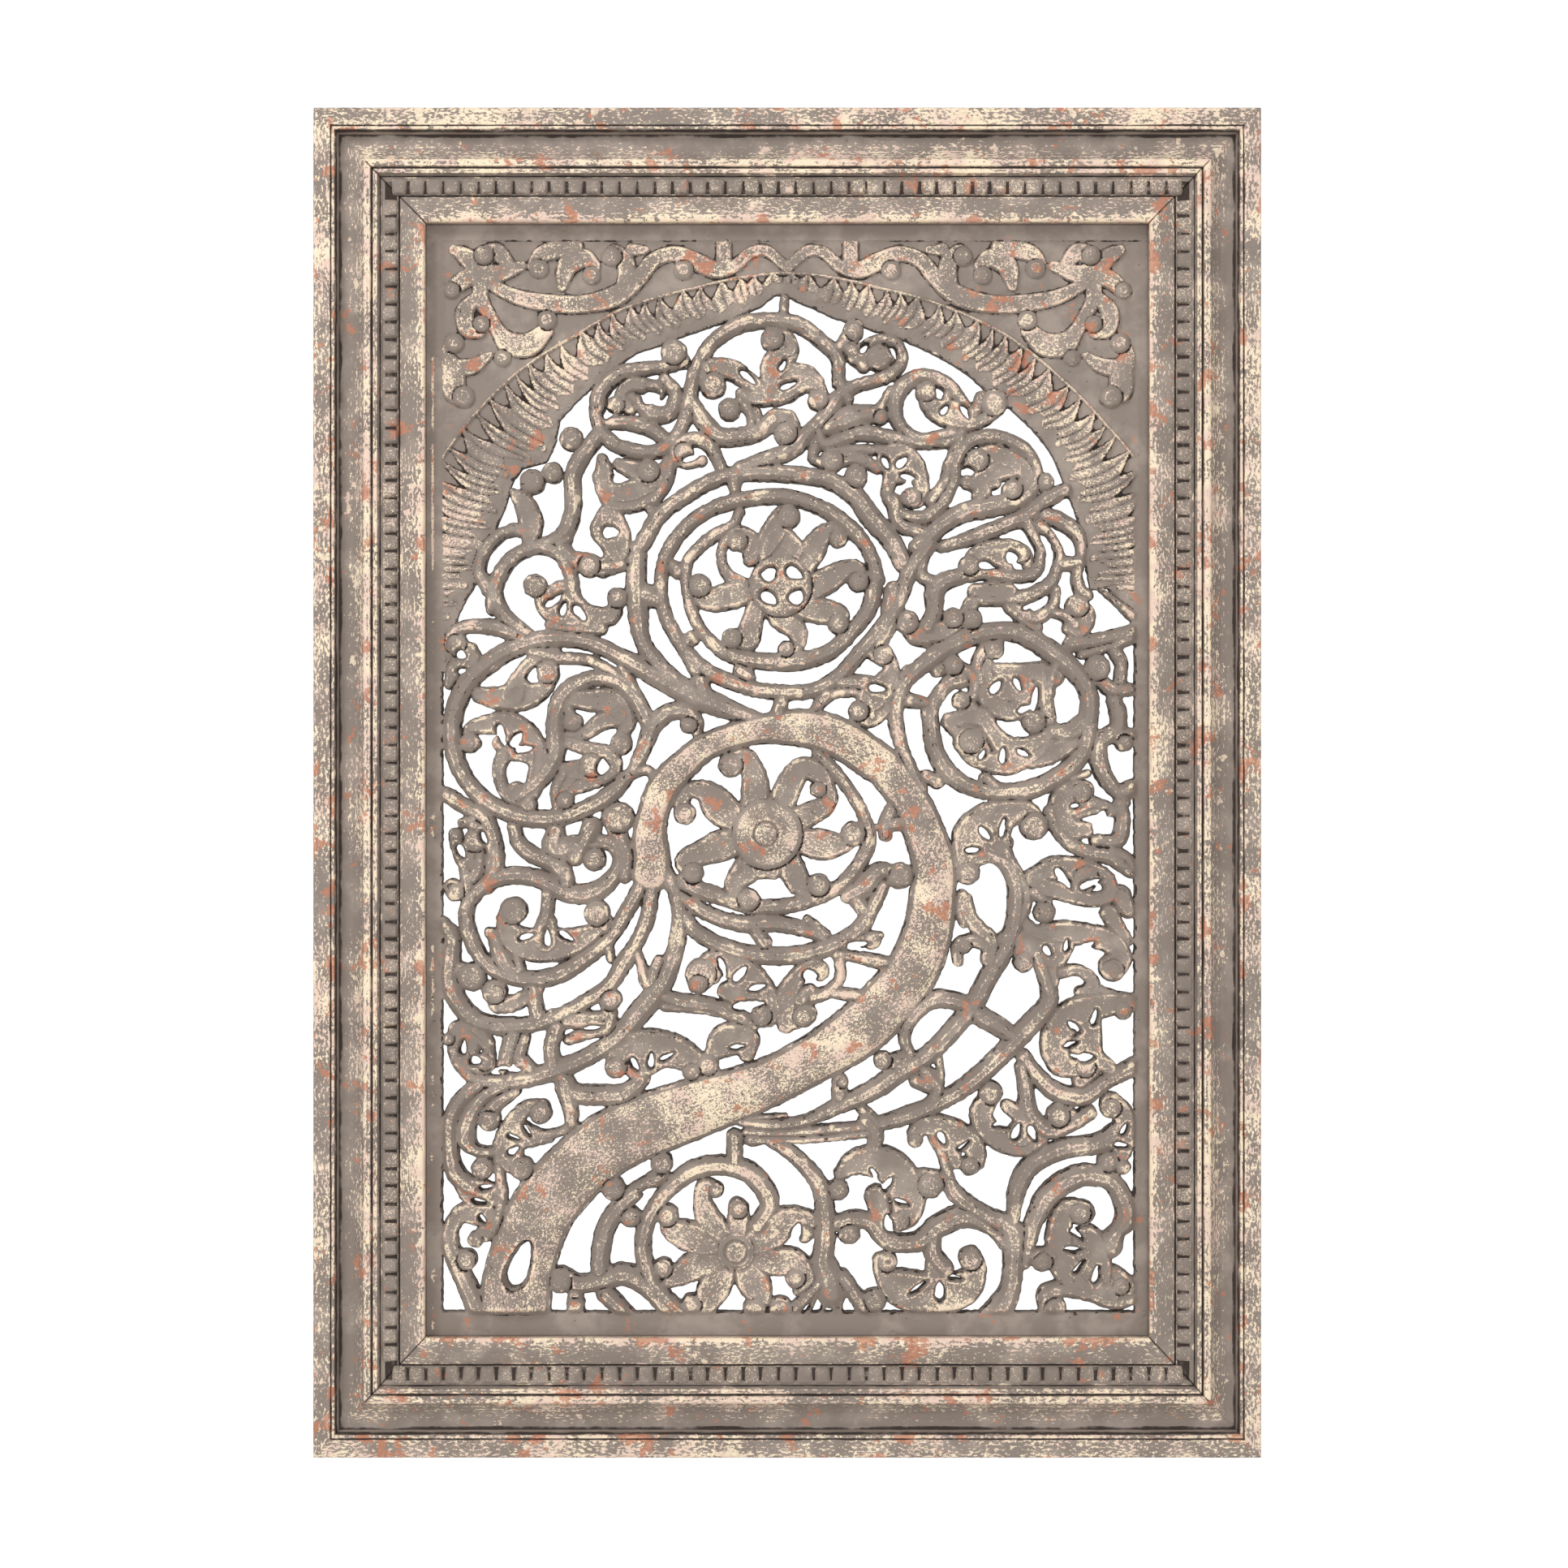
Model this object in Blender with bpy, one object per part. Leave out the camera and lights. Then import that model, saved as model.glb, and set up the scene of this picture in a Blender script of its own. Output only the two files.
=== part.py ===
"""Carved and pierced wall panel in a mitred moulded frame.

One pierced board of scrolling vine work sits in the rear rebate of four mitred
rails. Metres, Z up, the front faces -Y, the wall is the plane y = 0 and the
origin is the middle of the back of the top rail, where the panel is fixed.
"""
import math

import bmesh
import bpy
import numpy as np
from mathutils import Vector
from mathutils.geometry import delaunay_2d_cdt

# Driving dimensions, metres
FRAME_WIDTH = 0.702
FRAME_HEIGHT = 1.000
SIDE_RAIL_WIDTH = 0.082
TOP_RAIL_WIDTH = 0.084
BOTTOM_RAIL_WIDTH = 0.088
RAIL_DEPTH = 0.0305
REBATE_WIDTH = 0.008
REBATE_DEPTH = 0.0146
BEAD_PITCH = 0.013
BEAD_NOTCH = 0.0030
BEAD_RISE = 0.0032
FIT_GAP = 0.0003

# Heights above the wall of the board and its carving
BOARD_BACK = 0.0035
MARGIN_HEIGHT = 0.0143
GROUND_HEIGHT = 0.0120
EDGE_HEIGHT = 0.0155
STEM_HEIGHT = 0.0205
TRUNK_SHOULDER_HEIGHT = 0.0210
TRUNK_HEIGHT = 0.0230
BOSS_HEIGHT = 0.0210
LEAF_HEIGHT = 0.0170
RELIEF_HEIGHT = 0.0165
ARCH_FILLET_HEIGHT = 0.0170
TONGUE_HEIGHT = 0.0165
TONGUE_VALLEY_HEIGHT = 0.0135

# The carver's plan, in plan units of about a millimetre, with its origin near
# the lower left corner of the sight opening. It stretches with the opening.
PLAN_LEFT = -2.0
PLAN_RIGHT = 536.0
PLAN_BOTTOM = 5.0
PLAN_TOP = 833.0
PLAN_AXIS = 267.0
MARGIN_LEFT = 11.0
MARGIN_RIGHT = 525.0
MARGIN_BOTTOM = 21.5
MARGIN_TOP = 824.0

# How finely the plan is followed
GRID_STEP = 1.2
OUTLINE_TOLERANCE = 1.5
SMALLEST_HOLE = 80.0
RIDGE_SPACING = 25.0
RIDGE_CLEARANCE = 3.2
TONGUE_PITCH = 14.0

# The vine: strokes are (x, z, width) and run tip to tip, bosses are (x, z, radius),
# slots are (x, z, length, width, angle)
TRUNK = [
    [(62, 12, 58), (65, 30, 54), (67, 48, 53), (76, 77, 52), (90, 103, 50), (114, 131, 48), (146, 154, 47),
     (196, 172, 44), (247, 192, 38), (285, 211, 37), (322, 235, 42), (355, 270, 41), (370, 302, 38),
     (375, 334, 35), (376, 356, 33), (372, 374, 33), (362, 398, 32), (342, 425, 30), (332, 433, 31),
     (308, 449, 31), (283, 457, 30), (250, 457, 23), (225, 451, 21), (205, 444, 22), (190, 433, 25),
     (175, 416, 26), (167, 396, 25), (165, 378, 26), (166, 362, 29), (166, 350, 30)],
]
STEMS_FOOT = [

    [(15, 74, 12), (24, 54, 12), (36, 32, 13), (42, 18, 18)],
    [(99, 48, 16), (113, 44, 13), (130, 48, 15), (145, 52, 17), (158, 47, 16), (172, 33, 13), (183, 18, 14)],
    [(110, 38, 12), (110, 20, 14)],
    [(132, 38, 14), (142, 28, 13), (152, 16, 14)],
    [(129, 55, 12), (130, 72, 11), (135, 90, 11), (145, 105, 12), (158, 118, 16), (174, 128, 14)],

    [(62, 196, 12), (42, 184, 12), (30, 168, 12), (28, 152, 12), (36, 144, 9), (50, 143, 8)],
    [(40, 192, 10), (24, 180, 10), (16, 165, 10), (16, 145, 11), (18, 128, 12), (30, 118, 14), (46, 112, 12)],
    [(52, 150, 8), (54, 126, 8), (55, 108, 9), (50, 88, 11), (44, 80, 7)],

    [(196, 16, 12), (178, 34, 11), (166, 48, 12), (161, 70, 11), (163, 90, 12), (176, 112, 12), (195, 127, 13),
     (215, 132, 13), (235, 128, 13), (248, 116, 13), (253, 103, 13), (244, 88, 12)],
    [(228, 154, 13), (228, 134, 12)],

    [(252, 152, 8), (264, 146, 11), (280, 133, 11), (291, 116, 11), (294, 98, 12), (294, 78, 13), (293, 62, 15)],

    [(293, 62, 18), (298, 50, 22), (300, 38, 22)],
    [(290, 45, 10), (278, 32, 9), (268, 22, 9)],
    [(308, 50, 12), (318, 36, 12), (330, 20, 16)],
    [(290, 40, 3.5), (280, 18, 3.5)],
    [(296, 40, 3.5), (292, 18, 3.5)],
    [(302, 40, 3.5), (302, 18, 3.5)],
    [(307, 40, 3.5), (307, 18, 3.5)],
]
LEAVES_FOOT = [
    [(30, 62, 13), (18, 68, 13), (15, 84, 13), (22, 97, 16), (40, 98, 20), (50, 96, 10)],
    [(36, 78, 10), (44, 88, 10), (47, 98, 12)],
    [(22, 118, 12), (36, 113, 22), (50, 110, 16)],
    [(85, 177, 12), (72, 178, 13), (61, 167, 18), (60, 150, 22), (62, 138, 20), (68, 132, 14)],
    [(64, 162, 16), (82, 156, 9), (96, 157, 7), (106, 163, 8), (107, 180, 11)],
    [(72, 152, 14), (92, 152, 4)],
]
BOSSES_FOOT = [
    (29, 63, 8), (36, 78, 6), (41, 131, 8.5), (46, 167, 8.5), (84, 172, 8.5), (70, 131, 9),
    (99, 47, 9), (110, 30, 7), (138, 116, 9), (151, 95, 8), (174, 134, 9),
]
SLOTS_FOOT = [
    (69, 60, 36, 14, 70), (44, 117, 11, 4, 8), (40, 106.5, 13, 3.2, -10), (41, 93, 9, 4, -60),
    (74, 159, 11, 3, -60), (65, 154, 11, 3, -20), (64, 144, 11, 5, 35), (164, 114, 12, 4, 25),
    (28, 84, 12, 8, 60),
]
STEMS_RIGHT_FOOT = [

    [(232, 166, 8), (255, 162, 10), (280, 164, 10), (305, 174, 13), (335, 186, 17), (352, 200, 18), (372, 217, 14),
     (400, 249, 14), (412, 272, 14), (428, 296, 13), (437, 320, 14), (436, 345, 14), (428, 358, 12), (415, 364, 10)],
    [(236, 158, 6), (262, 157, 7), (300, 160, 8), (326, 162, 9), (350, 168, 13), (376, 178, 13), (400, 192, 14),
     (425, 214, 15), (446, 236, 16), (464, 254, 15), (462, 272, 14), (452, 290, 12)],
    [(252, 153, 4), (280, 153, 5), (312, 155, 6), (330, 158, 8)],
    [(326, 166, 14), (332, 158, 14), (332, 146, 11)],
    [(224, 166, 8), (250, 171, 5), (270, 174, 4)],

    [(306, 196, 12), (306, 184, 13)],
    [(338, 210, 7), (350, 206, 13), (358, 214, 10), (354, 228, 10), (360, 244, 11), (376, 256, 11), (395, 254, 11),
     (408, 247, 10)],
    [(410, 246, 12), (424, 238, 11), (436, 228, 10)],

    [(304, 90, 12), (316, 95, 9), (330, 92, 8), (338, 78, 10), (350, 73, 11), (366, 75, 11), (380, 86, 13),
     (400, 93, 14), (418, 84, 10), (428, 72, 14)],

    [(418, 14, 26), (432, 40, 16), (435, 62, 16), (435, 80, 20), (430, 88, 16), (412, 100, 14), (394, 114, 13),
     (386, 128, 9), (382, 142, 9), (376, 154, 10)],
    [(434, 80, 9), (435, 96, 9), (439, 116, 11), (450, 134, 12), (472, 146, 12), (498, 150, 13), (510, 156, 16)],
    [(443, 60, 8), (446, 76, 10), (452, 92, 11), (464, 110, 13), (484, 124, 13), (505, 122, 13), (519, 106, 13),
     (521, 92, 11), (512, 84, 12), (506, 74, 20)],
    [(448, 66, 7), (455, 66, 12), (464, 66, 6)],
    [(385, 56, 12), (377, 68, 9), (376, 84, 9)],
    [(462, 26, 16), (460, 38, 12), (474, 42, 9), (492, 36, 12), (510, 30, 10), (526, 34, 9)],

    [(442, 214, 12), (452, 198, 11), (466, 186, 12), (486, 183, 13), (505, 194, 13), (526, 205, 12)],
    [(440, 206, 12), (442, 190, 14), (446, 172, 14), (460, 158, 13), (476, 160, 12), (492, 172, 9)],
    [(322, 175, 9), (330, 168, 9), (334, 162, 8)],
    [(366, 208, 6), (372, 198, 16), (378, 190, 12), (374, 178, 9)],
    [(380, 212, 8), (383, 202, 7), (380, 190, 9)],
    [(363, 196, 12), (372, 192, 12)],
]
LEAVES_RIGHT_FOOT = [

    [(306, 126, 8), (322, 134, 15), (342, 130, 22), (354, 114, 24), (354, 96, 15), (346, 90, 10)],
    [(334, 110, 14), (338, 92, 11)],
    [(336, 62, 11), (340, 50, 12), (356, 40, 26), (378, 38, 30), (398, 42, 26), (408, 56, 14), (404, 66, 14)],
    [(376, 60, 13), (378, 48, 20)],
    [(360, 154, 9), (370, 162, 14), (388, 158, 18), (402, 148, 16), (408, 134, 10), (401, 130, 9)],
    [(392, 136, 12), (388, 148, 12)],
    [(372, 122, 16), (384, 122, 10)],
    [(486, 96, 16), (474, 98, 14), (470, 80, 18), (474, 58, 20), (492, 46, 26), (506, 40, 20)],
    [(490, 76, 26), (496, 56, 26)],
    [(510, 54, 10), (520, 44, 14), (526, 38, 8)],
    [(420, 186, 14), (412, 170, 16), (420, 154, 18), (440, 150, 18), (456, 152, 8)],
    [(430, 176, 5), (444, 166, 16), (440, 156, 20)],
    [(506, 178, 14), (516, 168, 16), (516, 150, 18), (514, 138, 10), (505, 134, 12)],
    [(478, 172, 9), (468, 170, 12)],

    [(480, 205, 14), (470, 208, 16), (468, 226, 20), (478, 244, 22), (500, 252, 20), (524, 252, 16)],
    [(494, 238, 20), (498, 216, 18), (506, 206, 14)],
    [(484, 196, 12), (496, 204, 8), (498, 214, 8)],
]
BOSSES_RIGHT_FOOT = [
    (229, 70, 13), (306, 114, 8), (313, 83, 8.5), (350, 92, 8), (341, 62, 8), (332, 33, 7.5), (373, 118, 8),
    (362, 152, 6), (402, 133, 7.5), (403, 64, 9), (456, 62, 8), (465, 28, 8), (514, 44, 7), (484, 98, 8.5),
    (505, 136, 8), (507, 176, 8), (468, 170, 9), (419, 186, 9), (338, 211, 7), (517, 246, 7), (488, 206, 8),
    (308, 195, 5), (516, 132, 6),
]
SLOTS_RIGHT_FOOT = [
    (332, 126, 12, 3.2, -60), (342, 120, 13, 4.5, 55), (352, 106, 12, 3.5, -20), (342, 90, 14, 6, 100),
    (364, 43, 18, 3.2, 38), (380, 40, 15, 7, 92), (392, 50, 11, 3, -8), (382, 153, 12, 5, -65),
    (398, 148, 12, 3, 38), (482, 82, 13, 3, -38), (480, 71, 16, 3.5, 0), (483, 58, 13, 3.2, 50),
    (496, 52, 15, 5, 80), (426, 164, 13, 4, 12), (437, 158, 14, 6, 68), (449, 157, 13, 5, -65),
    (517, 160, 10, 4, 62), (515, 148, 12, 4, -10), (480, 236, 12, 4, -35), (495, 243, 13, 4.5, 75),
    (477, 223, 12, 3.5, 20), (489, 213, 12, 7, 5), (274, 84, 14, 7, 75),
    (342, 62, 1, 1, 0),
]
PETALS_LOW = [
    [(230, 78, 14), (231, 98, 15), (230, 102, 13)],
    [(222, 80, 13), (208, 92, 15), (202, 108, 9), (205, 119, 10), (214, 117, 8)],
    [(217, 74, 14), (200, 80, 19), (184, 84, 14), (177, 88, 8)],
    [(217, 66, 10), (204, 60, 16), (188, 51, 13), (178, 46, 7)],
    [(223, 60, 12), (214, 44, 20), (206, 28, 15)],
    [(234, 60, 13), (243, 46, 20), (250, 34, 10)],
    [(240, 66, 10), (258, 62, 17), (274, 62, 16), (282, 50, 12), (274, 40, 8)],
    [(242, 76, 20), (256, 84, 26), (268, 95, 16), (282, 93, 14), (290, 92, 8)],
]
BOSSES_FLOWER_LOW = [(231, 101, 7.5), (179, 96, 8.5), (175, 57, 7.5), (196, 30, 8), (243, 27, 9), (262, 27, 9),
             (273, 50, 8), (280, 83, 7.5), (214, 115, 6)]
STEMS_LEFT = [

    [(163, 352, 14), (156, 336, 12), (146, 318, 12), (136, 302, 11), (118, 287, 13), (96, 274, 14), (74, 271, 13),
     (52, 277, 12), (38, 290, 12), (30, 308, 12), (30, 326, 12), (42, 340, 12), (62, 346, 12), (84, 343, 12),
     (104, 333, 13), (124, 334, 14), (138, 344, 12), (144, 358, 10), (140, 372, 10), (128, 376, 8)],
    [(168, 352, 12), (166, 334, 12), (163, 316, 12), (155, 298, 12), (146, 284, 14), (134, 268, 13), (112, 254, 13),
     (88, 242, 13), (60, 235, 12), (38, 238, 13), (22, 252, 13), (16, 272, 16), (18, 292, 14), (18, 304, 12),
     (10, 312, 12)],
    [(176, 352, 12), (185, 334, 13), (187, 312, 13), (184, 290, 13), (176, 268, 14), (162, 246, 14), (142, 226, 14),
     (116, 212, 14), (90, 202, 15), (62, 195, 12), (36, 197, 10), (22, 212, 10), (18, 226, 8)],
    [(172, 284, 10), (164, 268, 11), (158, 284, 8), (154, 292, 10)],
    [(174, 346, 8), (192, 330, 12), (212, 318, 12), (236, 312, 13), (262, 312, 13), (286, 306, 11), (296, 300, 8)],
    [(186, 326, 10), (198, 308, 12), (218, 296, 13), (244, 289, 14), (274, 289, 14), (300, 296, 14), (320, 308, 13),
     (330, 324, 12), (338, 340, 10)],
    [(208, 336, 13), (236, 326, 12), (262, 325, 12), (284, 330, 12), (304, 339, 11), (320, 356, 11), (328, 374, 11),
     (324, 392, 10), (314, 410, 10), (302, 426, 10), (290, 438, 10)],
    [(190, 342, 16), (212, 333, 12)],
    [(176, 258, 10), (190, 252, 10), (212, 250, 12), (232, 242, 11), (242, 236, 8)],
    [(176, 248, 8), (200, 246, 7), (222, 242, 6)],

    [(90, 334, 11), (88, 318, 11), (84, 302, 16)],
    [(66, 290, 8), (68, 278, 10), (58, 282, 16), (50, 302, 11), (46, 306, 8)],
    [(78, 264, 14), (80, 252, 12), (82, 244, 12)],
    [(64, 230, 14), (60, 216, 14), (56, 206, 10)],
    [(72, 228, 6), (66, 214, 6), (76, 204, 8)],
    [(96, 236, 14), (92, 220, 12), (94, 206, 14)],
    [(104, 240, 12), (120, 240, 12), (134, 236, 11), (138, 248, 9), (134, 256, 8)],
    [(104, 226, 4), (120, 232, 10), (134, 232, 8)],
    [(100, 198, 12), (108, 186, 13), (126, 183, 13), (146, 184, 12), (160, 196, 12)],
    [(102, 192, 16), (106, 176, 12), (107, 164, 10)],
    [(36, 234, 11), (48, 222, 10), (46, 208, 12), (38, 204, 9)],
    [(134, 296, 9), (136, 286, 6)],
    [(132, 310, 12), (128, 322, 10)],
    [(244, 308, 12), (250, 298, 12)],
    [(282, 315, 8), (296, 304, 8)],
    [(322, 300, 12), (336, 304, 6)],
    [(304, 290, 10), (316, 288, 9), (336, 284, 11), (344, 284, 8)],
    [(306, 286, 9), (306, 272, 9), (298, 262, 10), (286, 258, 12)],
    [(300, 262, 10), (310, 260, 10), (322, 258, 10), (328, 252, 10)],
    [(18, 340, 12), (30, 336, 10)],
    [(92, 244, 10), (130, 243, 9)],
    [(312, 333, 12), (324, 340, 18), (336, 352, 13), (350, 348, 10)],
    [(318, 330, 12), (324, 322, 12)],
]
LEAVES_LEFT = [
    [(63, 323, 18), (58, 314, 14), (66, 300, 22), (88, 296, 26), (110, 300, 20), (126, 308, 12), (134, 314, 8)],
    [(88, 312, 16), (88, 300, 20)],
    [(30, 276, 14), (22, 280, 10)],
    [(52, 262, 14), (52, 252, 12), (66, 254, 13), (82, 264, 10)],
    [(24, 228, 18), (22, 236, 10), (36, 232, 14), (44, 224, 12)],
    [(30, 222, 20), (30, 210, 12), (40, 204, 10)],
    [(138, 208, 14), (146, 220, 20), (164, 220, 22), (182, 218, 18), (196, 210, 14), (204, 210, 8)],
    [(156, 204, 20), (176, 210, 16), (192, 204, 8)],
    [(196, 202, 13), (200, 210, 10)],
    [(214, 214, 10), (222, 224, 22), (236, 226, 18), (238, 216, 8)],
    [(206, 212, 10), (212, 204, 10)],
    [(206, 276, 26), (212, 284, 18), (226, 282, 22), (244, 272, 22), (256, 256, 12), (256, 242, 10), (246, 240, 10)],
    [(222, 262, 14), (232, 262, 22), (246, 262, 18)],
    [(266, 238, 14), (266, 256, 18), (274, 272, 14), (286, 282, 12), (294, 278, 8)],
    [(284, 262, 12), (276, 256, 12)],
    [(270, 238, 20), (280, 240, 18)],
]
BOSSES_LEFT = [
    (64, 322, 10.5), (126, 320, 10), (32, 272, 9), (51, 262, 8.5), (138, 256, 8.5), (139, 206, 9), (208, 208, 8.5),
    (202, 272, 10), (291, 277, 7.5), (278, 240, 10), (248, 244, 8), (330, 300, 7), (43, 210, 7), (21, 336, 7.5),
    (16, 227, 5), (196, 203, 7), (204, 266, 9), (349, 346, 8),
]
SLOTS_LEFT = [
    (74, 303, 13, 3.5, 18), (89, 302, 14, 5, 92), (103, 303, 13, 4.5, -30), (27, 221, 12, 4.5, 80),
    (36, 211, 9, 7, 0), (154, 208, 12, 4.5, -65), (166, 211, 12, 4.5, 85), (178, 214, 13, 3.5, 28),
    (60, 205, 20, 3, 0), (123, 235, 16, 3, 6), (219, 280, 16, 4, -72), (232, 275, 15, 6, 50),
    (245, 265, 14, 4.5, 15), (284, 274, 11, 8, -10), (230, 221, 12, 3.5, 8), (320, 297, 17, 4, 5),
    (238, 252, 24, 6, 8),
]
STEMS_UPPER_LEFT = [

    [(44, 340, 12), (52, 356, 11), (52, 374, 11), (44, 390, 12), (30, 398, 12), (14, 408, 12)],
    [(166, 360, 10), (168, 420, 8), (152, 424, 10), (138, 412, 12), (122, 400, 13), (98, 391, 14), (72, 391, 14),
     (46, 401, 13), (26, 420, 13), (17, 444, 13), (18, 470, 12), (28, 492, 12), (44, 508, 12), (66, 520, 12),
     (92, 525, 13), (120, 521, 13), (148, 509, 14), (176, 496, 15), (206, 482, 18), (234, 471, 13), (252, 466, 11)],
    [(152, 424, 10), (158, 440, 9), (162, 456, 10), (176, 470, 10), (190, 473, 10), (200, 464, 9), (200, 454, 8)],
    [(66, 404, 10), (84, 422, 12), (95, 440, 12), (96, 464, 12), (104, 482, 12), (122, 493, 11), (140, 492, 11),
     (154, 480, 11), (164, 464, 11), (166, 452, 8)],
    [(78, 514, 10), (96, 510, 10), (118, 508, 9), (136, 500, 9), (146, 492, 9)],
    [(144, 502, 7), (152, 494, 12), (162, 478, 9)],
    [(96, 398, 7), (96, 412, 10), (102, 424, 10)],
    [(66, 382, 8), (70, 372, 9), (80, 364, 10), (92, 360, 12), (100, 350, 16), (103, 342, 12)],
    [(96, 382, 14), (98, 370, 18), (112, 366, 14)],
    [(122, 384, 16), (116, 372, 12), (110, 362, 14)],
    [(138, 392, 14), (142, 376, 10), (146, 362, 10), (145, 348, 10)],
    [(120, 370, 6), (134, 368, 9), (144, 360, 10)],

    [(20, 378, 12), (18, 366, 12), (26, 352, 12), (30, 340, 12)],
    [(34, 386, 10), (44, 380, 9), (48, 366, 9), (46, 352, 8)],
    [(22, 386, 10), (34, 390, 10)],
    [(40, 366, 6), (38, 354, 12), (34, 346, 12)],

    [(10, 520, 10), (24, 534, 9), (42, 536, 9), (58, 530, 12), (70, 524, 12)],
    [(74, 528, 10), (58, 540, 12), (50, 556, 12), (54, 572, 12), (66, 586, 11), (84, 592, 11), (100, 586, 11),
     (108, 572, 11), (112, 556, 10), (120, 548, 10)],
    [(50, 556, 12), (42, 572, 10), (46, 588, 10), (58, 600, 9), (66, 602, 8)],
    [(84, 594, 9), (96, 598, 11), (106, 604, 13), (112, 622, 13), (112, 642, 12), (118, 658, 12), (126, 670, 10)],
    [(98, 594, 10), (110, 600, 10)],
    [(44, 546, 12), (44, 562, 12)],
    [(100, 590, 14), (110, 580, 14), (120, 576, 16), (134, 574, 14), (144, 578, 12)],
    [(110, 586, 14), (122, 580, 18)],

    [(150, 582, 11), (157, 600, 12), (170, 618, 13), (190, 636, 13), (214, 646, 13), (240, 650, 12), (268, 650, 12),
     (296, 646, 12), (318, 634, 12), (332, 616, 13), (346, 598, 14), (354, 580, 14)],
    [(155, 590, 10), (154, 568, 10), (156, 546, 11), (160, 524, 12), (170, 506, 14), (184, 492, 14)],
    [(172, 556, 8), (160, 560, 16)],

    [(334, 568, 12), (328, 588, 11), (314, 606, 12), (294, 620, 12), (268, 629, 12), (240, 628, 12), (214, 620, 12),
     (192, 604, 12), (178, 584, 12), (174, 562, 11), (178, 540, 12), (190, 520, 13), (204, 506, 14), (218, 498, 13),
     (240, 490, 12), (264, 488, 12), (288, 490, 12), (306, 500, 12), (322, 514, 13), (338, 532, 14), (350, 552, 12),
     (358, 574, 13), (372, 594, 14)],
    [(334, 568, 12), (332, 546, 12), (318, 526, 12), (300, 512, 12), (276, 504, 14), (250, 504, 13), (226, 510, 12),
     (208, 522, 12), (196, 540, 11), (191, 558, 10), (192, 578, 9), (200, 590, 9), (212, 600, 10), (226, 608, 8),
     (232, 618, 8)],
    [(186, 574, 12), (182, 578, 10)],
    [(196, 524, 12), (190, 520, 12)],
    [(228, 634, 8), (228, 644, 14)],
    [(238, 496, 12), (232, 500, 12)],
    [(202, 492, 14), (206, 480, 14)],
    [(190, 516, 10), (200, 500, 12)],
    [(264, 484, 8), (262, 474, 12), (260, 466, 14)],
]
LEAVES_UPPER_LEFT = [
    [(36, 446, 8), (30, 456, 8), (44, 462, 12), (62, 462, 18), (78, 450, 20), (84, 430, 18), (78, 410, 12)],
    [(54, 446, 12), (62, 446, 14), (72, 436, 20)],
    [(56, 436, 12), (53, 424, 10), (58, 410, 10), (70, 404, 12), (80, 414, 12)],
    [(66, 410, 16), (76, 400, 12)],
    [(40, 482, 12), (52, 478, 14), (70, 480, 22), (86, 486, 12), (94, 496, 8)],
    [(64, 482, 20), (72, 500, 12), (82, 510, 10), (96, 514, 8)],
    [(106, 466, 8), (104, 478, 12), (120, 480, 14), (138, 476, 20), (148, 462, 14), (144, 452, 8)],
    [(104, 452, 6), (116, 452, 9), (130, 458, 20), (142, 466, 16)],
    [(104, 448, 6), (120, 444, 9), (134, 440, 10), (140, 428, 9), (132, 420, 8), (118, 416, 12), (106, 412, 10)],
    [(104, 426, 14), (116, 426, 18), (122, 424, 16)],
    [(104, 406, 9), (100, 414, 14), (108, 424, 14)],
    [(34, 372, 14), (30, 362, 14), (34, 352, 14)],
    [(78, 560, 12), (78, 552, 14), (86, 544, 16), (104, 544, 24), (122, 544, 18), (136, 546, 12), (140, 552, 8)],
    [(104, 554, 10), (104, 544, 18)],
    [(92, 534, 10), (110, 534, 14), (128, 532, 12)],
    [(64, 632, 7), (74, 624, 14), (80, 610, 16), (78, 598, 12)],
    [(54, 606, 4), (66, 608, 10), (78, 604, 14)],
    [(134, 616, 16), (128, 604, 11), (136, 594, 12), (142, 588, 18), (146, 602, 10), (140, 614, 12)],
    [(136, 592, 12), (138, 582, 16), (130, 576, 14)],
    [(26, 512, 16), (18, 500, 14), (16, 488, 10)],
    [(30, 514, 16), (34, 508, 12), (26, 502, 8)],
    [(128, 656, 8), (132, 640, 12), (136, 626, 14), (150, 624, 14), (166, 630, 14), (174, 642, 12), (178, 656, 8)],
    [(140, 656, 10), (154, 650, 16), (168, 642, 18)],
    [(128, 644, 12), (134, 632, 14), (150, 632, 18), (164, 638, 18)],
    [(164, 622, 8), (170, 614, 8)],
]
BOSSES_UPPER_LEFT = [
    (31, 446, 7.5), (108, 462, 7.5), (89, 499, 9), (144, 446, 8.5), (122, 430, 9.5), (102, 404, 7), (194, 460, 7),
    (124, 360, 9), (144, 390, 9), (36, 374, 9), (80, 563, 9), (141, 554, 8), (78, 640, 9.5), (120, 578, 9),
    (164, 648, 9), (108, 674, 10), (22, 520, 8), (92, 644, 9),
]
SLOTS_UPPER_LEFT = [
    (55, 452, 18, 6, -72), (66, 449, 14, 7, 50), (72, 442, 15, 5, 8), (67, 426, 18, 14, 20), (80, 496, 13, 8, 70),
    (25, 366, 12, 6, -60), (42, 376, 10, 4, -65), (93, 551, 14, 5, 25), (101, 546, 11, 5, 70), (113, 543, 15, 6, -50),
    (136, 603, 13, 9, 0), (141, 641, 8, 8, 0), (25, 512, 9, 6, -20), (26, 500, 8, 4, 10),
]
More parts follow.
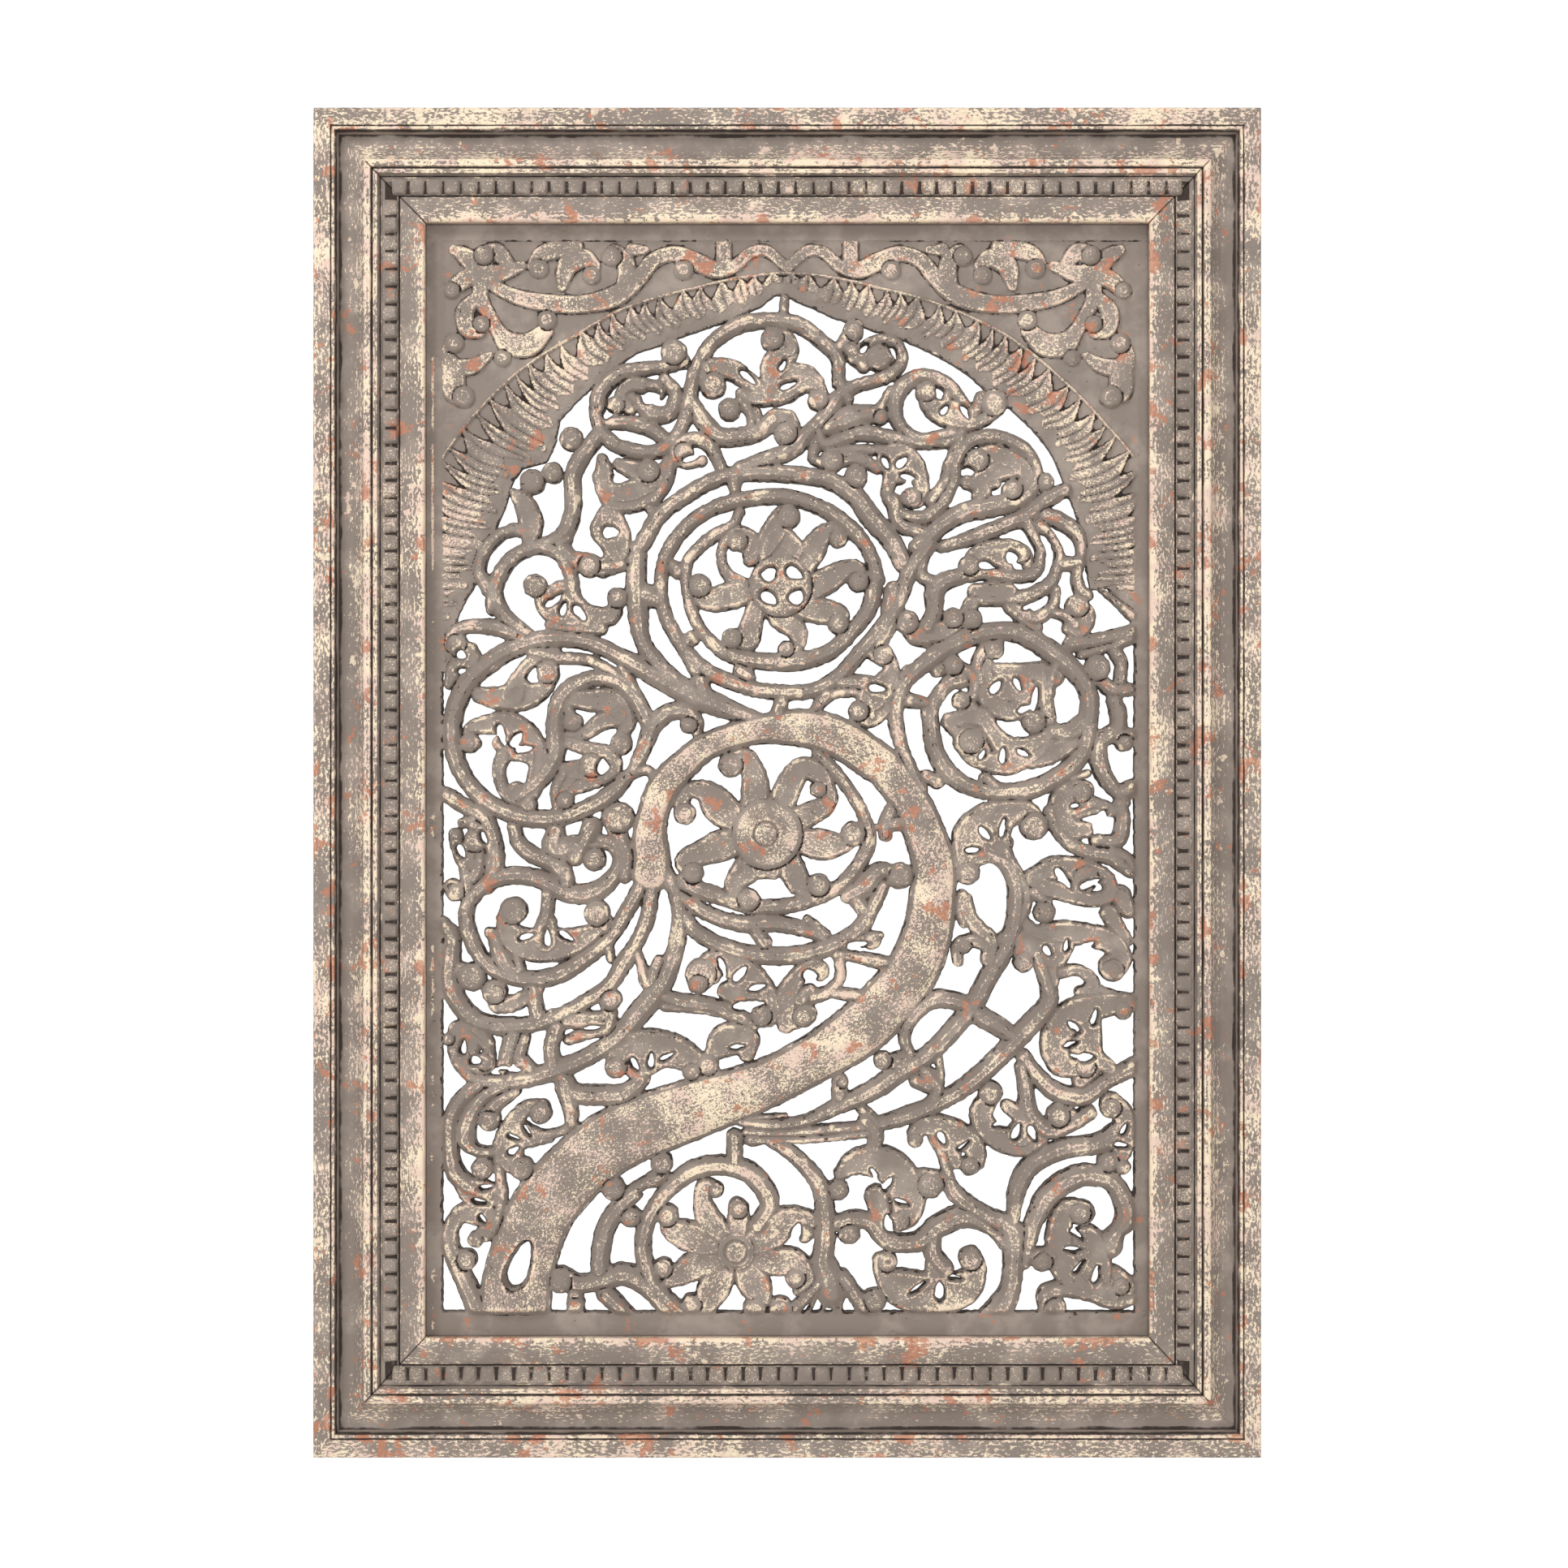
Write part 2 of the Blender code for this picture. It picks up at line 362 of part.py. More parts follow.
PETALS_TOP = [
    [(250, 590, 18), (256, 604, 22), (262, 616, 16), (268, 618, 12)],
    [(240, 584, 14), (242, 596, 12), (232, 602, 12), (222, 598, 8), (218, 584, 8), (224, 570, 10), (236, 564, 10)],
    [(246, 560, 12), (226, 556, 18), (210, 552, 16), (200, 554, 8), (204, 560, 10)],
    [(244, 548, 14), (240, 532, 18), (238, 522, 16), (232, 524, 12)],
    [(254, 546, 12), (262, 538, 16), (274, 530, 16), (276, 518, 8), (270, 514, 8)],
    [(280, 546, 18), (294, 544, 20), (306, 542, 14), (306, 536, 12)],
    [(284, 560, 20), (298, 568, 20), (312, 576, 14), (320, 576, 10), (322, 568, 12)],
    [(276, 576, 22), (286, 590, 20), (294, 602, 14), (302, 606, 8), (306, 600, 8)],
    [(262, 586, 34), (262, 596, 24), (272, 590, 18)],
]
BOSSES_FLOWER_TOP = [(202, 563, 9), (268, 614, 9), (305, 598, 7), (320, 566, 8), (305, 535, 8), (266, 516, 6.5),
             (226, 524, 8), (230, 596, 8), (262, 563, 24)]
SLOTS_FLOWER_TOP = [(231, 582, 15, 9, -65), (254, 571, 11, 8, 40), (271, 572, 13, 7, -30), (272, 556, 12, 8, 45),
             (255, 555, 13, 7, -35)]
PETALS_MID = [
    [(240, 392, 14), (242, 406, 18), (243, 420, 18), (236, 432, 14), (226, 432, 14)],
    [(232, 386, 14), (218, 396, 22), (206, 408, 14), (194, 410, 10), (188, 402, 12)],
    [(236, 374, 14), (220, 370, 20), (204, 364, 16), (192, 358, 12), (196, 350, 14)],
    [(244, 366, 16), (238, 354, 22), (228, 342, 16), (230, 332, 14)],
    [(246, 356, 14), (252, 350, 12)],
    [(266, 364, 16), (272, 350, 18), (276, 340, 14), (288, 338, 14)],
    [(276, 374, 16), (292, 370, 20), (306, 370, 12), (314, 376, 14)],
    [(272, 388, 18), (286, 394, 16), (296, 398, 12), (300, 406, 8), (296, 414, 8)],
    [(262, 394, 16), (266, 410, 18), (278, 426, 14), (290, 422, 14), (298, 412, 8)],
]
BOSSES_FLOWER_MID = [(252, 379, 27), (226, 430, 8.5), (191, 394, 8.5), (197, 350, 8.5), (238, 330, 9), (290, 341, 9),
             (316, 379, 9.5), (290, 412, 6.5)]
STEMS_RIGHT = [

    [(352, 440, 8), (346, 460, 9), (346, 476, 10), (352, 492, 12), (366, 508, 13), (386, 522, 13), (412, 530, 14),
     (438, 530, 14), (462, 516, 14), (482, 500, 14), (493, 482, 14), (493, 460, 14), (486, 438, 13), (470, 422, 13),
     (448, 410, 14), (424, 408, 14), (400, 412, 14), (384, 422, 13), (374, 438, 12), (370, 456, 10), (374, 474, 9),
     (386, 490, 10), (398, 496, 12)],
    [(352, 440, 8), (358, 424, 8), (364, 412, 8)],
    [(366, 470, 8), (368, 452, 10), (374, 434, 10)],
    [(358, 478, 12), (370, 476, 9)],
    [(378, 418, 12), (370, 422, 10)],
    [(378, 500, 10), (390, 504, 9), (404, 496, 12), (406, 482, 10), (396, 478, 8)],
    [(410, 492, 10), (408, 504, 10), (414, 516, 11), (424, 520, 8)],
    [(460, 484, 12), (465, 500, 9), (470, 510, 8)],
    [(456, 504, 8), (460, 470, 12), (462, 462, 10)],
    [(466, 456, 12), (480, 452, 12), (490, 462, 10)],
    [(414, 420, 10), (424, 412, 10)],
    [(478, 420, 6), (490, 424, 6)],

    [(428, 300, 12), (440, 318, 11), (444, 336, 11), (438, 352, 11), (432, 368, 9), (434, 384, 9), (444, 394, 9)],
    [(450, 336, 12), (460, 328, 8)],
    [(462, 396, 10), (464, 382, 11), (474, 370, 12), (490, 362, 13), (506, 360, 14), (522, 350, 9)],
    [(496, 374, 10), (512, 374, 12), (516, 388, 12), (514, 402, 10)],
    [(508, 366, 12), (520, 360, 9), (526, 348, 6)],
    [(500, 452, 10), (495, 436, 10), (500, 420, 10), (510, 410, 10), (518, 402, 8)],
    [(508, 454, 14), (498, 446, 10)],
    [(510, 452, 12), (510, 466, 10), (508, 478, 9)],
    [(512, 452, 14), (524, 452, 12)],
    [(516, 410, 14), (526, 414, 14)],
    [(498, 494, 10), (508, 486, 12), (522, 486, 10)],
    [(514, 492, 10), (515, 506, 10), (510, 518, 11), (524, 526, 12)],
    [(478, 522, 9), (500, 522, 10), (524, 528, 12)],
    [(486, 512, 8), (506, 518, 8)],

    [(364, 592, 14), (378, 598, 14), (400, 610, 12), (418, 620, 11), (436, 622, 12), (448, 632, 13), (456, 644, 10),
     (452, 658, 11), (440, 668, 12), (420, 674, 11), (402, 670, 11), (392, 656, 10), (390, 640, 10), (380, 622, 11),
     (368, 614, 11), (352, 616, 10), (342, 628, 10)],
    [(382, 592, 9), (404, 598, 12), (426, 602, 12), (444, 612, 14), (456, 622, 12), (470, 628, 9)],
    [(444, 612, 14), (452, 600, 9), (457, 586, 9), (450, 572, 10), (434, 570, 10), (410, 572, 10), (388, 566, 12),
     (376, 560, 14), (374, 544, 10), (370, 532, 16)],
    [(454, 606, 10), (462, 600, 6), (468, 586, 8), (466, 570, 8), (460, 560, 9), (444, 550, 11), (426, 548, 12),
     (408, 548, 12), (402, 544, 10)],
    [(456, 614, 10), (468, 606, 14), (480, 598, 10), (484, 586, 6), (482, 572, 9), (484, 560, 10), (490, 556, 9)],
    [(474, 580, 6), (482, 580, 10)],
    [(466, 560, 8), (464, 548, 9), (450, 538, 12), (440, 544, 10)],
    [(462, 544, 8), (474, 540, 9), (480, 534, 12)],
    [(368, 584, 10), (366, 572, 10), (374, 566, 10)],
    [(366, 578, 12), (358, 590, 14)],
    [(346, 626, 12), (350, 610, 12), (362, 604, 10), (376, 600, 10)],
    [(346, 560, 14), (342, 544, 12)],
    [(350, 548, 12), (344, 532, 14), (336, 520, 13)],
    [(352, 536, 8), (360, 524, 8), (370, 522, 10)],

    [(356, 500, 9), (352, 480, 9)],
    [(296, 482, 12), (290, 474, 10)],
    [(288, 472, 8), (300, 482, 8), (316, 484, 8), (328, 478, 8), (330, 466, 10)],
    [(305, 492, 10), (326, 490, 14), (340, 482, 20)],
    [(500, 560, 4), (510, 552, 5), (524, 540, 8)],
    [(326, 514, 8), (338, 508, 10)],
    [(344, 396, 12), (340, 386, 11), (340, 378, 10)],
    [(344, 386, 12), (354, 388, 14)],
    [(334, 384, 5), (342, 384, 8)],
]
LEAVES_RIGHT = [
    [(396, 480, 9), (408, 466, 12), (400, 462, 10), (384, 464, 14), (392, 452, 10), (398, 438, 14), (410, 432, 14),
     (430, 432, 20), (448, 440, 18), (462, 446, 10)],
    [(392, 464, 12), (410, 466, 16), (420, 456, 14), (430, 444, 20), (450, 448, 14), (464, 456, 10)],
    [(402, 448, 24), (408, 440, 20)],
    [(416, 508, 8), (414, 494, 14), (418, 478, 18), (432, 470, 16), (446, 476, 16), (456, 490, 12), (456, 500, 8)],
    [(420, 502, 9), (436, 498, 16), (452, 496, 14), (464, 490, 12)],
    [(428, 488, 24), (440, 486, 24)],
    [(394, 352, 8), (398, 362, 14), (404, 376, 24), (418, 388, 22), (434, 394, 14), (448, 394, 10), (456, 384, 8)],
    [(394, 356, 10), (414, 366, 18), (426, 372, 18)],
    [(412, 366, 14), (428, 360, 12)],
    [(450, 346, 16), (466, 354, 18), (486, 352, 18), (504, 346, 12), (506, 334, 12), (492, 330, 12), (470, 336, 14),
     (456, 340, 16)],
    [(484, 348, 20), (478, 340, 12)],
    [(488, 414, 14), (478, 406, 14), (472, 394, 14), (478, 382, 16), (488, 382, 12)],
    [(478, 400, 18), (494, 402, 10), (506, 398, 10)],
    [(482, 394, 10), (494, 396, 6), (508, 396, 10)],
    [(398, 570, 10), (400, 584, 12), (414, 590, 14), (432, 592, 12), (444, 588, 8), (446, 578, 8)],
    [(408, 584, 14), (424, 584, 14), (432, 574, 8)],
    [(402, 556, 12), (416, 558, 16), (432, 558, 12)],
    [(398, 540, 10), (404, 550, 12)],
    [(396, 538, 10), (384, 530, 16), (372, 528, 16), (360, 528, 8), (356, 540, 10)],
    [(366, 534, 12), (374, 544, 12)],
    [(484, 548, 14), (490, 540, 12), (484, 530, 14), (476, 532, 10)],
    [(334, 632, 12), (340, 646, 14), (336, 656, 14), (350, 660, 20), (364, 652, 16), (368, 636, 12), (362, 624, 12)],
    [(346, 644, 22), (352, 650, 22)],
    [(334, 650, 8), (324, 656, 10), (312, 658, 12), (300, 656, 14)],
    [(404, 652, 14), (416, 660, 16), (432, 656, 16), (444, 646, 14), (442, 634, 10)],
    [(410, 642, 14), (424, 648, 16), (436, 650, 14)],
    [(400, 640, 10), (410, 638, 12), (420, 640, 12)],
    [(410, 630, 12), (412, 634, 14)],
    [(442, 314, 10), (452, 306, 12), (470, 306, 18), (490, 304, 18), (508, 298, 18), (516, 286, 14), (510, 276, 12)],
    [(442, 290, 16), (444, 300, 18), (456, 296, 20), (462, 284, 12), (462, 270, 14)],
    [(464, 290, 24), (470, 296, 20)],
    [(506, 320, 14), (512, 310, 12), (520, 300, 8)],
    [(514, 334, 16), (520, 322, 12)],
    [(398, 330, 13), (402, 318, 12), (410, 308, 12), (418, 300, 12), (416, 286, 12)],
    [(398, 336, 12), (396, 322, 10), (398, 312, 6)],
    [(394, 284, 8), (394, 296, 10), (404, 300, 10), (414, 296, 10)],
    [(470, 276, 9), (482, 278, 9), (492, 272, 10), (494, 264, 10), (484, 262, 8)],
    [(492, 264, 12), (504, 262, 6), (522, 256, 8)],
    [(508, 280, 20), (512, 284, 18)],
    [(330, 480, 24), (344, 500, 12), (340, 512, 12), (336, 516, 8)],
    [(320, 466, 14), (330, 466, 16), (342, 478, 18)],
    [(346, 480, 14), (346, 500, 10)],
    [(432, 548, 10), (444, 540, 14), (452, 532, 10)],
]
BOSSES_RIGHT = [
    (403, 448, 10), (396, 478, 7), (420, 516, 8), (450, 462, 9), (497, 502, 10), (401, 350, 9), (450, 386, 10),
    (485, 410, 8), (488, 346, 10), (458, 321, 8.5), (404, 538, 8), (390, 539, 8), (356, 536, 9), (482, 548, 9),
    (441, 587, 7), (358, 626, 10), (318, 644, 9), (300, 656, 9), (408, 656, 9), (434, 634, 8), (508, 278, 9),
    (442, 284, 8), (404, 342, 7), (320, 470, 8), (338, 512, 8), (390, 504, 8), (402, 578, 8), (518, 444, 8),
    (458, 640, 7), (398, 296, 6),
]
SLOTS_RIGHT = [
    (412, 438, 9, 4, 55), (427, 437, 12, 5, 85), (442, 439, 11, 4, -25), (422, 488, 13, 6, 50), (438, 490, 11, 5, -60),
    (451, 480, 20, 5, 80), (444, 472, 14, 4, 20), (414, 379, 13, 5, -48), (427, 384, 15, 4.5, 80),
    (405, 367, 12, 4, 0), (472, 346, 20, 6, -52), (492, 342, 18, 5, 20), (482, 400, 11, 2.6, 8),
    (340, 654, 11, 5, -65), (352, 655, 12, 6, 45), (357, 644, 13, 4.5, -12), (460, 292, 10, 5, -50),
    (474, 296, 10, 4, 82), (490, 296, 13, 5, 25), (334, 487, 13, 6, -5), (503, 388, 18, 14, 60),
    (434, 584, 10, 9, 0), (490, 288, 16, 5, 15), (415, 578, 12, 6, -10), (446, 548, 10, 3, 30),
    (402, 648, 9, 6, 0),
]
STEMS_CROWN = [

    [(190, 730, 10), (178, 724, 8), (160, 722, 9), (142, 718, 10), (130, 706, 10), (126, 690, 10), (130, 676, 11),
     (144, 666, 12), (162, 662, 11), (178, 666, 11), (188, 680, 10), (194, 696, 12), (196, 716, 12), (202, 734, 11),
     (212, 748, 11), (232, 758, 12), (252, 762, 12), (274, 760, 12), (294, 748, 12), (304, 732, 11), (305, 714, 10)],
    [(134, 684, 8), (148, 684, 9), (166, 676, 9), (180, 668, 8)],
    [(176, 714, 10), (184, 706, 11), (184, 692, 10), (170, 688, 10), (158, 694, 10), (152, 702, 8)],
    [(180, 668, 10), (186, 656, 8)],
    [(118, 664, 12), (128, 676, 12)],
    [(184, 668, 10), (194, 672, 10), (206, 670, 12), (214, 660, 10), (218, 650, 10)],
    [(182, 660, 8), (190, 652, 9), (204, 652, 8)],
    [(178, 656, 8), (174, 640, 9), (166, 626, 10)],
    [(196, 700, 11), (204, 684, 12), (216, 672, 12), (232, 670, 12), (246, 676, 12), (256, 686, 14)],
    [(240, 676, 8), (240, 690, 8), (232, 700, 8)],
    [(246, 684, 8), (244, 692, 8)],
    [(206, 726, 10), (214, 712, 12)],

    [(232, 648, 10), (252, 654, 10), (272, 662, 10), (284, 676, 10), (296, 690, 12), (306, 704, 12), (320, 712, 10),
     (340, 718, 10), (352, 728, 9), (350, 740, 9), (340, 746, 8), (326, 742, 8), (318, 732, 8), (324, 726, 10)],
    [(306, 714, 10), (312, 702, 10)],
    [(290, 678, 8), (296, 668, 10), (320, 676, 12), (340, 674, 11), (366, 668, 11), (388, 668, 10), (396, 676, 9)],
    [(288, 668, 10), (286, 658, 8), (292, 654, 8)],
    [(300, 688, 10), (312, 690, 18), (326, 690, 14), (338, 690, 8)],
    [(390, 676, 10), (366, 672, 10), (350, 682, 9), (344, 698, 9), (350, 712, 9), (366, 720, 9), (384, 714, 9),
     (394, 704, 9), (400, 696, 8)],
    [(344, 708, 8), (338, 698, 8), (332, 690, 10)],
    [(396, 672, 9), (388, 656, 9), (384, 640, 10), (374, 626, 10)],
    [(306, 740, 10), (314, 748, 14)],
    [(264, 762, 8), (265, 776, 7)],
    [(308, 742, 8), (316, 736, 12)],
]
LEAVES_CROWN = [
    [(150, 694, 10), (144, 704, 10), (152, 712, 12), (166, 710, 12), (172, 706, 10)],
    [(142, 698, 14), (140, 694, 10)],
    [(206, 720, 10), (212, 728, 12), (226, 728, 12), (240, 720, 12), (248, 712, 12)],
    [(226, 712, 9), (236, 702, 9), (250, 704, 16), (264, 708, 20), (280, 714, 14), (292, 708, 10), (292, 698, 8)],
    [(236, 720, 8), (244, 708, 10)],
    [(254, 716, 14), (262, 728, 18), (270, 738, 12), (266, 748, 10), (256, 746, 8)],
    [(256, 706, 18), (264, 718, 20), (282, 722, 10), (290, 714, 10)],
    [(258, 688, 14), (268, 686, 14), (272, 676, 10), (266, 670, 10)],
    [(316, 732, 10), (330, 730, 12), (342, 732, 10)],
    [(364, 704, 12), (366, 694, 12), (376, 686, 14), (394, 684, 14), (408, 684, 10), (420, 692, 10), (426, 704, 8)],
    [(376, 696, 12), (392, 692, 16), (400, 690, 12)],
    [(300, 660, 12), (314, 664, 8), (330, 664, 8), (348, 662, 10), (364, 654, 10)],
]
BOSSES_CROWN = [
    (183, 736, 10), (214, 714, 8), (224, 694, 8.5), (256, 746, 9), (290, 701, 8), (335, 732, 10), (369, 705, 8),
    (420, 698, 10), (266, 676, 9), (140, 697, 7), (168, 708, 8), (190, 662, 8), (316, 752, 8), (234, 698, 5),
    (336, 688, 6),
]
SLOTS_CROWN = [
    (264, 727, 11, 4, 65), (268, 712, 14, 5, 22), (238, 718, 16, 5, -42), (166, 703, 14, 10, 15), (384, 694, 10, 4, 55),
    (399, 692, 12, 5, -60), (134, 690, 8, 6, 0), (346, 736, 11, 4, -70), (324, 739, 9, 4, 50), (196, 658, 14, 5, 15),
    (150, 674, 24, 7, -4), (380, 706, 9, 5, -75),
]

# The arch over the vine, from left to right
ARCH_OUTER = [
    (10, 655), (30, 683), (65, 719), (110, 748), (141, 766), (198, 783), (257, 794), (277, 794),
    (336, 783), (393, 766), (430, 748), (470, 716), (504, 681), (524, 658),
]
ARCH_INNER = [
    (18, 536), (34, 566), (44, 590), (60, 628), (75, 652), (97, 685), (124, 712), (155, 735), (171, 741),
    (200, 752), (224, 760), (247, 768), (259, 776), (266, 778), (274, 776), (300, 764), (330, 756), (354, 748),
    (384, 734), (414, 712), (440, 688), (454, 674), (466, 656), (474, 634), (480, 620), (486, 602), (488, 580),
    (492, 560), (504, 562), (516, 550), (526, 538),
]

# Raised arabesque of the left spandrel; the right one mirrors it
SPANDREL_STROKES = [
    [(267, 799, 8), (262, 803, 8), (252, 811, 9), (240, 810, 9), (228, 800, 10), (214, 797, 13), (200, 803, 14),
     (184, 809, 12), (168, 804, 12), (156, 790, 13), (140, 778, 16), (118, 772, 14), (94, 772, 14), (70, 776, 12),
     (52, 784, 10), (40, 794, 10)],
    [(100, 785, 8), (104, 800, 16), (116, 806, 14), (124, 800, 10)],
    [(78, 800, 8), (84, 808, 12), (96, 812, 14), (110, 814, 12)],
    [(146, 784, 12), (148, 800, 14), (140, 810, 12), (134, 806, 10)],
    [(20, 812, 8), (30, 806, 14), (40, 796, 16), (52, 794, 14), (70, 800, 8)],
    [(60, 802, 10), (52, 810, 14), (42, 808, 14)],
    [(18, 782, 12), (28, 790, 14), (40, 794, 14)],
    [(40, 794, 12), (40, 776, 12), (46, 764, 10), (54, 750, 12), (62, 742, 18), (76, 742, 18), (88, 752, 12)],
    [(36, 776, 10), (28, 766, 14), (30, 754, 14), (38, 752, 12)],
    [(20, 742, 14), (14, 734, 10), (18, 722, 20), (20, 708, 18), (28, 702, 14)],
    [(46, 734, 6), (34, 726, 12), (18, 724, 14)],
    [(220, 816, 12), (220, 804, 12)],
    [(188, 806, 8), (190, 798, 12)],
    [(152, 812, 10), (162, 812, 6)],
]
SPANDREL_BOSSES = [
    (137, 807, 8), (122, 793, 7.5), (83, 798, 8), (42, 808, 8), (18, 782, 7), (20, 743, 8), (40, 757, 7),
    (56, 732, 7), (89, 760, 8), (27, 703, 9), (190, 797, 8),
]

STROKES = (STEMS_FOOT + STEMS_RIGHT_FOOT + STEMS_LEFT + STEMS_UPPER_LEFT + STEMS_RIGHT + STEMS_CROWN)
BLADES = (LEAVES_FOOT + LEAVES_RIGHT_FOOT + LEAVES_LEFT + LEAVES_UPPER_LEFT + LEAVES_RIGHT + LEAVES_CROWN
          + PETALS_LOW + PETALS_MID + PETALS_TOP)
BOSSES = (BOSSES_FOOT + BOSSES_RIGHT_FOOT + BOSSES_LEFT + BOSSES_UPPER_LEFT + BOSSES_RIGHT + BOSSES_CROWN
          + BOSSES_FLOWER_LOW + BOSSES_FLOWER_MID + BOSSES_FLOWER_TOP)
SLOTS = (SLOTS_FOOT + SLOTS_RIGHT_FOOT + SLOTS_LEFT + SLOTS_UPPER_LEFT + SLOTS_RIGHT + SLOTS_CROWN
         + SLOTS_FLOWER_TOP)

# Derived sizes
SIGHT_WIDTH = FRAME_WIDTH - 2 * SIDE_RAIL_WIDTH
SIGHT_HEIGHT = FRAME_HEIGHT - TOP_RAIL_WIDTH - BOTTOM_RAIL_WIDTH
FRAME_TOP = TOP_RAIL_WIDTH / 2
FRAME_FOOT = FRAME_TOP - FRAME_HEIGHT
SIGHT_FOOT = FRAME_FOOT + BOTTOM_RAIL_WIDTH
SCALE_X = SIGHT_WIDTH / (PLAN_RIGHT - PLAN_LEFT)
SCALE_Z = SIGHT_HEIGHT / (PLAN_TOP - PLAN_BOTTOM)

# Rail section: share of the rail's width from its outer edge, height above the wall
SECTION_OUTER = [
    (0.000, 0.000), (0.000, 0.960), (0.020, 0.985), (0.175, 0.985), (0.195, 0.930), (0.215, 0.640),
    (0.330, 0.660), (0.410, 0.790), (0.455, 0.950), (0.510, 0.965), (0.520, 0.900), (0.530, 0.900),
    (0.540, 0.965), (0.575, 0.965), (0.585, 0.795),
]
SECTION_BEAD = (0.600, 0.735, 0.795)
SECTION_INNER = [
    (0.750, 0.780), (0.850, 0.890), (0.950, 0.945), (0.990, 0.925), (1.000, 0.890),
]


def clear_scene():
    for item in list(bpy.data.objects):
        bpy.data.objects.remove(item, do_unlink=True)


def plan_to_x(x):
    return (x - (PLAN_LEFT + PLAN_RIGHT) / 2) * SCALE_X


def plan_to_z(z):
    return SIGHT_FOOT + (z - PLAN_BOTTOM) * SCALE_Z


def smooth_path(points, step):
    """Catmull-Rom samples (x, z, width) along a stroke."""
    knots = np.array(points, dtype=float)
    ends = np.vstack([2 * knots[0] - knots[1], knots, 2 * knots[-1] - knots[-2]])
    parts = []
    for i in range(1, len(ends) - 2):
        before, start, stop, after = ends[i - 1], ends[i], ends[i + 1], ends[i + 2]
        length = math.hypot(stop[0] - start[0], stop[1] - start[1])
        count = max(2, int(length / step))
        t = (np.arange(count) / count)[:, None]
        linear = (stop - before) * t
        square = (2 * before - 5 * start + 4 * stop - after) * t * t
        cube = (3 * start - before - 3 * stop + after) * t * t * t
        parts.append(0.5 * (2 * start + linear + square + cube))
    parts.append(ends[-2][None, :])
    return np.vstack(parts)


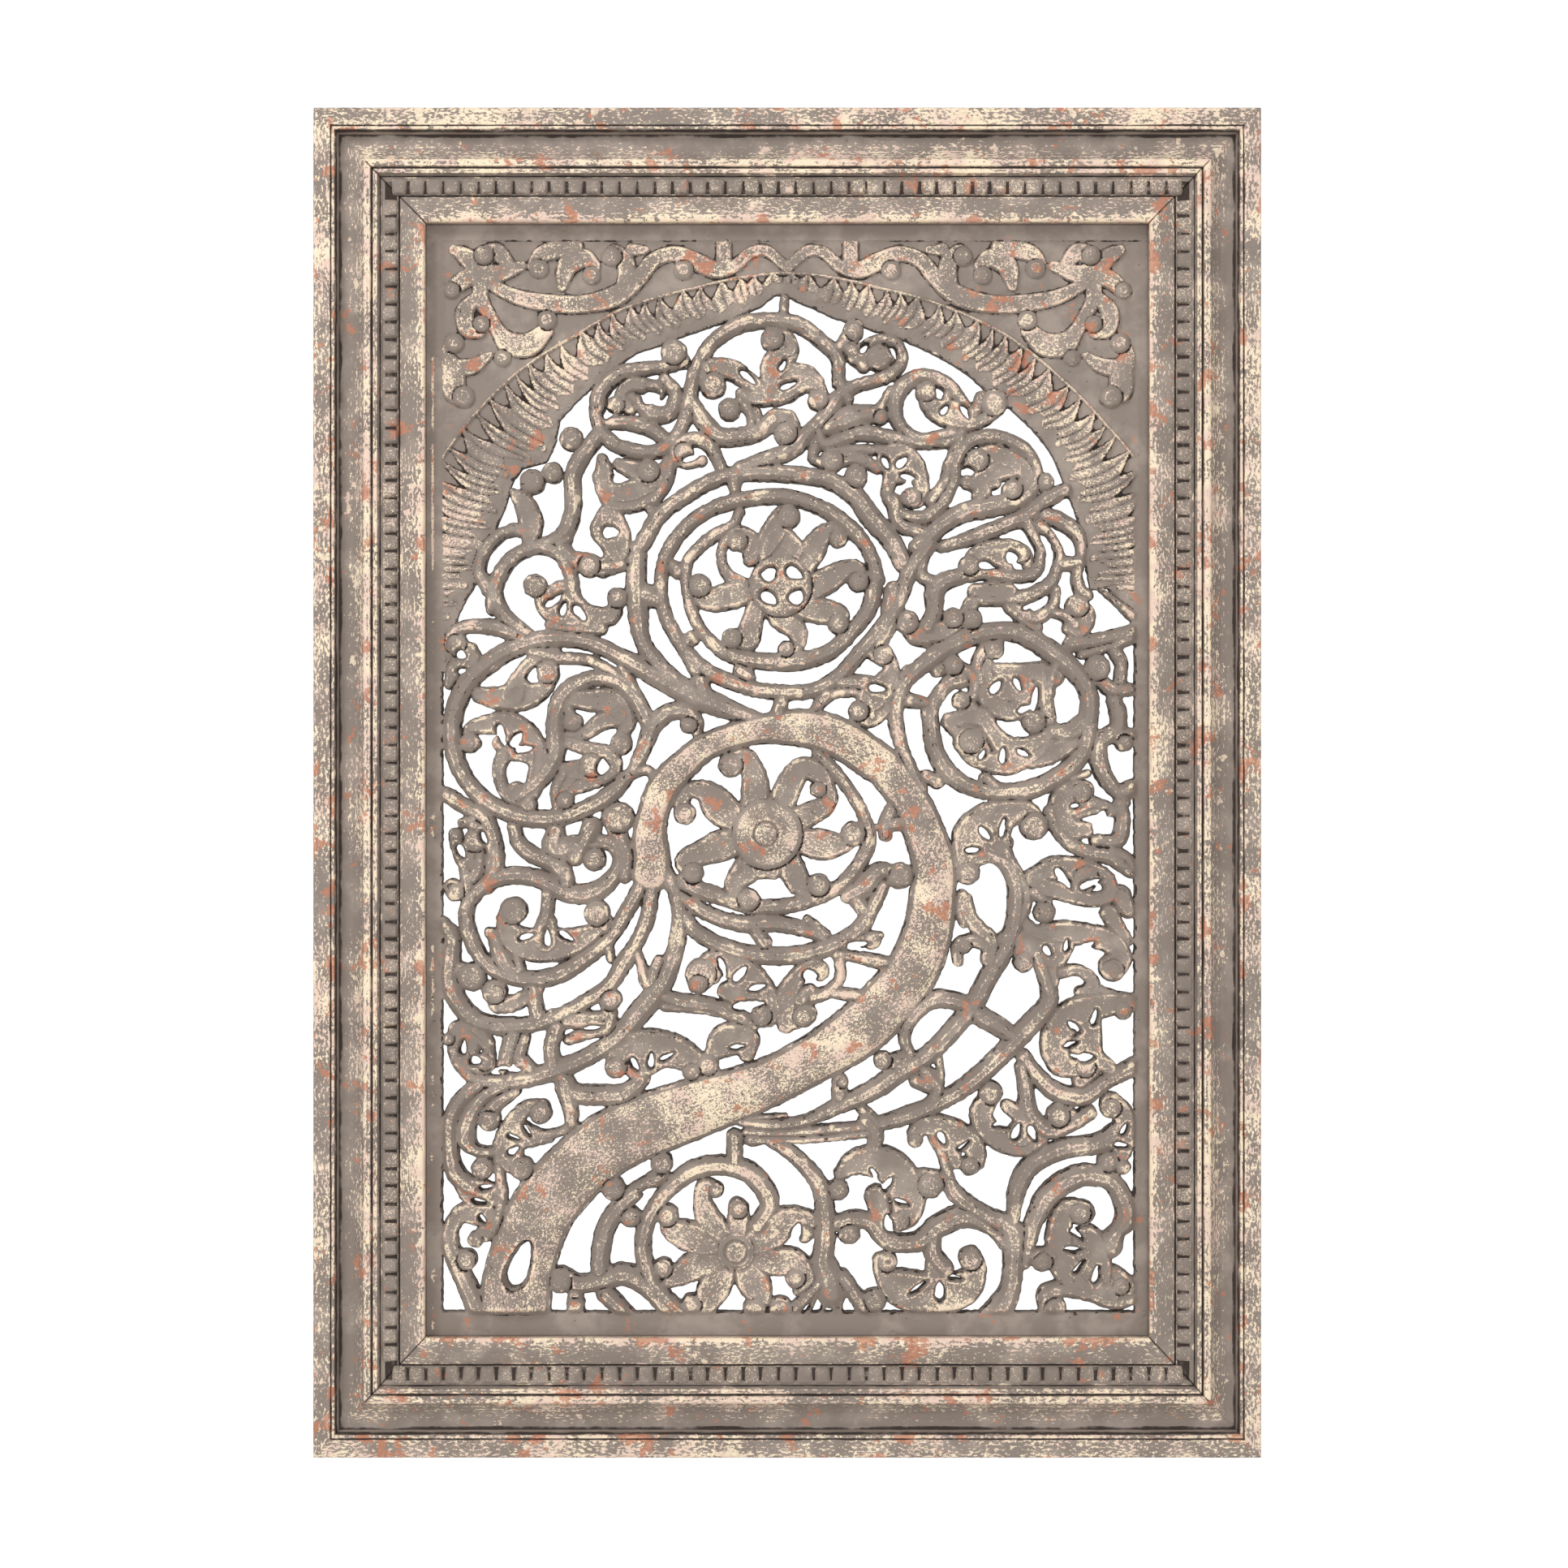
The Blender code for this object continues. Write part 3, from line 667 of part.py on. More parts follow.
class Board:
    """Field of the board over a grid of the plan, positive in the wood."""

    def __init__(self, step):
        self.step = step
        self.x0 = PLAN_LEFT - 3 * step
        self.z0 = PLAN_BOTTOM - 3 * step
        self.columns = int((PLAN_RIGHT - self.x0) / step) + 4
        self.rows = int((PLAN_TOP - self.z0) / step) + 4
        self.xs = self.x0 + np.arange(self.columns) * step
        self.zs = self.z0 + np.arange(self.rows) * step
        self.values = np.full((self.rows, self.columns), -9.0)

    def add_disc(self, x, z, radius):
        reach = radius + 4
        left = max(0, int((x - reach - self.x0) / self.step))
        right = min(self.columns, int((x + reach - self.x0) / self.step) + 2)
        low = max(0, int((z - reach - self.z0) / self.step))
        high = min(self.rows, int((z + reach - self.z0) / self.step) + 2)
        if right <= left or high <= low:
            return
        across = self.xs[None, left:right] - x
        along = self.zs[low:high, None] - z
        inside = radius - np.hypot(across, along)
        patch = self.values[low:high, left:right]
        self.values[low:high, left:right] = np.maximum(patch, inside)

    def add_stroke(self, points):
        for x, z, width in smooth_path(points, 1.6):
            self.add_disc(x, z, max(width, 2.4) / 2)

    def cut_slot(self, x, z, length, width, angle):
        turn = math.radians(angle)
        across = self.xs[None, :] - x
        along = self.zs[:, None] - z
        u = across * math.cos(turn) + along * math.sin(turn)
        v = along * math.cos(turn) - across * math.sin(turn)
        share = np.clip(2 * u / length, -1, 1)
        half = width / 2 * np.sqrt(1 - share * share) * (1 - 0.35 * share)
        depth = np.minimum(half - np.abs(v), length / 2 - np.abs(u))
        self.values = np.minimum(self.values, -depth)

    def soften(self):
        padded = np.pad(self.values, 1, mode="edge")
        total = 4 * padded[1:-1, 1:-1]
        total = total + 2 * (padded[:-2, 1:-1] + padded[2:, 1:-1] + padded[1:-1, :-2] + padded[1:-1, 2:])
        total = total + padded[:-2, :-2] + padded[2:, 2:] + padded[:-2, 2:] + padded[2:, :-2]
        self.values = total / 16

    def at(self, x, z):
        column = min(self.columns - 1, max(0, int(round((x - self.x0) / self.step))))
        row = min(self.rows - 1, max(0, int(round((z - self.z0) / self.step))))
        return float(self.values[row, column])

    def loops(self, level):
        """Closed outlines of the field at one level, as lists of plan points."""
        grid = self.values - level
        solid = grid > 0
        links = {}
        mixed = solid[:-1, :-1].astype(int) + solid[:-1, 1:] + solid[1:, :-1] + solid[1:, 1:]
        for row, column in zip(*np.nonzero((mixed > 0) & (mixed < 4))):
            corners = [(row, column), (row, column + 1), (row + 1, column + 1), (row + 1, column)]
            crossed = []
            for k in range(4):
                first, second = corners[k], corners[(k + 1) % 4]
                if solid[first] != solid[second]:
                    crossed.append((min(first, second), max(first, second)))
            if len(crossed) == 4:
                middle = sum(grid[c] for c in corners)
                if (middle > 0) != solid[corners[0]]:
                    crossed = [crossed[1], crossed[0], crossed[3], crossed[2]]
                    pairs = [(crossed[0], crossed[3]), (crossed[1], crossed[2])]
                    pairs = [(crossed[1], crossed[2]), (crossed[0], crossed[3])]
                else:
                    pairs = [(crossed[0], crossed[1]), (crossed[2], crossed[3])]
            else:
                pairs = [(crossed[0], crossed[1])]
            for one, other in pairs:
                links.setdefault(one, []).append(other)
                links.setdefault(other, []).append(one)
        loops = []
        seen = set()
        for start in links:
            if start in seen:
                continue
            chain = [start]
            seen.add(start)
            here = start
            while True:
                ahead = [key for key in links[here] if key not in seen]
                if not ahead:
                    break
                here = ahead[0]
                seen.add(here)
                chain.append(here)
            loops.append([self.crossing(grid, key) for key in chain])
        return loops

    def crossing(self, grid, key):
        (r0, c0), (r1, c1) = key
        share = grid[r0, c0] / (grid[r0, c0] - grid[r1, c1])
        row = r0 + (r1 - r0) * share
        column = c0 + (c1 - c0) * share
        return (self.x0 + column * self.step, self.z0 + row * self.step)


def loop_area(loop):
    total = 0.0
    for (x0, z0), (x1, z1) in zip(loop, loop[1:] + loop[:1]):
        total += x0 * z1 - x1 * z0
    return total / 2


def distance_to_chord(point, start, stop):
    dx = stop[0] - start[0]
    dz = stop[1] - start[1]
    length = math.hypot(dx, dz)
    if length < 1e-9:
        return math.hypot(point[0] - start[0], point[1] - start[1])
    return abs(dx * (point[1] - start[1]) - dz * (point[0] - start[0])) / length


def simplify_chain(chain, tolerance):
    keep = {0, len(chain) - 1}
    spans = [(0, len(chain) - 1)]
    while spans:
        first, last = spans.pop()
        worst, where = 0.0, -1
        for i in range(first + 1, last):
            gap = distance_to_chord(chain[i], chain[first], chain[last])
            if gap > worst:
                worst, where = gap, i
        if worst > tolerance:
            keep.add(where)
            spans.append((first, where))
            spans.append((where, last))
    return [chain[i] for i in sorted(keep)]


def simplify_loop(loop, tolerance):
    far = max(range(len(loop)), key=lambda i: math.dist(loop[0], loop[i]))
    first = simplify_chain(loop[:far + 1], tolerance)
    second = simplify_chain(loop[far:] + loop[:1], tolerance)
    return first[:-1] + second[:-1]


def arch_edge(line, x):
    return float(np.interp(x, [p[0] for p in line], [p[1] for p in line]))


def make_board():
    board = Board(GRID_STEP)
    for stroke in TRUNK + STROKES + BLADES:
        board.add_stroke(stroke)
    for x, z, radius in BOSSES:
        board.add_disc(x, z, radius)
    xs = board.xs[None, :]
    zs = board.zs[:, None]
    inner = np.interp(board.xs, [p[0] for p in ARCH_INNER], [p[1] for p in ARCH_INNER])[None, :]
    board.values = np.maximum(board.values, np.clip((zs - inner) * 0.75, -6, 6))
    board.values = np.maximum(board.values, np.clip(MARGIN_LEFT - xs, -6, 6) + 0 * zs)
    board.values = np.maximum(board.values, np.clip(xs - MARGIN_RIGHT, -6, 6) + 0 * zs)
    board.values = np.maximum(board.values, np.clip(MARGIN_BOTTOM - zs, -6, 6) + 0 * xs)
    board.soften()
    for slot in SLOTS:
        if slot[2] * slot[3] * 0.7 > SMALLEST_HOLE:
            board.cut_slot(*slot)
    return board


def make_relief():
    """Field of the raised work in the spandrels, positive on the raised work."""
    relief = Board(GRID_STEP)
    for stroke in SPANDREL_STROKES:
        relief.add_stroke(stroke)
        relief.add_stroke([(2 * PLAN_AXIS - x, z, w) for x, z, w in stroke])
    for x, z, radius in SPANDREL_BOSSES:
        relief.add_disc(x, z, radius)
        relief.add_disc(2 * PLAN_AXIS - x, z, radius)
    xs = relief.xs[None, :]
    zs = relief.zs[:, None]
    outer = np.interp(relief.xs, [p[0] for p in ARCH_OUTER], [p[1] for p in ARCH_OUTER])[None, :]
    relief.values = np.minimum(relief.values, zs - outer - 4)
    relief.values = np.minimum(relief.values, 824 - zs)
    relief.values = np.minimum(relief.values, np.minimum(xs - 4, 530 - xs))
    return relief


class Net:
    """Points and fixed edges to be triangulated, each with a height."""

    def __init__(self, board):
        self.board = board
        self.points = []
        self.heights = []
        self.edges = []
        self.ridges = []

    def add_point(self, x, z, height):
        self.points.append((x, z))
        self.heights.append(height)
        return len(self.points) - 1

    def add_loop(self, loop, height_of):
        start = len(self.points)
        for x, z in loop:
            self.add_point(x, z, height_of(x, z))
        for i in range(len(loop)):
            self.edges.append((start + i, start + (i + 1) % len(loop)))

    def clear_of_edges(self, start, stop, clearance):
        for k in range(9):
            share = k / 8
            x = start[0] + (stop[0] - start[0]) * share
            z = start[1] + (stop[1] - start[1]) * share
            if self.board.at(x, z) < clearance:
                return False
        return True

    def near_ridge(self, x, z, reach):
        for index in self.ridges:
            px, pz = self.points[index]
            if abs(px - x) < reach and abs(pz - z) < reach and math.hypot(px - x, pz - z) < reach:
                return index
        return -1

    def add_ridge(self, path, height, reach=6.5):
        last = -1
        for x, z in path:
            if self.board.at(x, z) < RIDGE_CLEARANCE or on_margin(x, z):
                last = -1
                continue
            index = self.near_ridge(x, z, reach)
            if index < 0:
                index = self.add_point(x, z, height)
                self.ridges.append(index)
            if last >= 0 and last != index:
                if self.clear_of_edges(self.points[last], self.points[index], 2.0):
                    self.edges.append((last, index))
            last = index


def sample_stroke(stroke, spacing, offset=0.0):
    fine = smooth_path(stroke, 2.0)
    path = []
    travelled = spacing
    for i in range(len(fine)):
        if i:
            travelled += math.hypot(fine[i][0] - fine[i - 1][0], fine[i][1] - fine[i - 1][1])
        if travelled >= spacing:
            j = min(i + 1, len(fine) - 1)
            k = max(j - 1, 0)
            dx = fine[j][0] - fine[k][0]
            dz = fine[j][1] - fine[k][1]
            size = math.hypot(dx, dz) or 1.0
            shift = offset * fine[i][2]
            path.append((fine[i][0] - dz / size * shift, fine[i][1] + dx / size * shift))
            travelled = 0.0
    return path


def on_margin(x, z):
    return x < MARGIN_LEFT + 2 or x > MARGIN_RIGHT - 2 or z < MARGIN_BOTTOM + 2


def edge_height(x, z):
    if on_margin(x, z):
        return MARGIN_HEIGHT
    if z > arch_edge(ARCH_INNER, x) - 3:
        return TONGUE_VALLEY_HEIGHT
    return EDGE_HEIGHT


def walk(line, share):
    lengths = [math.dist(a, b) for a, b in zip(line, line[1:])]
    target = share * sum(lengths)
    for length, start, stop in zip(lengths, line, line[1:]):
        if target <= length:
            t = target / length
            return (start[0] + (stop[0] - start[0]) * t, start[1] + (stop[1] - start[1]) * t)
        target -= length
    return line[-1]


def offset_line(line, distance):
    moved = []
    for i, (x, z) in enumerate(line):
        before = line[max(i - 1, 0)]
        after = line[min(i + 1, len(line) - 1)]
        dx = after[0] - before[0]
        dz = after[1] - before[1]
        size = math.hypot(dx, dz)
        moved.append((x - dz / size * distance, z + dx / size * distance))
    return moved


def add_polyline(net, line, height):
    last = -1
    for x, z in line:
        index = net.add_point(x, z, height)
        if last >= 0:
            net.edges.append((last, index))
        last = index


def add_arch(net):
    add_polyline(net, offset_line(ARCH_OUTER, 3.5), GROUND_HEIGHT)
    add_polyline(net, ARCH_OUTER, ARCH_FILLET_HEIGHT)
    add_polyline(net, offset_line(ARCH_OUTER, -4.0), TONGUE_VALLEY_HEIGHT)
    length = sum(math.dist(a, b) for a, b in zip(ARCH_OUTER, ARCH_OUTER[1:]))
    count = int(length / TONGUE_PITCH)
    inner = ARCH_INNER[1:-5]
    for k in range(2 * count + 1):
        share = 0.02 + 0.96 * k / (2 * count)
        top = walk(ARCH_OUTER, share)
        foot = walk(inner, share)
        height = TONGUE_HEIGHT if k % 2 else TONGUE_VALLEY_HEIGHT
        span = math.dist(top, foot)
        near = min(0.4, 9.0 / span)
        far = 1 - min(0.4, 6.0 / span)
        start = (top[0] + (foot[0] - top[0]) * near, top[1] + (foot[1] - top[1]) * near)
        stop = (top[0] + (foot[0] - top[0]) * far, top[1] + (foot[1] - top[1]) * far)
        if net.clear_of_edges(start, stop, 1.5):
            first = net.add_point(start[0], start[1], height)
            second = net.add_point(stop[0], stop[1], height)
            net.edges.append((first, second))


def add_spandrels(net, relief):
    for loop in relief.loops(0.0):
        if abs(loop_area(loop)) > 40:
            net.add_loop(simplify_loop(loop, 1.6), lambda x, z: GROUND_HEIGHT)
    keep_board = net.board
    net.board = relief
    for stroke in SPANDREL_STROKES:
        for mirrored in (False, True):
            side = [(2 * PLAN_AXIS - x if mirrored else x, z, w) for x, z, w in stroke]
            net.add_ridge(sample_stroke(side, 14.0), RELIEF_HEIGHT)
    net.board = keep_board


def inside_loops(x, z, starts, stops):
    low = starts[:, 1] <= z
    high = stops[:, 1] <= z
    span = stops[:, 1] - starts[:, 1]
    span = np.where(span == 0, 1.0, span)
    at = starts[:, 0] + (z - starts[:, 1]) / span * (stops[:, 0] - starts[:, 0])
    return int(np.count_nonzero((low != high) & (at > x))) % 2 == 1


def triangulate(points, edges, starts, stops):
    result = delaunay_2d_cdt([Vector(p) for p in points], edges, [], 0, 1e-6)
    places, faces, sources = result[0], result[2], result[3]
    kept = []
    for face in faces:
        x = sum(places[i][0] for i in face) / len(face)
        z = sum(places[i][1] for i in face) / len(face)
        if inside_loops(x, z, starts, stops):
            kept.append(tuple(face))
    return places, kept, sources


def make_object(name, mesh_data, material, collection):
    mesh = bpy.data.meshes.new(name)
    mesh_data.to_mesh(mesh)
    mesh_data.free()
    item = bpy.data.objects.new(name, mesh)
    mesh.materials.append(material)
    collection.objects.link(item)
    return item


def carved_panel(material, collection):
    board = make_board()
    net = Net(board)
    margin = (REBATE_WIDTH - FIT_GAP)
    left = PLAN_LEFT - margin / SCALE_X
    right = PLAN_RIGHT + margin / SCALE_X
    low = PLAN_BOTTOM - margin / SCALE_Z
    high = PLAN_TOP + margin / SCALE_Z
    net.add_loop([(left, low), (right, low), (right, high), (left, high)], lambda x, z: MARGIN_HEIGHT)
    for loop in board.loops(0.0):
        xs = [p[0] for p in loop]
        if max(xs) - min(xs) > 500:
            continue
        if abs(loop_area(loop)) > SMALLEST_HOLE:
            net.add_loop(simplify_loop(loop, OUTLINE_TOLERANCE), edge_height)
    outline_points = len(net.points)
    outline_edges = list(net.edges)
    starts = np.array([net.points[a] for a, b in outline_edges])
    stops = np.array([net.points[b] for a, b in outline_edges])
    for x, z, radius in BOSSES:
        if radius > 7 and board.at(x, z) > 4:
            if net.near_ridge(x, z, 6.5) < 0:
                net.ridges.append(net.add_point(x, z, BOSS_HEIGHT))
    for stroke in TRUNK:
        net.add_ridge(sample_stroke(stroke, 20.0), TRUNK_HEIGHT)
        net.add_ridge(sample_stroke(stroke, 22.0, 0.30), TRUNK_SHOULDER_HEIGHT)
        net.add_ridge(sample_stroke(stroke, 22.0, -0.30), TRUNK_SHOULDER_HEIGHT)
    for stroke in STROKES:
        net.add_ridge(sample_stroke(stroke, RIDGE_SPACING), STEM_HEIGHT)
    for stroke in BLADES:
        net.add_ridge(sample_stroke(stroke, RIDGE_SPACING), LEAF_HEIGHT)
    ground = [(MARGIN_LEFT, 668), (MARGIN_LEFT, MARGIN_TOP - 3), (MARGIN_RIGHT - 2, MARGIN_TOP - 3),
              (MARGIN_RIGHT - 2, 672)]
    add_polyline(net, ground, GROUND_HEIGHT)
    inset = [(MARGIN_LEFT - 3, MARGIN_BOTTOM - 2.5), (MARGIN_RIGHT + 3, MARGIN_BOTTOM - 2.5),
             (MARGIN_RIGHT + 3, MARGIN_TOP), (MARGIN_LEFT - 3, MARGIN_TOP)]
    net.add_loop(inset, lambda x, z: MARGIN_HEIGHT)
    add_arch(net)
    add_spandrels(net, make_relief())
    places, faces, sources = triangulate(net.points, net.edges, starts, stops)
    heights = []
    for index, came_from in enumerate(sources):
        if came_from:
            heights.append(max(net.heights[i] for i in came_from))
        else:
            heights.append(STEM_HEIGHT if places[index][1] < arch_edge(ARCH_INNER, places[index][0]) else
                           TONGUE_VALLEY_HEIGHT)
    back_places, back_faces, back_sources = triangulate(net.points[:outline_points], outline_edges, starts, stops)
    mesh = bmesh.new()
    front = [mesh.verts.new((plan_to_x(p[0]), -h, plan_to_z(p[1]))) for p, h in zip(places, heights)]
    back_of = {}
    for index, came_from in enumerate(back_sources):
        place = back_places[index]
        vertex = mesh.verts.new((plan_to_x(place[0]), -BOARD_BACK, plan_to_z(place[1])))
        for source in came_from:
            back_of[source] = vertex
        back_of[("out", index)] = vertex
    front_of = {}
    for index, came_from in enumerate(sources):
        for source in came_from:
            front_of[source] = front[index]
    for face in faces:
        mesh.faces.new([front[i] for i in face])
    for face in back_faces:
        mesh.faces.new([back_of[("out", i)] for i in reversed(face)])
    for a, b in outline_edges:
        mesh.faces.new([front_of[a], front_of[b], back_of[b], back_of[a]])
    loose = [v for v in mesh.verts if not v.link_faces]
    bmesh.ops.delete(mesh, geom=loose, context="VERTS")
    bmesh.ops.recalc_face_normals(mesh, faces=mesh.faces)
    bmesh.ops.triangulate(mesh, faces=[f for f in mesh.faces if len(f.verts) > 3])
    return make_object("carved_panel", mesh, material, collection)


def rail(name, length, width, start_width, end_width, place, material, collection):
    """One mitred rail, run along s from 0 to length, u from its outer edge inwards."""
    mesh = bmesh.new()
    gap = FIT_GAP * 0.7

    def point(s, share, height):
        return mesh.verts.new(place(s, share * width, height))

    def ends(share, height):
        first = share * start_width + gap
        last = length - share * end_width - gap
        return point(first, share, height), point(last, share, height)

    rebate = 1 - REBATE_WIDTH / width
    outer = [(share, height * RAIL_DEPTH) for share, height in SECTION_OUTER]
    inner = [(share, height * RAIL_DEPTH) for share, height in SECTION_INNER]
    inner = inner + [(1.0, REBATE_DEPTH), (rebate, REBATE_DEPTH), (rebate, 0.0)]
    bead_start, bead_end, base_share = SECTION_BEAD
    base = base_share * RAIL_DEPTH
    top = base + BEAD_RISE
    lines = [ends(share, height) for share, height in outer]
    first_foot = ends(bead_start, base)
    last_foot = ends(bead_end, base)
    stations = []
    clear = bead_end * max(start_width, end_width) + BEAD_PITCH / 2
    count = int((length - 2 * clear) / BEAD_PITCH)
    middle = length / 2
    for k in range(count + 1):
        s = middle + (k - count / 2) * BEAD_PITCH
        stations += [(s - BEAD_NOTCH / 2, top), (s, base + 0.0006), (s + BEAD_NOTCH / 2, top)]
    bead_lines = []
    for share in (bead_start, bead_end):
        head, tail = ends(share, top)
        bead_lines.append([head] + [point(s, share, h) for s, h in stations] + [tail])
    tail_lines = [ends(share, height) for share, height in inner]
    order = lines + [first_foot]
    for one, other in zip(order, order[1:]):
        mesh.faces.new([one[0], one[1], other[1], other[0]])
    mesh.faces.new([first_foot[0], first_foot[1]] + list(reversed(bead_lines[0])))
    for k in range(len(bead_lines[0]) - 1):
        mesh.faces.new([bead_lines[0][k], bead_lines[0][k + 1], bead_lines[1][k + 1], bead_lines[1][k]])
    mesh.faces.new(bead_lines[1] + [last_foot[1], last_foot[0]])
    order = [last_foot] + tail_lines + [lines[0]]
    for one, other in zip(order, order[1:]):
        mesh.faces.new([one[0], one[1], other[1], other[0]])
    ring = lines + [first_foot, (bead_lines[0][0], bead_lines[0][-1]), (bead_lines[1][0], bead_lines[1][-1]),
                    last_foot] + tail_lines
    mesh.faces.new([pair[0] for pair in ring])
    mesh.faces.new([pair[1] for pair in reversed(ring)])
    bmesh.ops.recalc_face_normals(mesh, faces=mesh.faces)
    bmesh.ops.triangulate(mesh, faces=mesh.faces, ngon_method="EAR_CLIP")
    return make_object(name, mesh, material, collection)


def make_rails(material, collection):
    half = FRAME_WIDTH / 2

    def top_place(s, u, height):
        return (s - half, -height, FRAME_TOP - u)

    def bottom_place(s, u, height):
        return (s - half, -height, FRAME_FOOT + u)

    def left_place(s, u, height):
        return (u - half, -height, FRAME_FOOT + s)

    def right_place(s, u, height):
        return (half - u, -height, FRAME_FOOT + s)

    side, top, foot = SIDE_RAIL_WIDTH, TOP_RAIL_WIDTH, BOTTOM_RAIL_WIDTH
    rail("top_rail", FRAME_WIDTH, top, side, side, top_place, material, collection)
    rail("bottom_rail", FRAME_WIDTH, foot, side, side, bottom_place, material, collection)
    rail("left_rail", FRAME_HEIGHT, side, foot, top, left_place, material, collection)
    rail("right_rail", FRAME_HEIGHT, side, foot, top, right_place, material, collection)


def make_material(name, colour, roughness):
    material = bpy.data.materials.new(name)
    material.use_nodes = True
    shader = material.node_tree.nodes["Principled BSDF"]
    shader.inputs["Base Color"].default_value = (*colour, 1.0)
    shader.inputs["Roughness"].default_value = roughness
    material.diffuse_color = (*colour, 1.0)
    return material


def main():
    clear_scene()
    collection = bpy.data.collections.new("carved_wall_panel")
    bpy.context.scene.collection.children.link(collection)
    panel_paint = make_material("painted_carving", (0.33, 0.28, 0.23), 0.75)
    rail_paint = make_material("painted_moulding", (0.40, 0.33, 0.26), 0.75)
    carved_panel(panel_paint, collection)
    make_rails(rail_paint, collection)


main()
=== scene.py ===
"""The looks of a carved and pierced wall panel in a mitred moulding frame.

The carving is one height field over the carver's plan, cut through where the
background shows, and the frame is four swept mouldings with a bead course.
Worn paint, with painted shade in its crevices and openings, is laid over both. Lengths are in metres
unless a name says plan, which is the carver's plan in units of about a millimetre.
"""

import logging
import math
from dataclasses import dataclass
from enum import Enum

import bpy
import numpy as np
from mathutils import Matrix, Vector


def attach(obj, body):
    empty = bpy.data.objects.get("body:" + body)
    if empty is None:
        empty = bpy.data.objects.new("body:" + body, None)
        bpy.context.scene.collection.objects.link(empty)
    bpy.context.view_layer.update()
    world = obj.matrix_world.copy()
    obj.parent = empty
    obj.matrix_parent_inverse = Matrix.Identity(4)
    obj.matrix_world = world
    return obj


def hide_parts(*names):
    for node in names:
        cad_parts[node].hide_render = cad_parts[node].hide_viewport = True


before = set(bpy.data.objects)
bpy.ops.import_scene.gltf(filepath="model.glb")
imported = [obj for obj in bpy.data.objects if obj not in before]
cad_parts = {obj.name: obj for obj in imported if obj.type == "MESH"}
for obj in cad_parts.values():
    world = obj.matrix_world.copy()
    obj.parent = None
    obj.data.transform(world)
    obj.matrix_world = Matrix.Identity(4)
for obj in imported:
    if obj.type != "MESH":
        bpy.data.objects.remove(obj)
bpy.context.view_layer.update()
LOG = logging.getLogger("wall_panel")

Place = tuple[float, float, float]
Row = tuple[float, ...]
Stroke = list[Row]


def plan_points(text: str) -> Stroke:
    """Reads plan points, which commas part."""
    return [tuple(float(number) for number in point.split()) for point in text.split(",")]


def plan_strokes(text: str) -> list[Stroke]:
    """Reads strokes, which semicolons part, each a run of plan points."""
    return [plan_points(stroke) for stroke in text.split(";")]


# The carver's plan, in its own units. A stroke's points are x, z and width from tip
# to tip, a boss is x, z and radius, a slot is x, z, length, width and angle.
TRUNK = plan_strokes("""
62 12 58, 65 30 54, 67 48 53, 75 77 51, 88 104 50, 113 132 49, 145 155 49, 195 174 46, 247 192 38, 285 211 37,
322 235 42, 355 270 41, 370 302 38, 375 334 35, 376 356 33, 370 376 32, 360 400 30, 342 425 30, 332 433 31,
308 449 31, 283 457 30, 250 457 23, 225 451 21, 206 443 21, 191 431 23, 176 415 25, 168 396 24, 165 378 26,
166 362 29, 166 350 30""")
STEMS_FOOT = plan_strokes("""
15 74 12, 25 53 14, 35 32 17, 42 18 20; 99 49 18, 113 45 14, 130 48 15, 145 52 17, 158 47 16, 172 33 13,
183 18 14; 110 38 12, 110 20 14; 132 38 14, 142 28 13, 152 16 14; 128 55 14, 129 72 15, 134 90 15, 145 105 14,
158 116 13, 174 126 12; 62 196 12, 42 184 12, 31 168 14, 29 152 14, 37 144 9, 50 143 8; 44 171 13, 53 180 12,
66 188 8; 38 193 12, 24 181 12, 17 166 12, 17 145 12, 20 129 14, 30 118 14, 46 112 12; 52 150 8, 54 126 8,
55 108 9, 50 88 11, 44 80 7; 196 16 12, 178 34 11, 166 48 12, 160 70 13, 163 90 13, 176 112 13, 195 128 15,
215 133 15, 236 129 16, 249 117 16, 254 103 15, 245 88 14; 228 154 13, 228 134 12; 252 152 8, 264 146 11,
280 133 12, 292 116 14, 295 98 16, 295 78 16, 293 62 17; 293 62 18, 298 50 22, 300 38 22; 290 45 10, 278 32 9,
268 22 9; 308 50 12, 318 36 12, 330 20 16; 290 40 3.5, 280 18 3.5; 296 40 3.5, 292 18 3.5; 302 40 3.5,
302 18 3.5; 307 40 3.5, 307 18 3.5""")
LEAVES_FOOT = plan_strokes("""
30 62 13, 19 68 13, 17 84 13, 25 97 14, 40 98 20, 50 96 10; 36 78 10, 44 88 10, 47 98 12; 26 118 12, 36 113 22,
50 110 16; 85 176 12, 73 175 12, 63 163 15, 60 150 22, 62 138 20, 68 132 14; 64 162 16, 82 156 9, 96 157 7,
106 163 8, 107 180 11; 72 152 14, 92 152 4""")
BOSSES_FOOT = plan_points("""
29 63 8, 36 78 6, 41 131 8.5, 46 167 8.5, 84 172 8.5, 70 131 9, 99 47 9, 110 30 7, 138 116 9, 151 95 8,
174 135 8.5""")
SLOTS_FOOT = plan_points("""
69 60 36 14 70, 44 117 11 4 8, 40 106.5 13 3.2 -10, 41 93 9 4 -60, 74 159 11 3 -60, 65 154 11 3 -20,
64 144 11 5 35, 164 114 12 4 25, 28 84 12 8 60""")
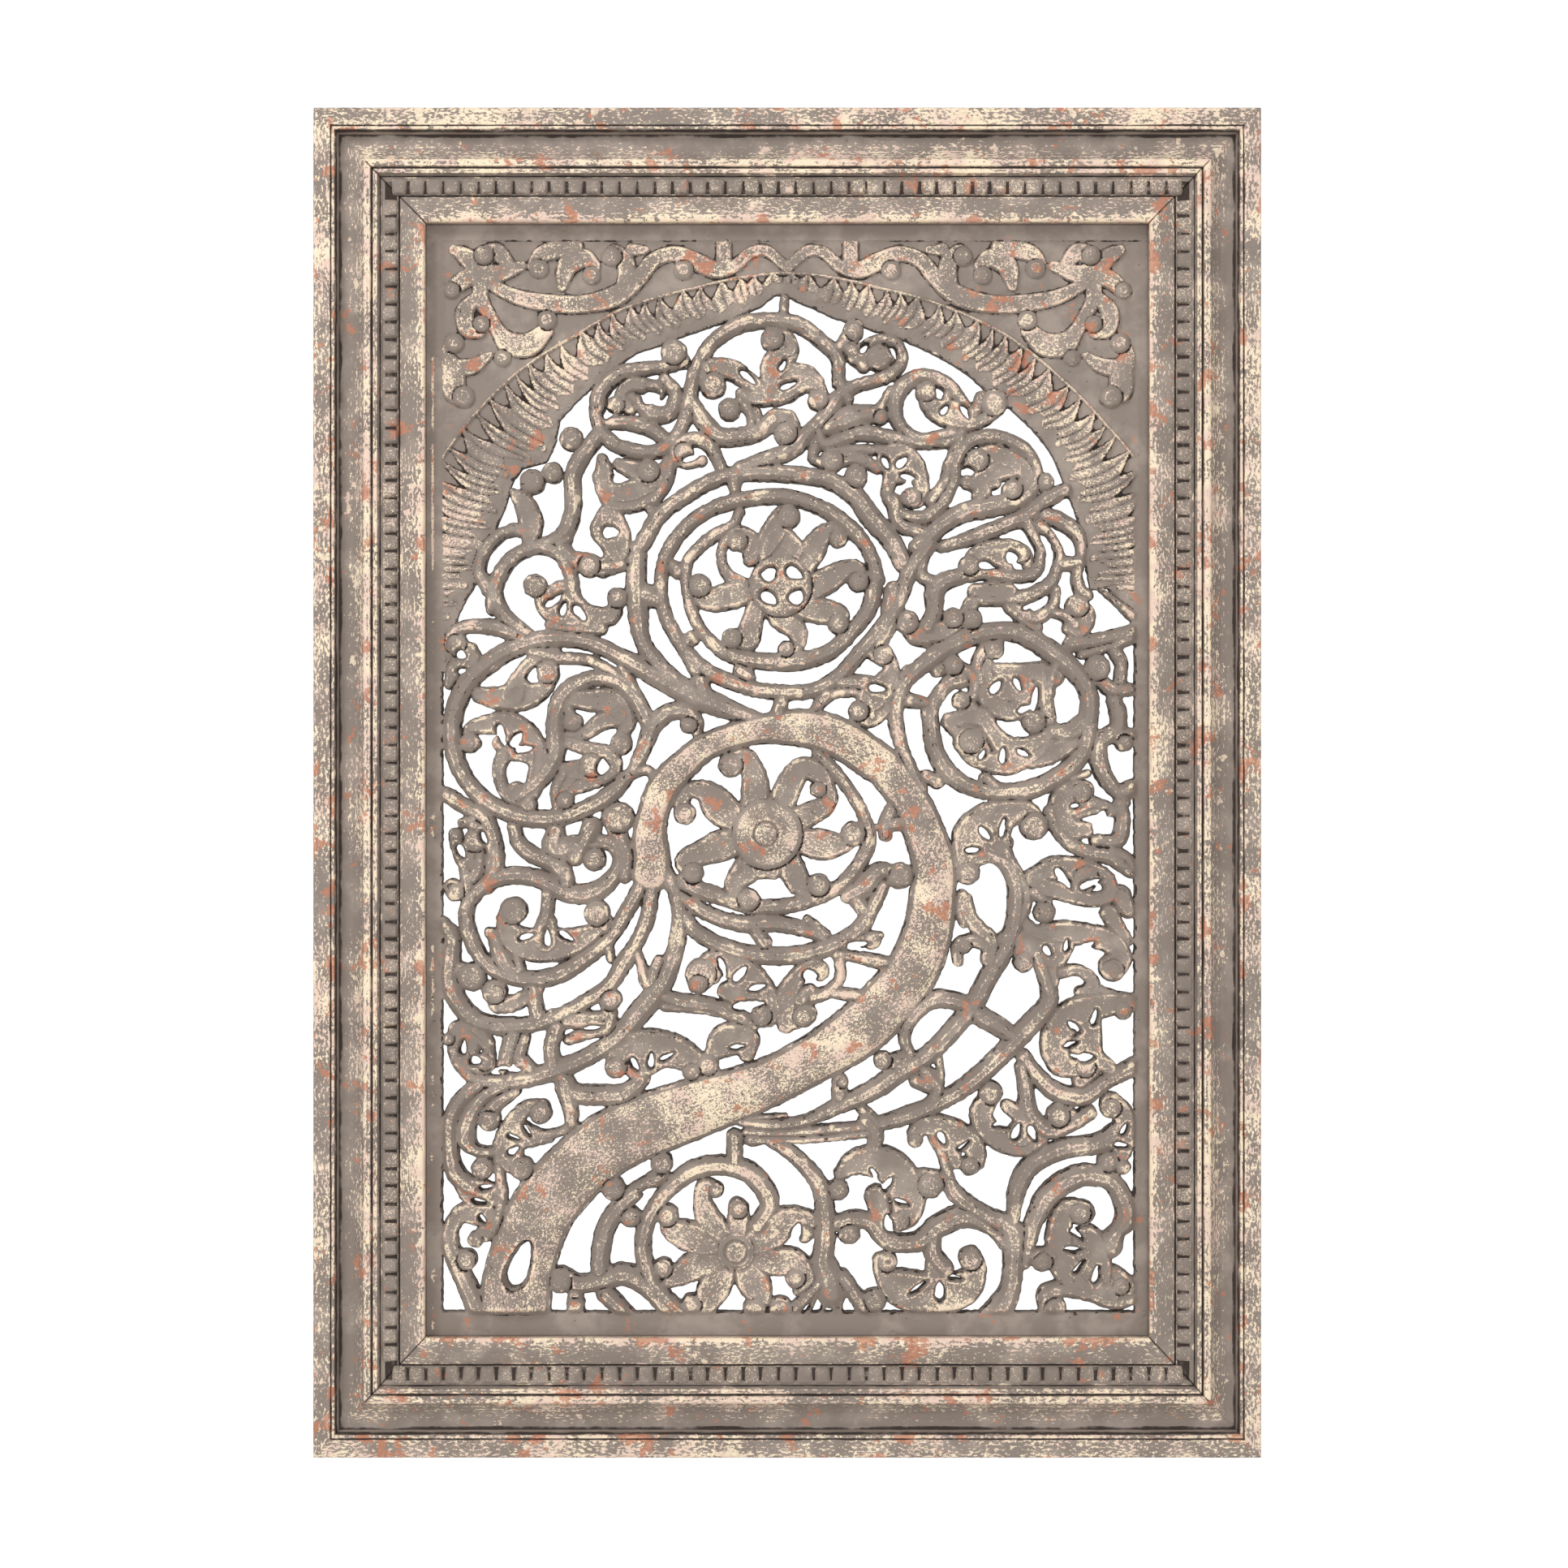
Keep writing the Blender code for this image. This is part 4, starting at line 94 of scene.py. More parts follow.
STEMS_RIGHT_FOOT = plan_strokes("""
232 166 8, 255 163 9, 280 166 9, 305 177 12, 333 190 15, 351 203 16, 374 217 14, 403 249 15, 416 272 15,
430 296 14, 437 320 14, 436 345 14, 428 358 12, 415 364 10; 236 158 6, 262 157 7, 300 160 8, 326 162 9,
350 168 13, 376 178 13, 400 192 14, 425 214 15, 446 236 16, 461 254 14, 459 272 12, 452 290 12; 240 152 10,
252 152 7, 280 152 6, 312 155 6, 330 158 8; 326 166 14, 332 158 14, 332 146 11; 224 166 8,
248 169 4, 266 170 3; 306 196 12,
306 184 13; 338 210 7, 349 209 17, 358 214 10, 354 228 10, 360 244 12, 376 256 14, 395 254 14, 408 246 13;
410 244 16, 424 236 15, 436 227 13; 304 90 12, 317 93 13, 329 90 13, 338 79 13, 350 75 14, 366 77 15,
380 88 17, 399 95 17, 417 86 9, 429 74 10; 418 14 26, 432 40 16, 435 62 16, 435 80 20, 430 88 16, 410 98 14,
391 113 13, 386 128 9, 382 142 9, 376 154 10; 434 80 9, 435 96 10, 438 116 14, 449 134 15, 472 145 15,
498 149 15, 510 156 16; 443 60 9, 446 76 12, 451 93 14, 462 112 17, 484 125 17, 506 122 15, 517 106 16,
518 92 16, 512 84 12, 506 74 20; 448 67 9, 455 66 13, 464 66 9; 384 56 14, 375 68 14, 376 84 11; 462 26 18,
460 38 14, 474 41 12, 492 37 11, 510 31 10, 526 35 9; 442 214 12, 453 199 13, 466 188 15, 486 184 14,
505 196 12, 526 207 14; 441 206 10, 444 190 12, 447 172 14, 460 159 13, 476 163 12, 491 172 12; 322 175 9,
330 168 9, 334 162 8; 366 208 6, 372 198 16, 378 190 12, 374 178 9; 379 212 8, 381 202 6, 379 190 9;
363 196 12, 372 192 12""")
LEAVES_RIGHT_FOOT = plan_strokes("""
306 127 10, 320 136 20, 342 133 27, 356 114 28, 355 97 21, 346 90 12; 333 110 18, 337 92 15; 336 62 12,
339 51 15, 354 41 30, 378 38 30, 398 42 26, 408 56 14, 404 66 14; 376 60 13, 378 48 20; 361 156 11, 370 163 16,
389 159 19, 404 149 18, 408 136 12, 401 130 9; 392 136 12, 388 148 12; 368 123 16, 384 122 12; 486 98 19,
473 99 17, 469 80 21, 473 58 23, 492 46 26, 506 40 20; 490 76 26, 496 56 26; 510 54 10, 520 44 14, 526 38 8;
419 187 14, 411 170 18, 421 155 18, 440 149 20, 456 152 9; 430 177 10, 444 166 16, 440 156 20; 507 180 16,
517 169 17, 516 150 18, 514 138 10, 505 134 12; 478 172 9, 468 170 12; 482 222 14, 488 228 12; 480 205 14,
469 209 19, 466 226 23, 477 244 23, 500 252 20, 524 254 14; 492 238 17, 495 216 14, 506 205 12; 484 196 12,
496 204 8, 498 214 8""")
BOSSES_RIGHT_FOOT = plan_points("""
229 70 13, 305 115 8, 313 83 8.5, 350 92 8, 341 62 8, 332 33 9, 373 119 10.5, 362 152 6, 402 133 7.5, 403 64 9,
456 62 8, 465 28 9, 514 44 7, 484 98 8.5, 505 136 8, 507 176 8, 468 170 9, 418 187 9, 338 211 7, 516 248 7,
488 206 8, 308 195 5, 516 132 6""")
SLOTS_RIGHT_FOOT = plan_points("""
332 126 12 3.2 -60, 342 120 13 4.5 55, 352 106 12 3.5 -20, 342 90 14 6 100, 364 43 18 3.2 38, 380 40 15 7 92,
392 50 11 3 -8, 382 153 12 5 -65, 398 148 12 3 38, 482 82 13 3 -38, 480 71 16 3.5 0, 483 58 13 3.2 50,
496 52 15 5 80, 426 164 13 4 12, 437 158 14 6 68, 449 157 13 5 -65, 517 160 10 4 62, 515 148 12 4 -10,
480 236 12 4 -35, 495 243 13 4.5 75, 477 223 12 3.5 20, 489 213 12 7 5, 274 84 14 7 75, 342 62 1 1 0""")
PETALS_LOW = plan_strokes("""
230 78 15, 231 97 17, 230 102 14; 222 80 15, 209 93 19, 204 107 14, 206 118 12, 214 117 8; 217 74 16,
199 79 24, 184 84 18, 177 88 9; 217 66 14, 203 61 22, 187 52 17, 178 46 8; 223 60 15, 214 45 25, 206 29 17;
234 60 15, 242 46 25, 250 34 12; 240 66 14, 258 62 22, 273 61 19, 282 50 13, 275 40 8; 242 76 20, 256 84 26,
268 95 16, 282 93 14, 290 92 8""")
BOSSES_FLOWER_LOW = plan_points("""
231 101 7.5, 178 96 8.5, 175 57 7.5, 196 30 8, 243 27 9, 262 27 9, 273 50 8, 280 83 7.5, 214 115 6""")
STEMS_LEFT = plan_strokes("""
163 352 14, 156 336 12, 146 318 12, 136 302 11, 118 287 13, 96 274 14, 74 271 13, 52 277 12, 38 290 12,
30 308 12, 30 326 12, 42 341 13, 62 348 14, 84 345 14, 104 335 15, 124 336 16, 137 346 13, 143 358 12,
140 371 11, 128 375 8; 168 352 12, 166 334 12, 163 316 12, 155 298 12, 146 284 14, 135 267 12, 113 252 12,
88 240 12, 60 236 14, 37 240 15, 23 254 15, 16 272 16, 18 292 14, 18 304 12, 10 312 12; 176 352 12, 185 334 13,
187 312 13, 183 290 14, 173 266 17, 157 246 18, 140 227 15, 116 212 14, 90 202 15, 62 195 12, 36 197 10,
22 212 10, 18 226 8; 172 284 10, 164 268 11, 158 284 8, 154 292 10; 174 346 8, 192 330 12, 212 318 12,
236 312 13, 262 312 13, 286 306 11, 296 300 8; 186 326 10, 198 308 12, 218 296 13, 244 289 14, 274 289 14,
300 296 14, 320 308 13, 330 324 12, 338 340 10; 208 336 13, 236 326 12, 262 325 12, 284 330 12, 304 339 11,
320 356 11, 328 374 11, 324 392 10, 314 410 10, 302 426 10, 290 438 10; 190 342 16, 212 333 12; 176 258 10,
190 254 13, 212 251 13, 232 243 12, 242 236 8; 176 251 8, 200 249 7, 222 245 6;
90 334 11, 88 318 11, 84 302 16; 66 290 8, 68 278 10, 58 282 16, 50 302 11,
46 306 8; 78 264 14, 80 252 12, 82 244 12; 64 230 14, 60 216 14, 56 206 10; 72 228 9, 68 214 12, 77 204 10;
96 236 14, 92 220 12, 94 206 14; 104 240 12, 120 240 12, 134 236 11, 135 248 12, 132 255 10; 105 226 8,
120 232 11, 134 233 8; 100 198 14, 108 187 15, 126 185 16, 146 186 15, 159 197 13; 102 192 16, 106 176 12,
107 164 10; 36 234 11, 45 222 8, 45 208 11, 38 204 9; 134 296 9, 136 286 6; 132 310 12, 128 322 10; 244 308 12,
250 298 12; 282 315 8, 296 304 8; 322 300 12, 336 304 6; 304 290 10, 316 288 9, 336 284 11, 344 284 8;
306 286 9, 306 272 9, 298 262 10, 286 258 12; 300 262 10, 310 260 10, 322 258 10, 328 252 10; 18 340 12,
30 336 10; 92 244 10, 130 243 9; 312 333 12, 324 340 18, 336 352 13, 350 348 10; 318 330 12, 324 322 12""")
LEAVES_LEFT = plan_strokes("""
63 323 18, 58 314 14, 66 300 22, 88 296 26, 110 300 20, 126 308 12, 134 314 8; 88 312 16, 88 300 20; 30 276 14,
22 280 10; 52 262 14, 52 252 12, 66 254 13, 82 264 10; 24 228 18, 22 236 10, 36 232 14, 44 224 12; 30 222 20,
30 210 12, 40 204 10; 138 208 13, 146 221 21, 164 222 25, 183 219 23, 197 212 17, 205 211 8; 156 205 19,
176 212 14, 192 207 8; 196 202 13, 200 210 10; 212 217 13, 222 226 25, 236 227 21, 237 216 13; 206 212 10,
212 204 10; 208 277 22, 212 284 18, 226 282 22, 243 271 20, 256 256 12, 256 242 10, 246 240 10; 222 262 14,
232 262 22, 246 262 18; 266 238 14, 266 256 18, 274 272 14, 286 282 12, 294 278 8; 284 262 12, 276 256 12;
270 243 20, 281 245 17""")
BOSSES_LEFT = plan_points("""
64 322 10.5, 126 320 10, 33 273 11, 50 262 9.5, 136 256 8.5, 140 206 8.5, 208 208 8.5, 203 275 12, 291 277 7.5,
279 244 9, 248 244 8, 330 300 7, 43 210 7, 21 336 7.5, 16 227 5, 196 203 7, 201 268 8, 349 346 8""")
SLOTS_LEFT = plan_points("""
74 303 13 3.5 18, 89 302 14 5 92, 103 303 13 4.5 -30, 27 221 12 4.5 80, 36 211 9 7 0, 154 208 12 4.5 -65,
166 211 12 4.5 85, 178 214 13 3.5 28, 60 205 20 3 0, 123 235 16 3 6, 219 280 16 4 -72, 232 275 15 6 50,
245 265 14 4.5 15, 284 274 11 8 -10, 230 221 12 3.5 8, 320 297 17 4 5, 238 252 24 6 8""")
STEMS_UPPER_LEFT = plan_strokes("""
44 340 12, 51 356 12, 50 374 11, 43 390 12, 30 398 12, 14 408 12; 166 360 10, 168 420 8, 152 424 10,
139 411 13, 122 400 13, 98 391 14, 72 391 14, 47 401 13, 28 420 13, 19 444 14, 20 470 14, 30 491 15, 46 506 15,
67 518 15, 92 524 14, 120 521 13, 148 508 14, 176 493 18, 207 478 19, 235 467 13, 252 462 11; 152 424 10,
160 441 12, 166 457 14, 177 468 14, 190 470 13, 200 463 10, 200 454 8; 66 404 10, 85 421 14, 95 440 15,
95 464 14, 102 483 15, 121 494 13, 140 492 12, 154 480 12, 163 463 13, 166 452 9; 78 514 10, 96 510 10,
118 508 9, 136 500 9, 146 492 9; 144 502 7, 149 494 9, 158 478 8; 96 398 7, 96 412 10, 102 424 10; 64 384 10,
68 372 12, 79 363 13, 92 358 14, 101 350 14, 103 342 12; 95 382 14, 95 368 20, 110 370 17; 122 384 16,
116 372 12, 110 362 14; 137 392 16, 143 376 14, 148 362 13, 146 348 12; 120 371 6, 134 370 7, 144 361 10;
21 378 11, 22 366 8, 28 354 10, 31 340 12; 34 386 10, 44 380 9, 48 366 9, 46 352 8; 26 387 8, 34 390 9;
40 366 6, 38 354 12, 34 346 12; 10 518 10, 24 531 10, 42 533 12, 58 530 13, 70 524 12; 74 528 10, 58 540 12,
50 556 12, 54 572 12, 66 586 11, 84 592 11, 98 586 11, 106 572 11, 109 556 10, 116 548 9; 46 560 12, 39 574 10,
42 588 10, 54 601 9, 64 604 8; 84 594 9, 96 598 11, 104 606 13, 108 622 13, 108 644 13, 114 658 13, 124 670 11;
98 594 10, 104 598 8; 48 546 10, 48 562 10; 100 590 14, 110 581 13, 121 578 13, 134 577 12, 144 579 11;
112 583 12, 122 579 16; 152 582 11, 161 597 13, 172 615 12, 193 631 12, 216 643 12, 240 647 13, 268 646 13,
296 642 13, 316 631 15, 330 613 16, 344 597 15, 353 580 14; 156 590 14, 155 568 16, 156 546 16, 159 524 13,
170 506 14, 184 492 14; 172 552 12, 162 556 18; 334 568 12, 328 588 11, 314 606 12, 294 620 12, 268 629 12,
240 628 12, 213 621 11, 191 606 11, 177 585 11, 173 562 10, 177 540 11, 188 520 12, 202 504 12, 217 495 12,
240 487 12, 264 484 12, 288 486 12, 306 497 12, 322 514 13, 338 532 14, 350 552 12, 358 574 13, 372 594 14;
332 568 13, 328 547 13, 315 529 12, 298 514 13, 276 507 14, 250 507 13, 226 511 12, 209 523 10, 198 540 10,
193 558 9, 192 578 9, 200 590 9, 212 600 10, 226 608 8, 232 618 8; 186 574 12, 182 578 10; 196 524 12,
190 520 12; 228 634 8, 228 644 14; 238 496 12, 232 500 12; 202 492 14, 206 480 14; 190 516 10, 200 500 12;
264 484 8, 262 474 12, 260 466 14""")
LEAVES_UPPER_LEFT = plan_strokes("""
36 446 8, 30 456 8, 44 460 15, 62 460 19, 76 449 19, 83 430 18, 78 410 12; 54 446 12, 62 446 14, 72 436 20;
56 436 12, 53 424 10, 58 410 10, 70 404 12, 80 414 12; 66 410 16, 76 400 12; 39 482 13, 51 480 17, 70 481 22,
86 486 12, 94 496 8; 64 482 20, 72 500 12, 82 510 10, 96 514 8; 106 466 8, 104 478 12, 121 478 17, 138 476 20,
148 462 14, 144 452 8; 104 452 6, 116 453 9, 129 462 14, 142 466 16; 104 446 8, 120 442 11, 134 439 11,
140 428 10, 132 420 8, 118 416 12, 106 412 10; 104 426 14, 116 426 18, 122 424 16; 104 406 9, 100 414 14,
108 424 14; 34 372 14, 30 362 14, 34 352 14; 85 560 10, 85 552 11, 90 544 14, 104 543 22, 122 541 16,
136 541 14, 141 552 10; 104 554 10, 104 544 18; 92 534 10, 110 534 14, 128 532 12; 88 556 8, 98 562 10,
106 562 8; 64 632 7, 72 624 16, 77 610 18, 76 598 13; 52 602 5, 64 605 9, 76 603 14; 134 616 16, 127 604 13,
135 594 14, 142 588 18, 146 602 10, 140 614 12; 136 592 12, 138 582 16, 130 576 14; 28 512 14, 20 500 12,
16 490 8; 30 514 16, 34 508 12, 26 502 8; 130 657 9, 132 642 15, 136 626 14, 150 624 14, 166 630 14,
174 642 12, 178 656 8; 142 653 10, 155 648 15, 168 642 18; 128 644 12, 134 632 14, 150 632 18, 164 638 18;
164 622 8, 170 614 8""")
BOSSES_UPPER_LEFT = plan_points("""
31 446 7.5, 108 462 7.5, 89 499 9, 144 446 8.5, 122 430 9.5, 102 404 7, 194 460 7, 124 360 9, 142 391 12,
36 374 9, 80 563 9, 141 554 8, 78 640 9.5, 120 578 9, 164 648 9, 107 672 9, 22 520 8, 93 647 8""")
SLOTS_UPPER_LEFT = plan_points("""
55 452 18 6 -72, 66 449 14 7 50, 72 442 15 5 8, 67 426 18 14 20, 78 497 12 7 70, 25 366 12 6 -60,
42 376 10 4 -65, 129 429 12 6 80, 93 551 14 5 25, 101 546 11 5 70, 113 543 15 6 -50, 136 603 13 9 0,
141 643 7 7 0, 25 512 9 6 -20, 26 500 8 4 10""")
PETALS_TOP = plan_strokes("""
250 590 18, 258 604 20, 264 616 14, 268 618 12; 240 584 14, 242 596 12, 232 602 12, 222 598 8, 218 584 8,
224 570 10, 236 564 10; 246 560 12, 226 556 21, 210 552 16, 200 554 8, 204 560 10; 244 548 14, 240 532 18,
238 522 16, 232 524 12; 254 546 12, 262 538 16, 274 530 16, 276 518 8, 270 514 8; 280 546 18, 294 544 20,
306 542 14, 306 536 12; 284 560 20, 298 568 20, 312 576 14, 320 576 10, 322 568 12; 276 576 22, 286 590 20,
294 602 14, 302 606 8, 306 600 8; 262 586 34, 262 596 24, 272 590 18""")
BOSSES_FLOWER_TOP = plan_points("""
202 563 9, 268 614 9, 305 598 7, 320 566 8, 305 535 8, 266 516 6.5, 226 524 8, 230 596 8, 262 563 24""")
SLOTS_FLOWER_TOP = plan_points("""
230 583 13 8 -60, 253.7 572 12 9.5 45, 272.5 572.5 14 8.5 -30, 274 555 12 10 60, 253.5 554 14 8 -35""")
PETALS_MID = plan_strokes("""
240 392 14, 243 406 22, 243 420 20, 236 435 16, 226 433 14; 232 386 16, 218 398 26, 207 410 18, 194 411 12,
188 402 12; 236 374 16, 220 371 24, 204 365 20, 191 359 15, 196 350 14; 244 366 16, 238 354 22, 228 342 16,
230 332 14; 248 354 18, 256 352 14; 266 364 18, 272 350 21, 277 340 16, 288 338 14; 276 374 18, 292 371 24,
306 371 16, 314 376 14; 272 388 20, 286 395 18, 296 400 14, 300 407 10, 297 414 9; 262 394 18, 266 410 21,
277 427 18, 290 424 16, 299 412 9""")
BOSSES_FLOWER_MID = plan_points("""
252 379 27, 225 430 9.5, 191 394 8.5, 197 350 8.5, 238 330 9, 290 341 9, 316 379 9.5, 290 412 6.5""")
STEMS_RIGHT = plan_strokes("""
353 440 10, 348 460 12, 348 476 13, 355 492 12, 370 506 14, 388 519 16, 413 528 15, 438 528 15, 462 515 16,
481 499 15, 491 482 14, 490 460 15, 485 438 14, 470 423 14, 448 412 15, 424 410 14, 402 414 13, 387 424 15,
378 438 14, 374 456 13, 375 474 11, 386 490 12, 397 494 14; 353 440 10, 360 424 11, 366 412 11; 370 470 8,
373 452 9, 378 434 9; 358 478 12, 370 476 9; 378 418 12, 370 422 10; 378 500 10, 390 504 9, 404 496 12,
406 482 10, 396 478 8; 410 492 10, 408 504 10, 414 516 11, 424 520 8; 460 484 12, 465 500 9, 470 510 8;
456 504 8, 460 470 12, 462 462 10; 464 455 12, 478 454 17, 489 464 14; 414 420 10, 424 412 10; 478 420 6,
490 424 6; 428 300 12, 441 318 10, 444 336 10, 435 353 11, 429 368 9, 430 384 9, 442 395 11; 450 336 12,
460 328 8; 462 396 10, 466 384 10, 477 372 11, 491 365 12, 507 362 13, 522 350 9; 496 374 10, 512 374 12,
516 388 12, 514 402 10; 508 366 12, 520 360 9, 526 348 6; 500 452 10, 498 436 14, 503 421 13, 511 411 11,
518 402 8; 508 454 14, 498 446 10; 512 452 12, 513 466 13, 510 478 12; 512 452 14, 524 452 12; 516 410 14,
526 414 14; 498 494 10, 508 486 12, 522 486 10; 514 492 10, 515 506 10, 510 518 11, 524 526 12; 478 520 13,
500 523 12, 524 529 13; 486 512 8, 506 518 8; 364 592 14, 374 601 14, 383 609 14, 397 617 15, 414 621 16,
430 624 15, 440 627 13, 448 634 12, 452 645 10, 449 657 9, 439 667 11, 420 674 11, 402 670 11, 392 656 10,
390 640 10, 380 622 11, 368 614 11, 352 616 10, 342 628 10; 382 592 9, 398 597 11, 413 602 13, 430 609 12,
445 615 13, 457 625 13, 473 634 11; 444 612 12, 450 600 8, 455 586 8, 450 572 10, 434 570 10, 410 572 10,
388 568 14, 377 560 16, 376 544 13, 371 532 14; 454 608 10, 463 600 6, 469 586 8, 466 572 9, 460 563 11,
444 555 12, 426 552 9, 408 552 9, 402 549 8; 458 616 12, 470 611 13, 482 602 11, 485 588 7, 482 572 9,
484 560 10, 490 556 9; 470 579 11, 483 580 11; 466 560 8, 464 548 9, 450 538 12, 440 544 10; 462 544 8,
474 540 9, 480 534 12; 368 584 10, 366 572 10, 374 566 10; 346 626 12, 350 610 12, 362 604 10, 376 600 10;
346 560 14, 342 544 12; 348 548 10, 342 532 12, 335 520 12; 352 536 8, 360 524 8, 370 522 10; 356 500 9,
352 480 9; 296 482 12, 290 474 10; 288 472 8, 300 482 8, 316 484 8, 328 478 8, 330 466 10; 305 492 10,
326 490 14, 340 482 20; 500 560 4, 510 552 5, 524 540 8; 326 514 8, 338 508 10; 344 396 12, 340 386 11,
340 378 10; 344 386 12, 354 388 14; 334 384 5, 342 384 8""")
LEAVES_RIGHT = plan_strokes("""
448 434 14, 462 438 16, 478 447 14; 396 480 9, 408 466 12, 400 462 10, 387 463 12, 394 452 9, 402 439 13,
413 433 14, 430 432 20, 448 440 18, 462 446 10; 392 464 12, 410 466 16, 419 455 13, 431 443 18, 450 446 13,
464 455 10; 402 448 24, 408 440 20; 416 508 8, 414 494 14, 418 478 18, 432 470 16, 446 476 16, 456 490 12,
456 500 8; 420 502 9, 436 498 16, 452 499 16, 465 495 15; 428 488 24, 440 486 24; 394 352 8, 398 362 15,
403 378 27, 416 390 25, 434 397 16, 448 396 12, 456 384 8; 394 356 10, 414 366 18, 426 372 18; 412 366 14,
428 360 12; 450 346 16, 466 354 18, 486 352 18, 504 346 12, 506 334 12, 492 330 12, 470 336 14, 456 340 16;
484 348 20, 478 340 12; 488 412 14, 475 408 20, 469 396 18, 477 383 16, 488 382 13; 478 400 18, 494 402 10,
506 398 10; 482 394 10, 494 396 6, 508 396 10; 400 571 10, 404 584 11, 416 590 14, 432 592 12, 444 588 8,
446 578 8; 408 584 14, 424 584 14, 432 574 8; 406 559 11, 418 559 15, 432 559 12; 398 540 10, 404 550 12;
396 538 10, 384 530 16, 372 528 16, 360 528 8, 356 540 10; 370 534 10, 377 544 10; 484 548 14, 490 540 12,
484 530 14, 476 532 10; 341 632 10, 344 646 12, 339 657 12, 350 660 20, 362 652 15, 367 636 12, 364 626 10;
349 648 20, 353 651 20; 334 650 8, 324 656 10, 312 658 12, 300 656 14; 404 652 14, 416 660 16, 432 656 16,
444 646 14, 442 634 10; 410 642 14, 424 648 16, 436 650 14; 400 640 10, 410 638 12, 420 640 12; 410 630 12,
412 634 14; 442 314 10, 452 306 12, 470 306 18, 490 304 18, 508 298 18, 516 286 14, 510 276 12; 442 290 16,
444 300 18, 456 296 20, 462 284 12, 462 270 14; 464 290 24, 470 296 20; 506 320 14, 512 310 12, 520 300 8;
514 334 16, 520 322 12; 398 330 13, 402 318 12, 410 308 12, 418 300 12, 416 286 12; 397 333 10, 396 322 10,
398 312 6; 394 284 8, 394 296 10, 404 300 10, 414 296 10; 470 276 9, 482 278 9, 492 272 10, 494 264 10,
484 262 8; 492 264 12, 504 262 6, 522 256 8; 508 280 20, 512 284 18; 330 480 24, 344 500 12, 340 512 12,
336 516 8; 320 466 14, 330 466 16, 342 478 18; 346 480 14, 346 500 10; 432 548 10, 444 540 14, 452 532 10""")
BOSSES_RIGHT = plan_points("""
403 448 10, 396 478 7, 420 516 8, 450 462 9, 497 502 10, 401 350 9, 450 385 11, 485 410 8, 488 346 10,
458 321 8.5, 404 538 8, 390 539 8, 356 536 9, 482 548 9, 441 587 7, 359 628 8, 318 644 9, 300 656 9, 408 656 9,
434 634 8, 508 278 9, 442 284 8, 351 348 10, 320 470 8, 338 512 8, 390 504 8, 402 578 8, 517 447 7, 458 640 7,
398 296 6""")
SLOTS_RIGHT = plan_points("""
412 438 9 4 55, 427 437 12 5 85, 442 439 11 4 -25, 422 488 13 6 50, 438 490 11 5 -60, 451 480 20 5 80,
444 472 14 4 20, 414 379 13 5 -48, 427 384 15 4.5 80, 405 367 12 4 0, 472 346 20 6 -52, 492 342 18 5 20,
482 400 11 2.6 8, 340 654 11 5 -65, 352 655 12 6 45, 357 644 13 4.5 -12, 460 292 10 5 -50, 474 296 10 4 82,
490 296 13 5 25, 334 487 13 6 -5, 500 388 18 12 75, 434 584 10 9 0, 490 288 16 5 15, 415 578 12 6 -10,
446 548 10 3 30, 402 648 9 6 0""")
STEMS_CROWN = plan_strokes("""
190 730 11, 178 726 9, 160 724 11, 142 720 12, 128 706 12, 126 690 12, 130 676 11, 144 666 12, 162 662 11,
178 666 11, 188 680 10, 194 696 12, 197 716 11, 204 733 11, 214 746 11, 232 757 12, 252 760 12, 275 757 12,
292 745 11, 304 732 11, 305 714 10; 134 684 9, 150 684 11, 166 679 12, 179 670 10; 176 716 10, 184 706 11,
180 692 12, 168 690 14, 160 696 12, 152 703 8; 180 668 10, 186 656 8; 118 664 12, 128 676 12; 184 668 10,
194 672 10, 206 670 12, 214 660 10, 218 650 10; 184 657 9, 192 655 10, 204 656 8; 181 654 9, 177 640 10,
168 626 10; 196 700 11, 206 684 14, 217 674 14, 232 674 14, 246 678 14, 256 686 14; 240 676 8, 240 690 8,
232 700 8; 246 684 8, 244 692 8; 206 726 10, 214 712 12; 232 650 12, 252 657 13, 272 665 13, 284 678 12,
296 690 12, 306 704 12, 320 712 10, 340 718 10, 352 728 9, 350 740 9, 340 746 8, 326 742 8, 318 732 8,
324 726 10; 306 714 10, 312 702 10; 290 678 8, 296 668 10, 320 676 12, 340 674 11, 366 669 9, 388 670 8,
396 676 9; 288 668 10, 286 658 8, 292 654 8; 298 680 12, 310 686 20, 326 690 16, 338 690 8; 390 676 10,
366 672 10, 351 682 10, 347 698 13, 353 711 13, 367 719 11, 384 714 11, 394 704 9, 400 696 8; 344 708 8,
338 698 8, 332 690 10; 396 672 9, 388 656 9, 384 640 10, 374 626 10; 306 740 10, 314 748 14; 264 762 8,
265 776 7; 308 742 8, 316 736 12""")
LEAVES_CROWN = plan_strokes("""
150 694 10, 144 704 10, 152 712 12, 166 710 12, 172 706 10; 142 698 14, 140 694 10; 205 718 10, 211 725 14,
226 723 16, 238 715 14, 247 708 12; 232 706 8, 240 702 10, 250 704 16, 264 708 20, 280 714 14, 292 708 10,
292 698 8; 236 720 8, 244 708 10; 254 716 14, 259 728 22, 270 738 12, 266 748 10, 256 746 8; 256 706 18,
264 718 20, 282 722 10, 290 714 10; 258 688 14, 268 686 14, 272 676 10, 266 670 10; 316 732 10, 330 730 12,
342 732 10; 384 700 8, 388 708 7; 406 690 8, 411 703 10; 369 706 10, 371 697 10, 380 689 12, 395 684 12,
408 684 10, 420 692 10, 426 704 8; 376 696 12, 392 692 16, 400 690 12; 300 660 12, 314 664 8, 330 664 8,
348 662 10, 364 654 10""")
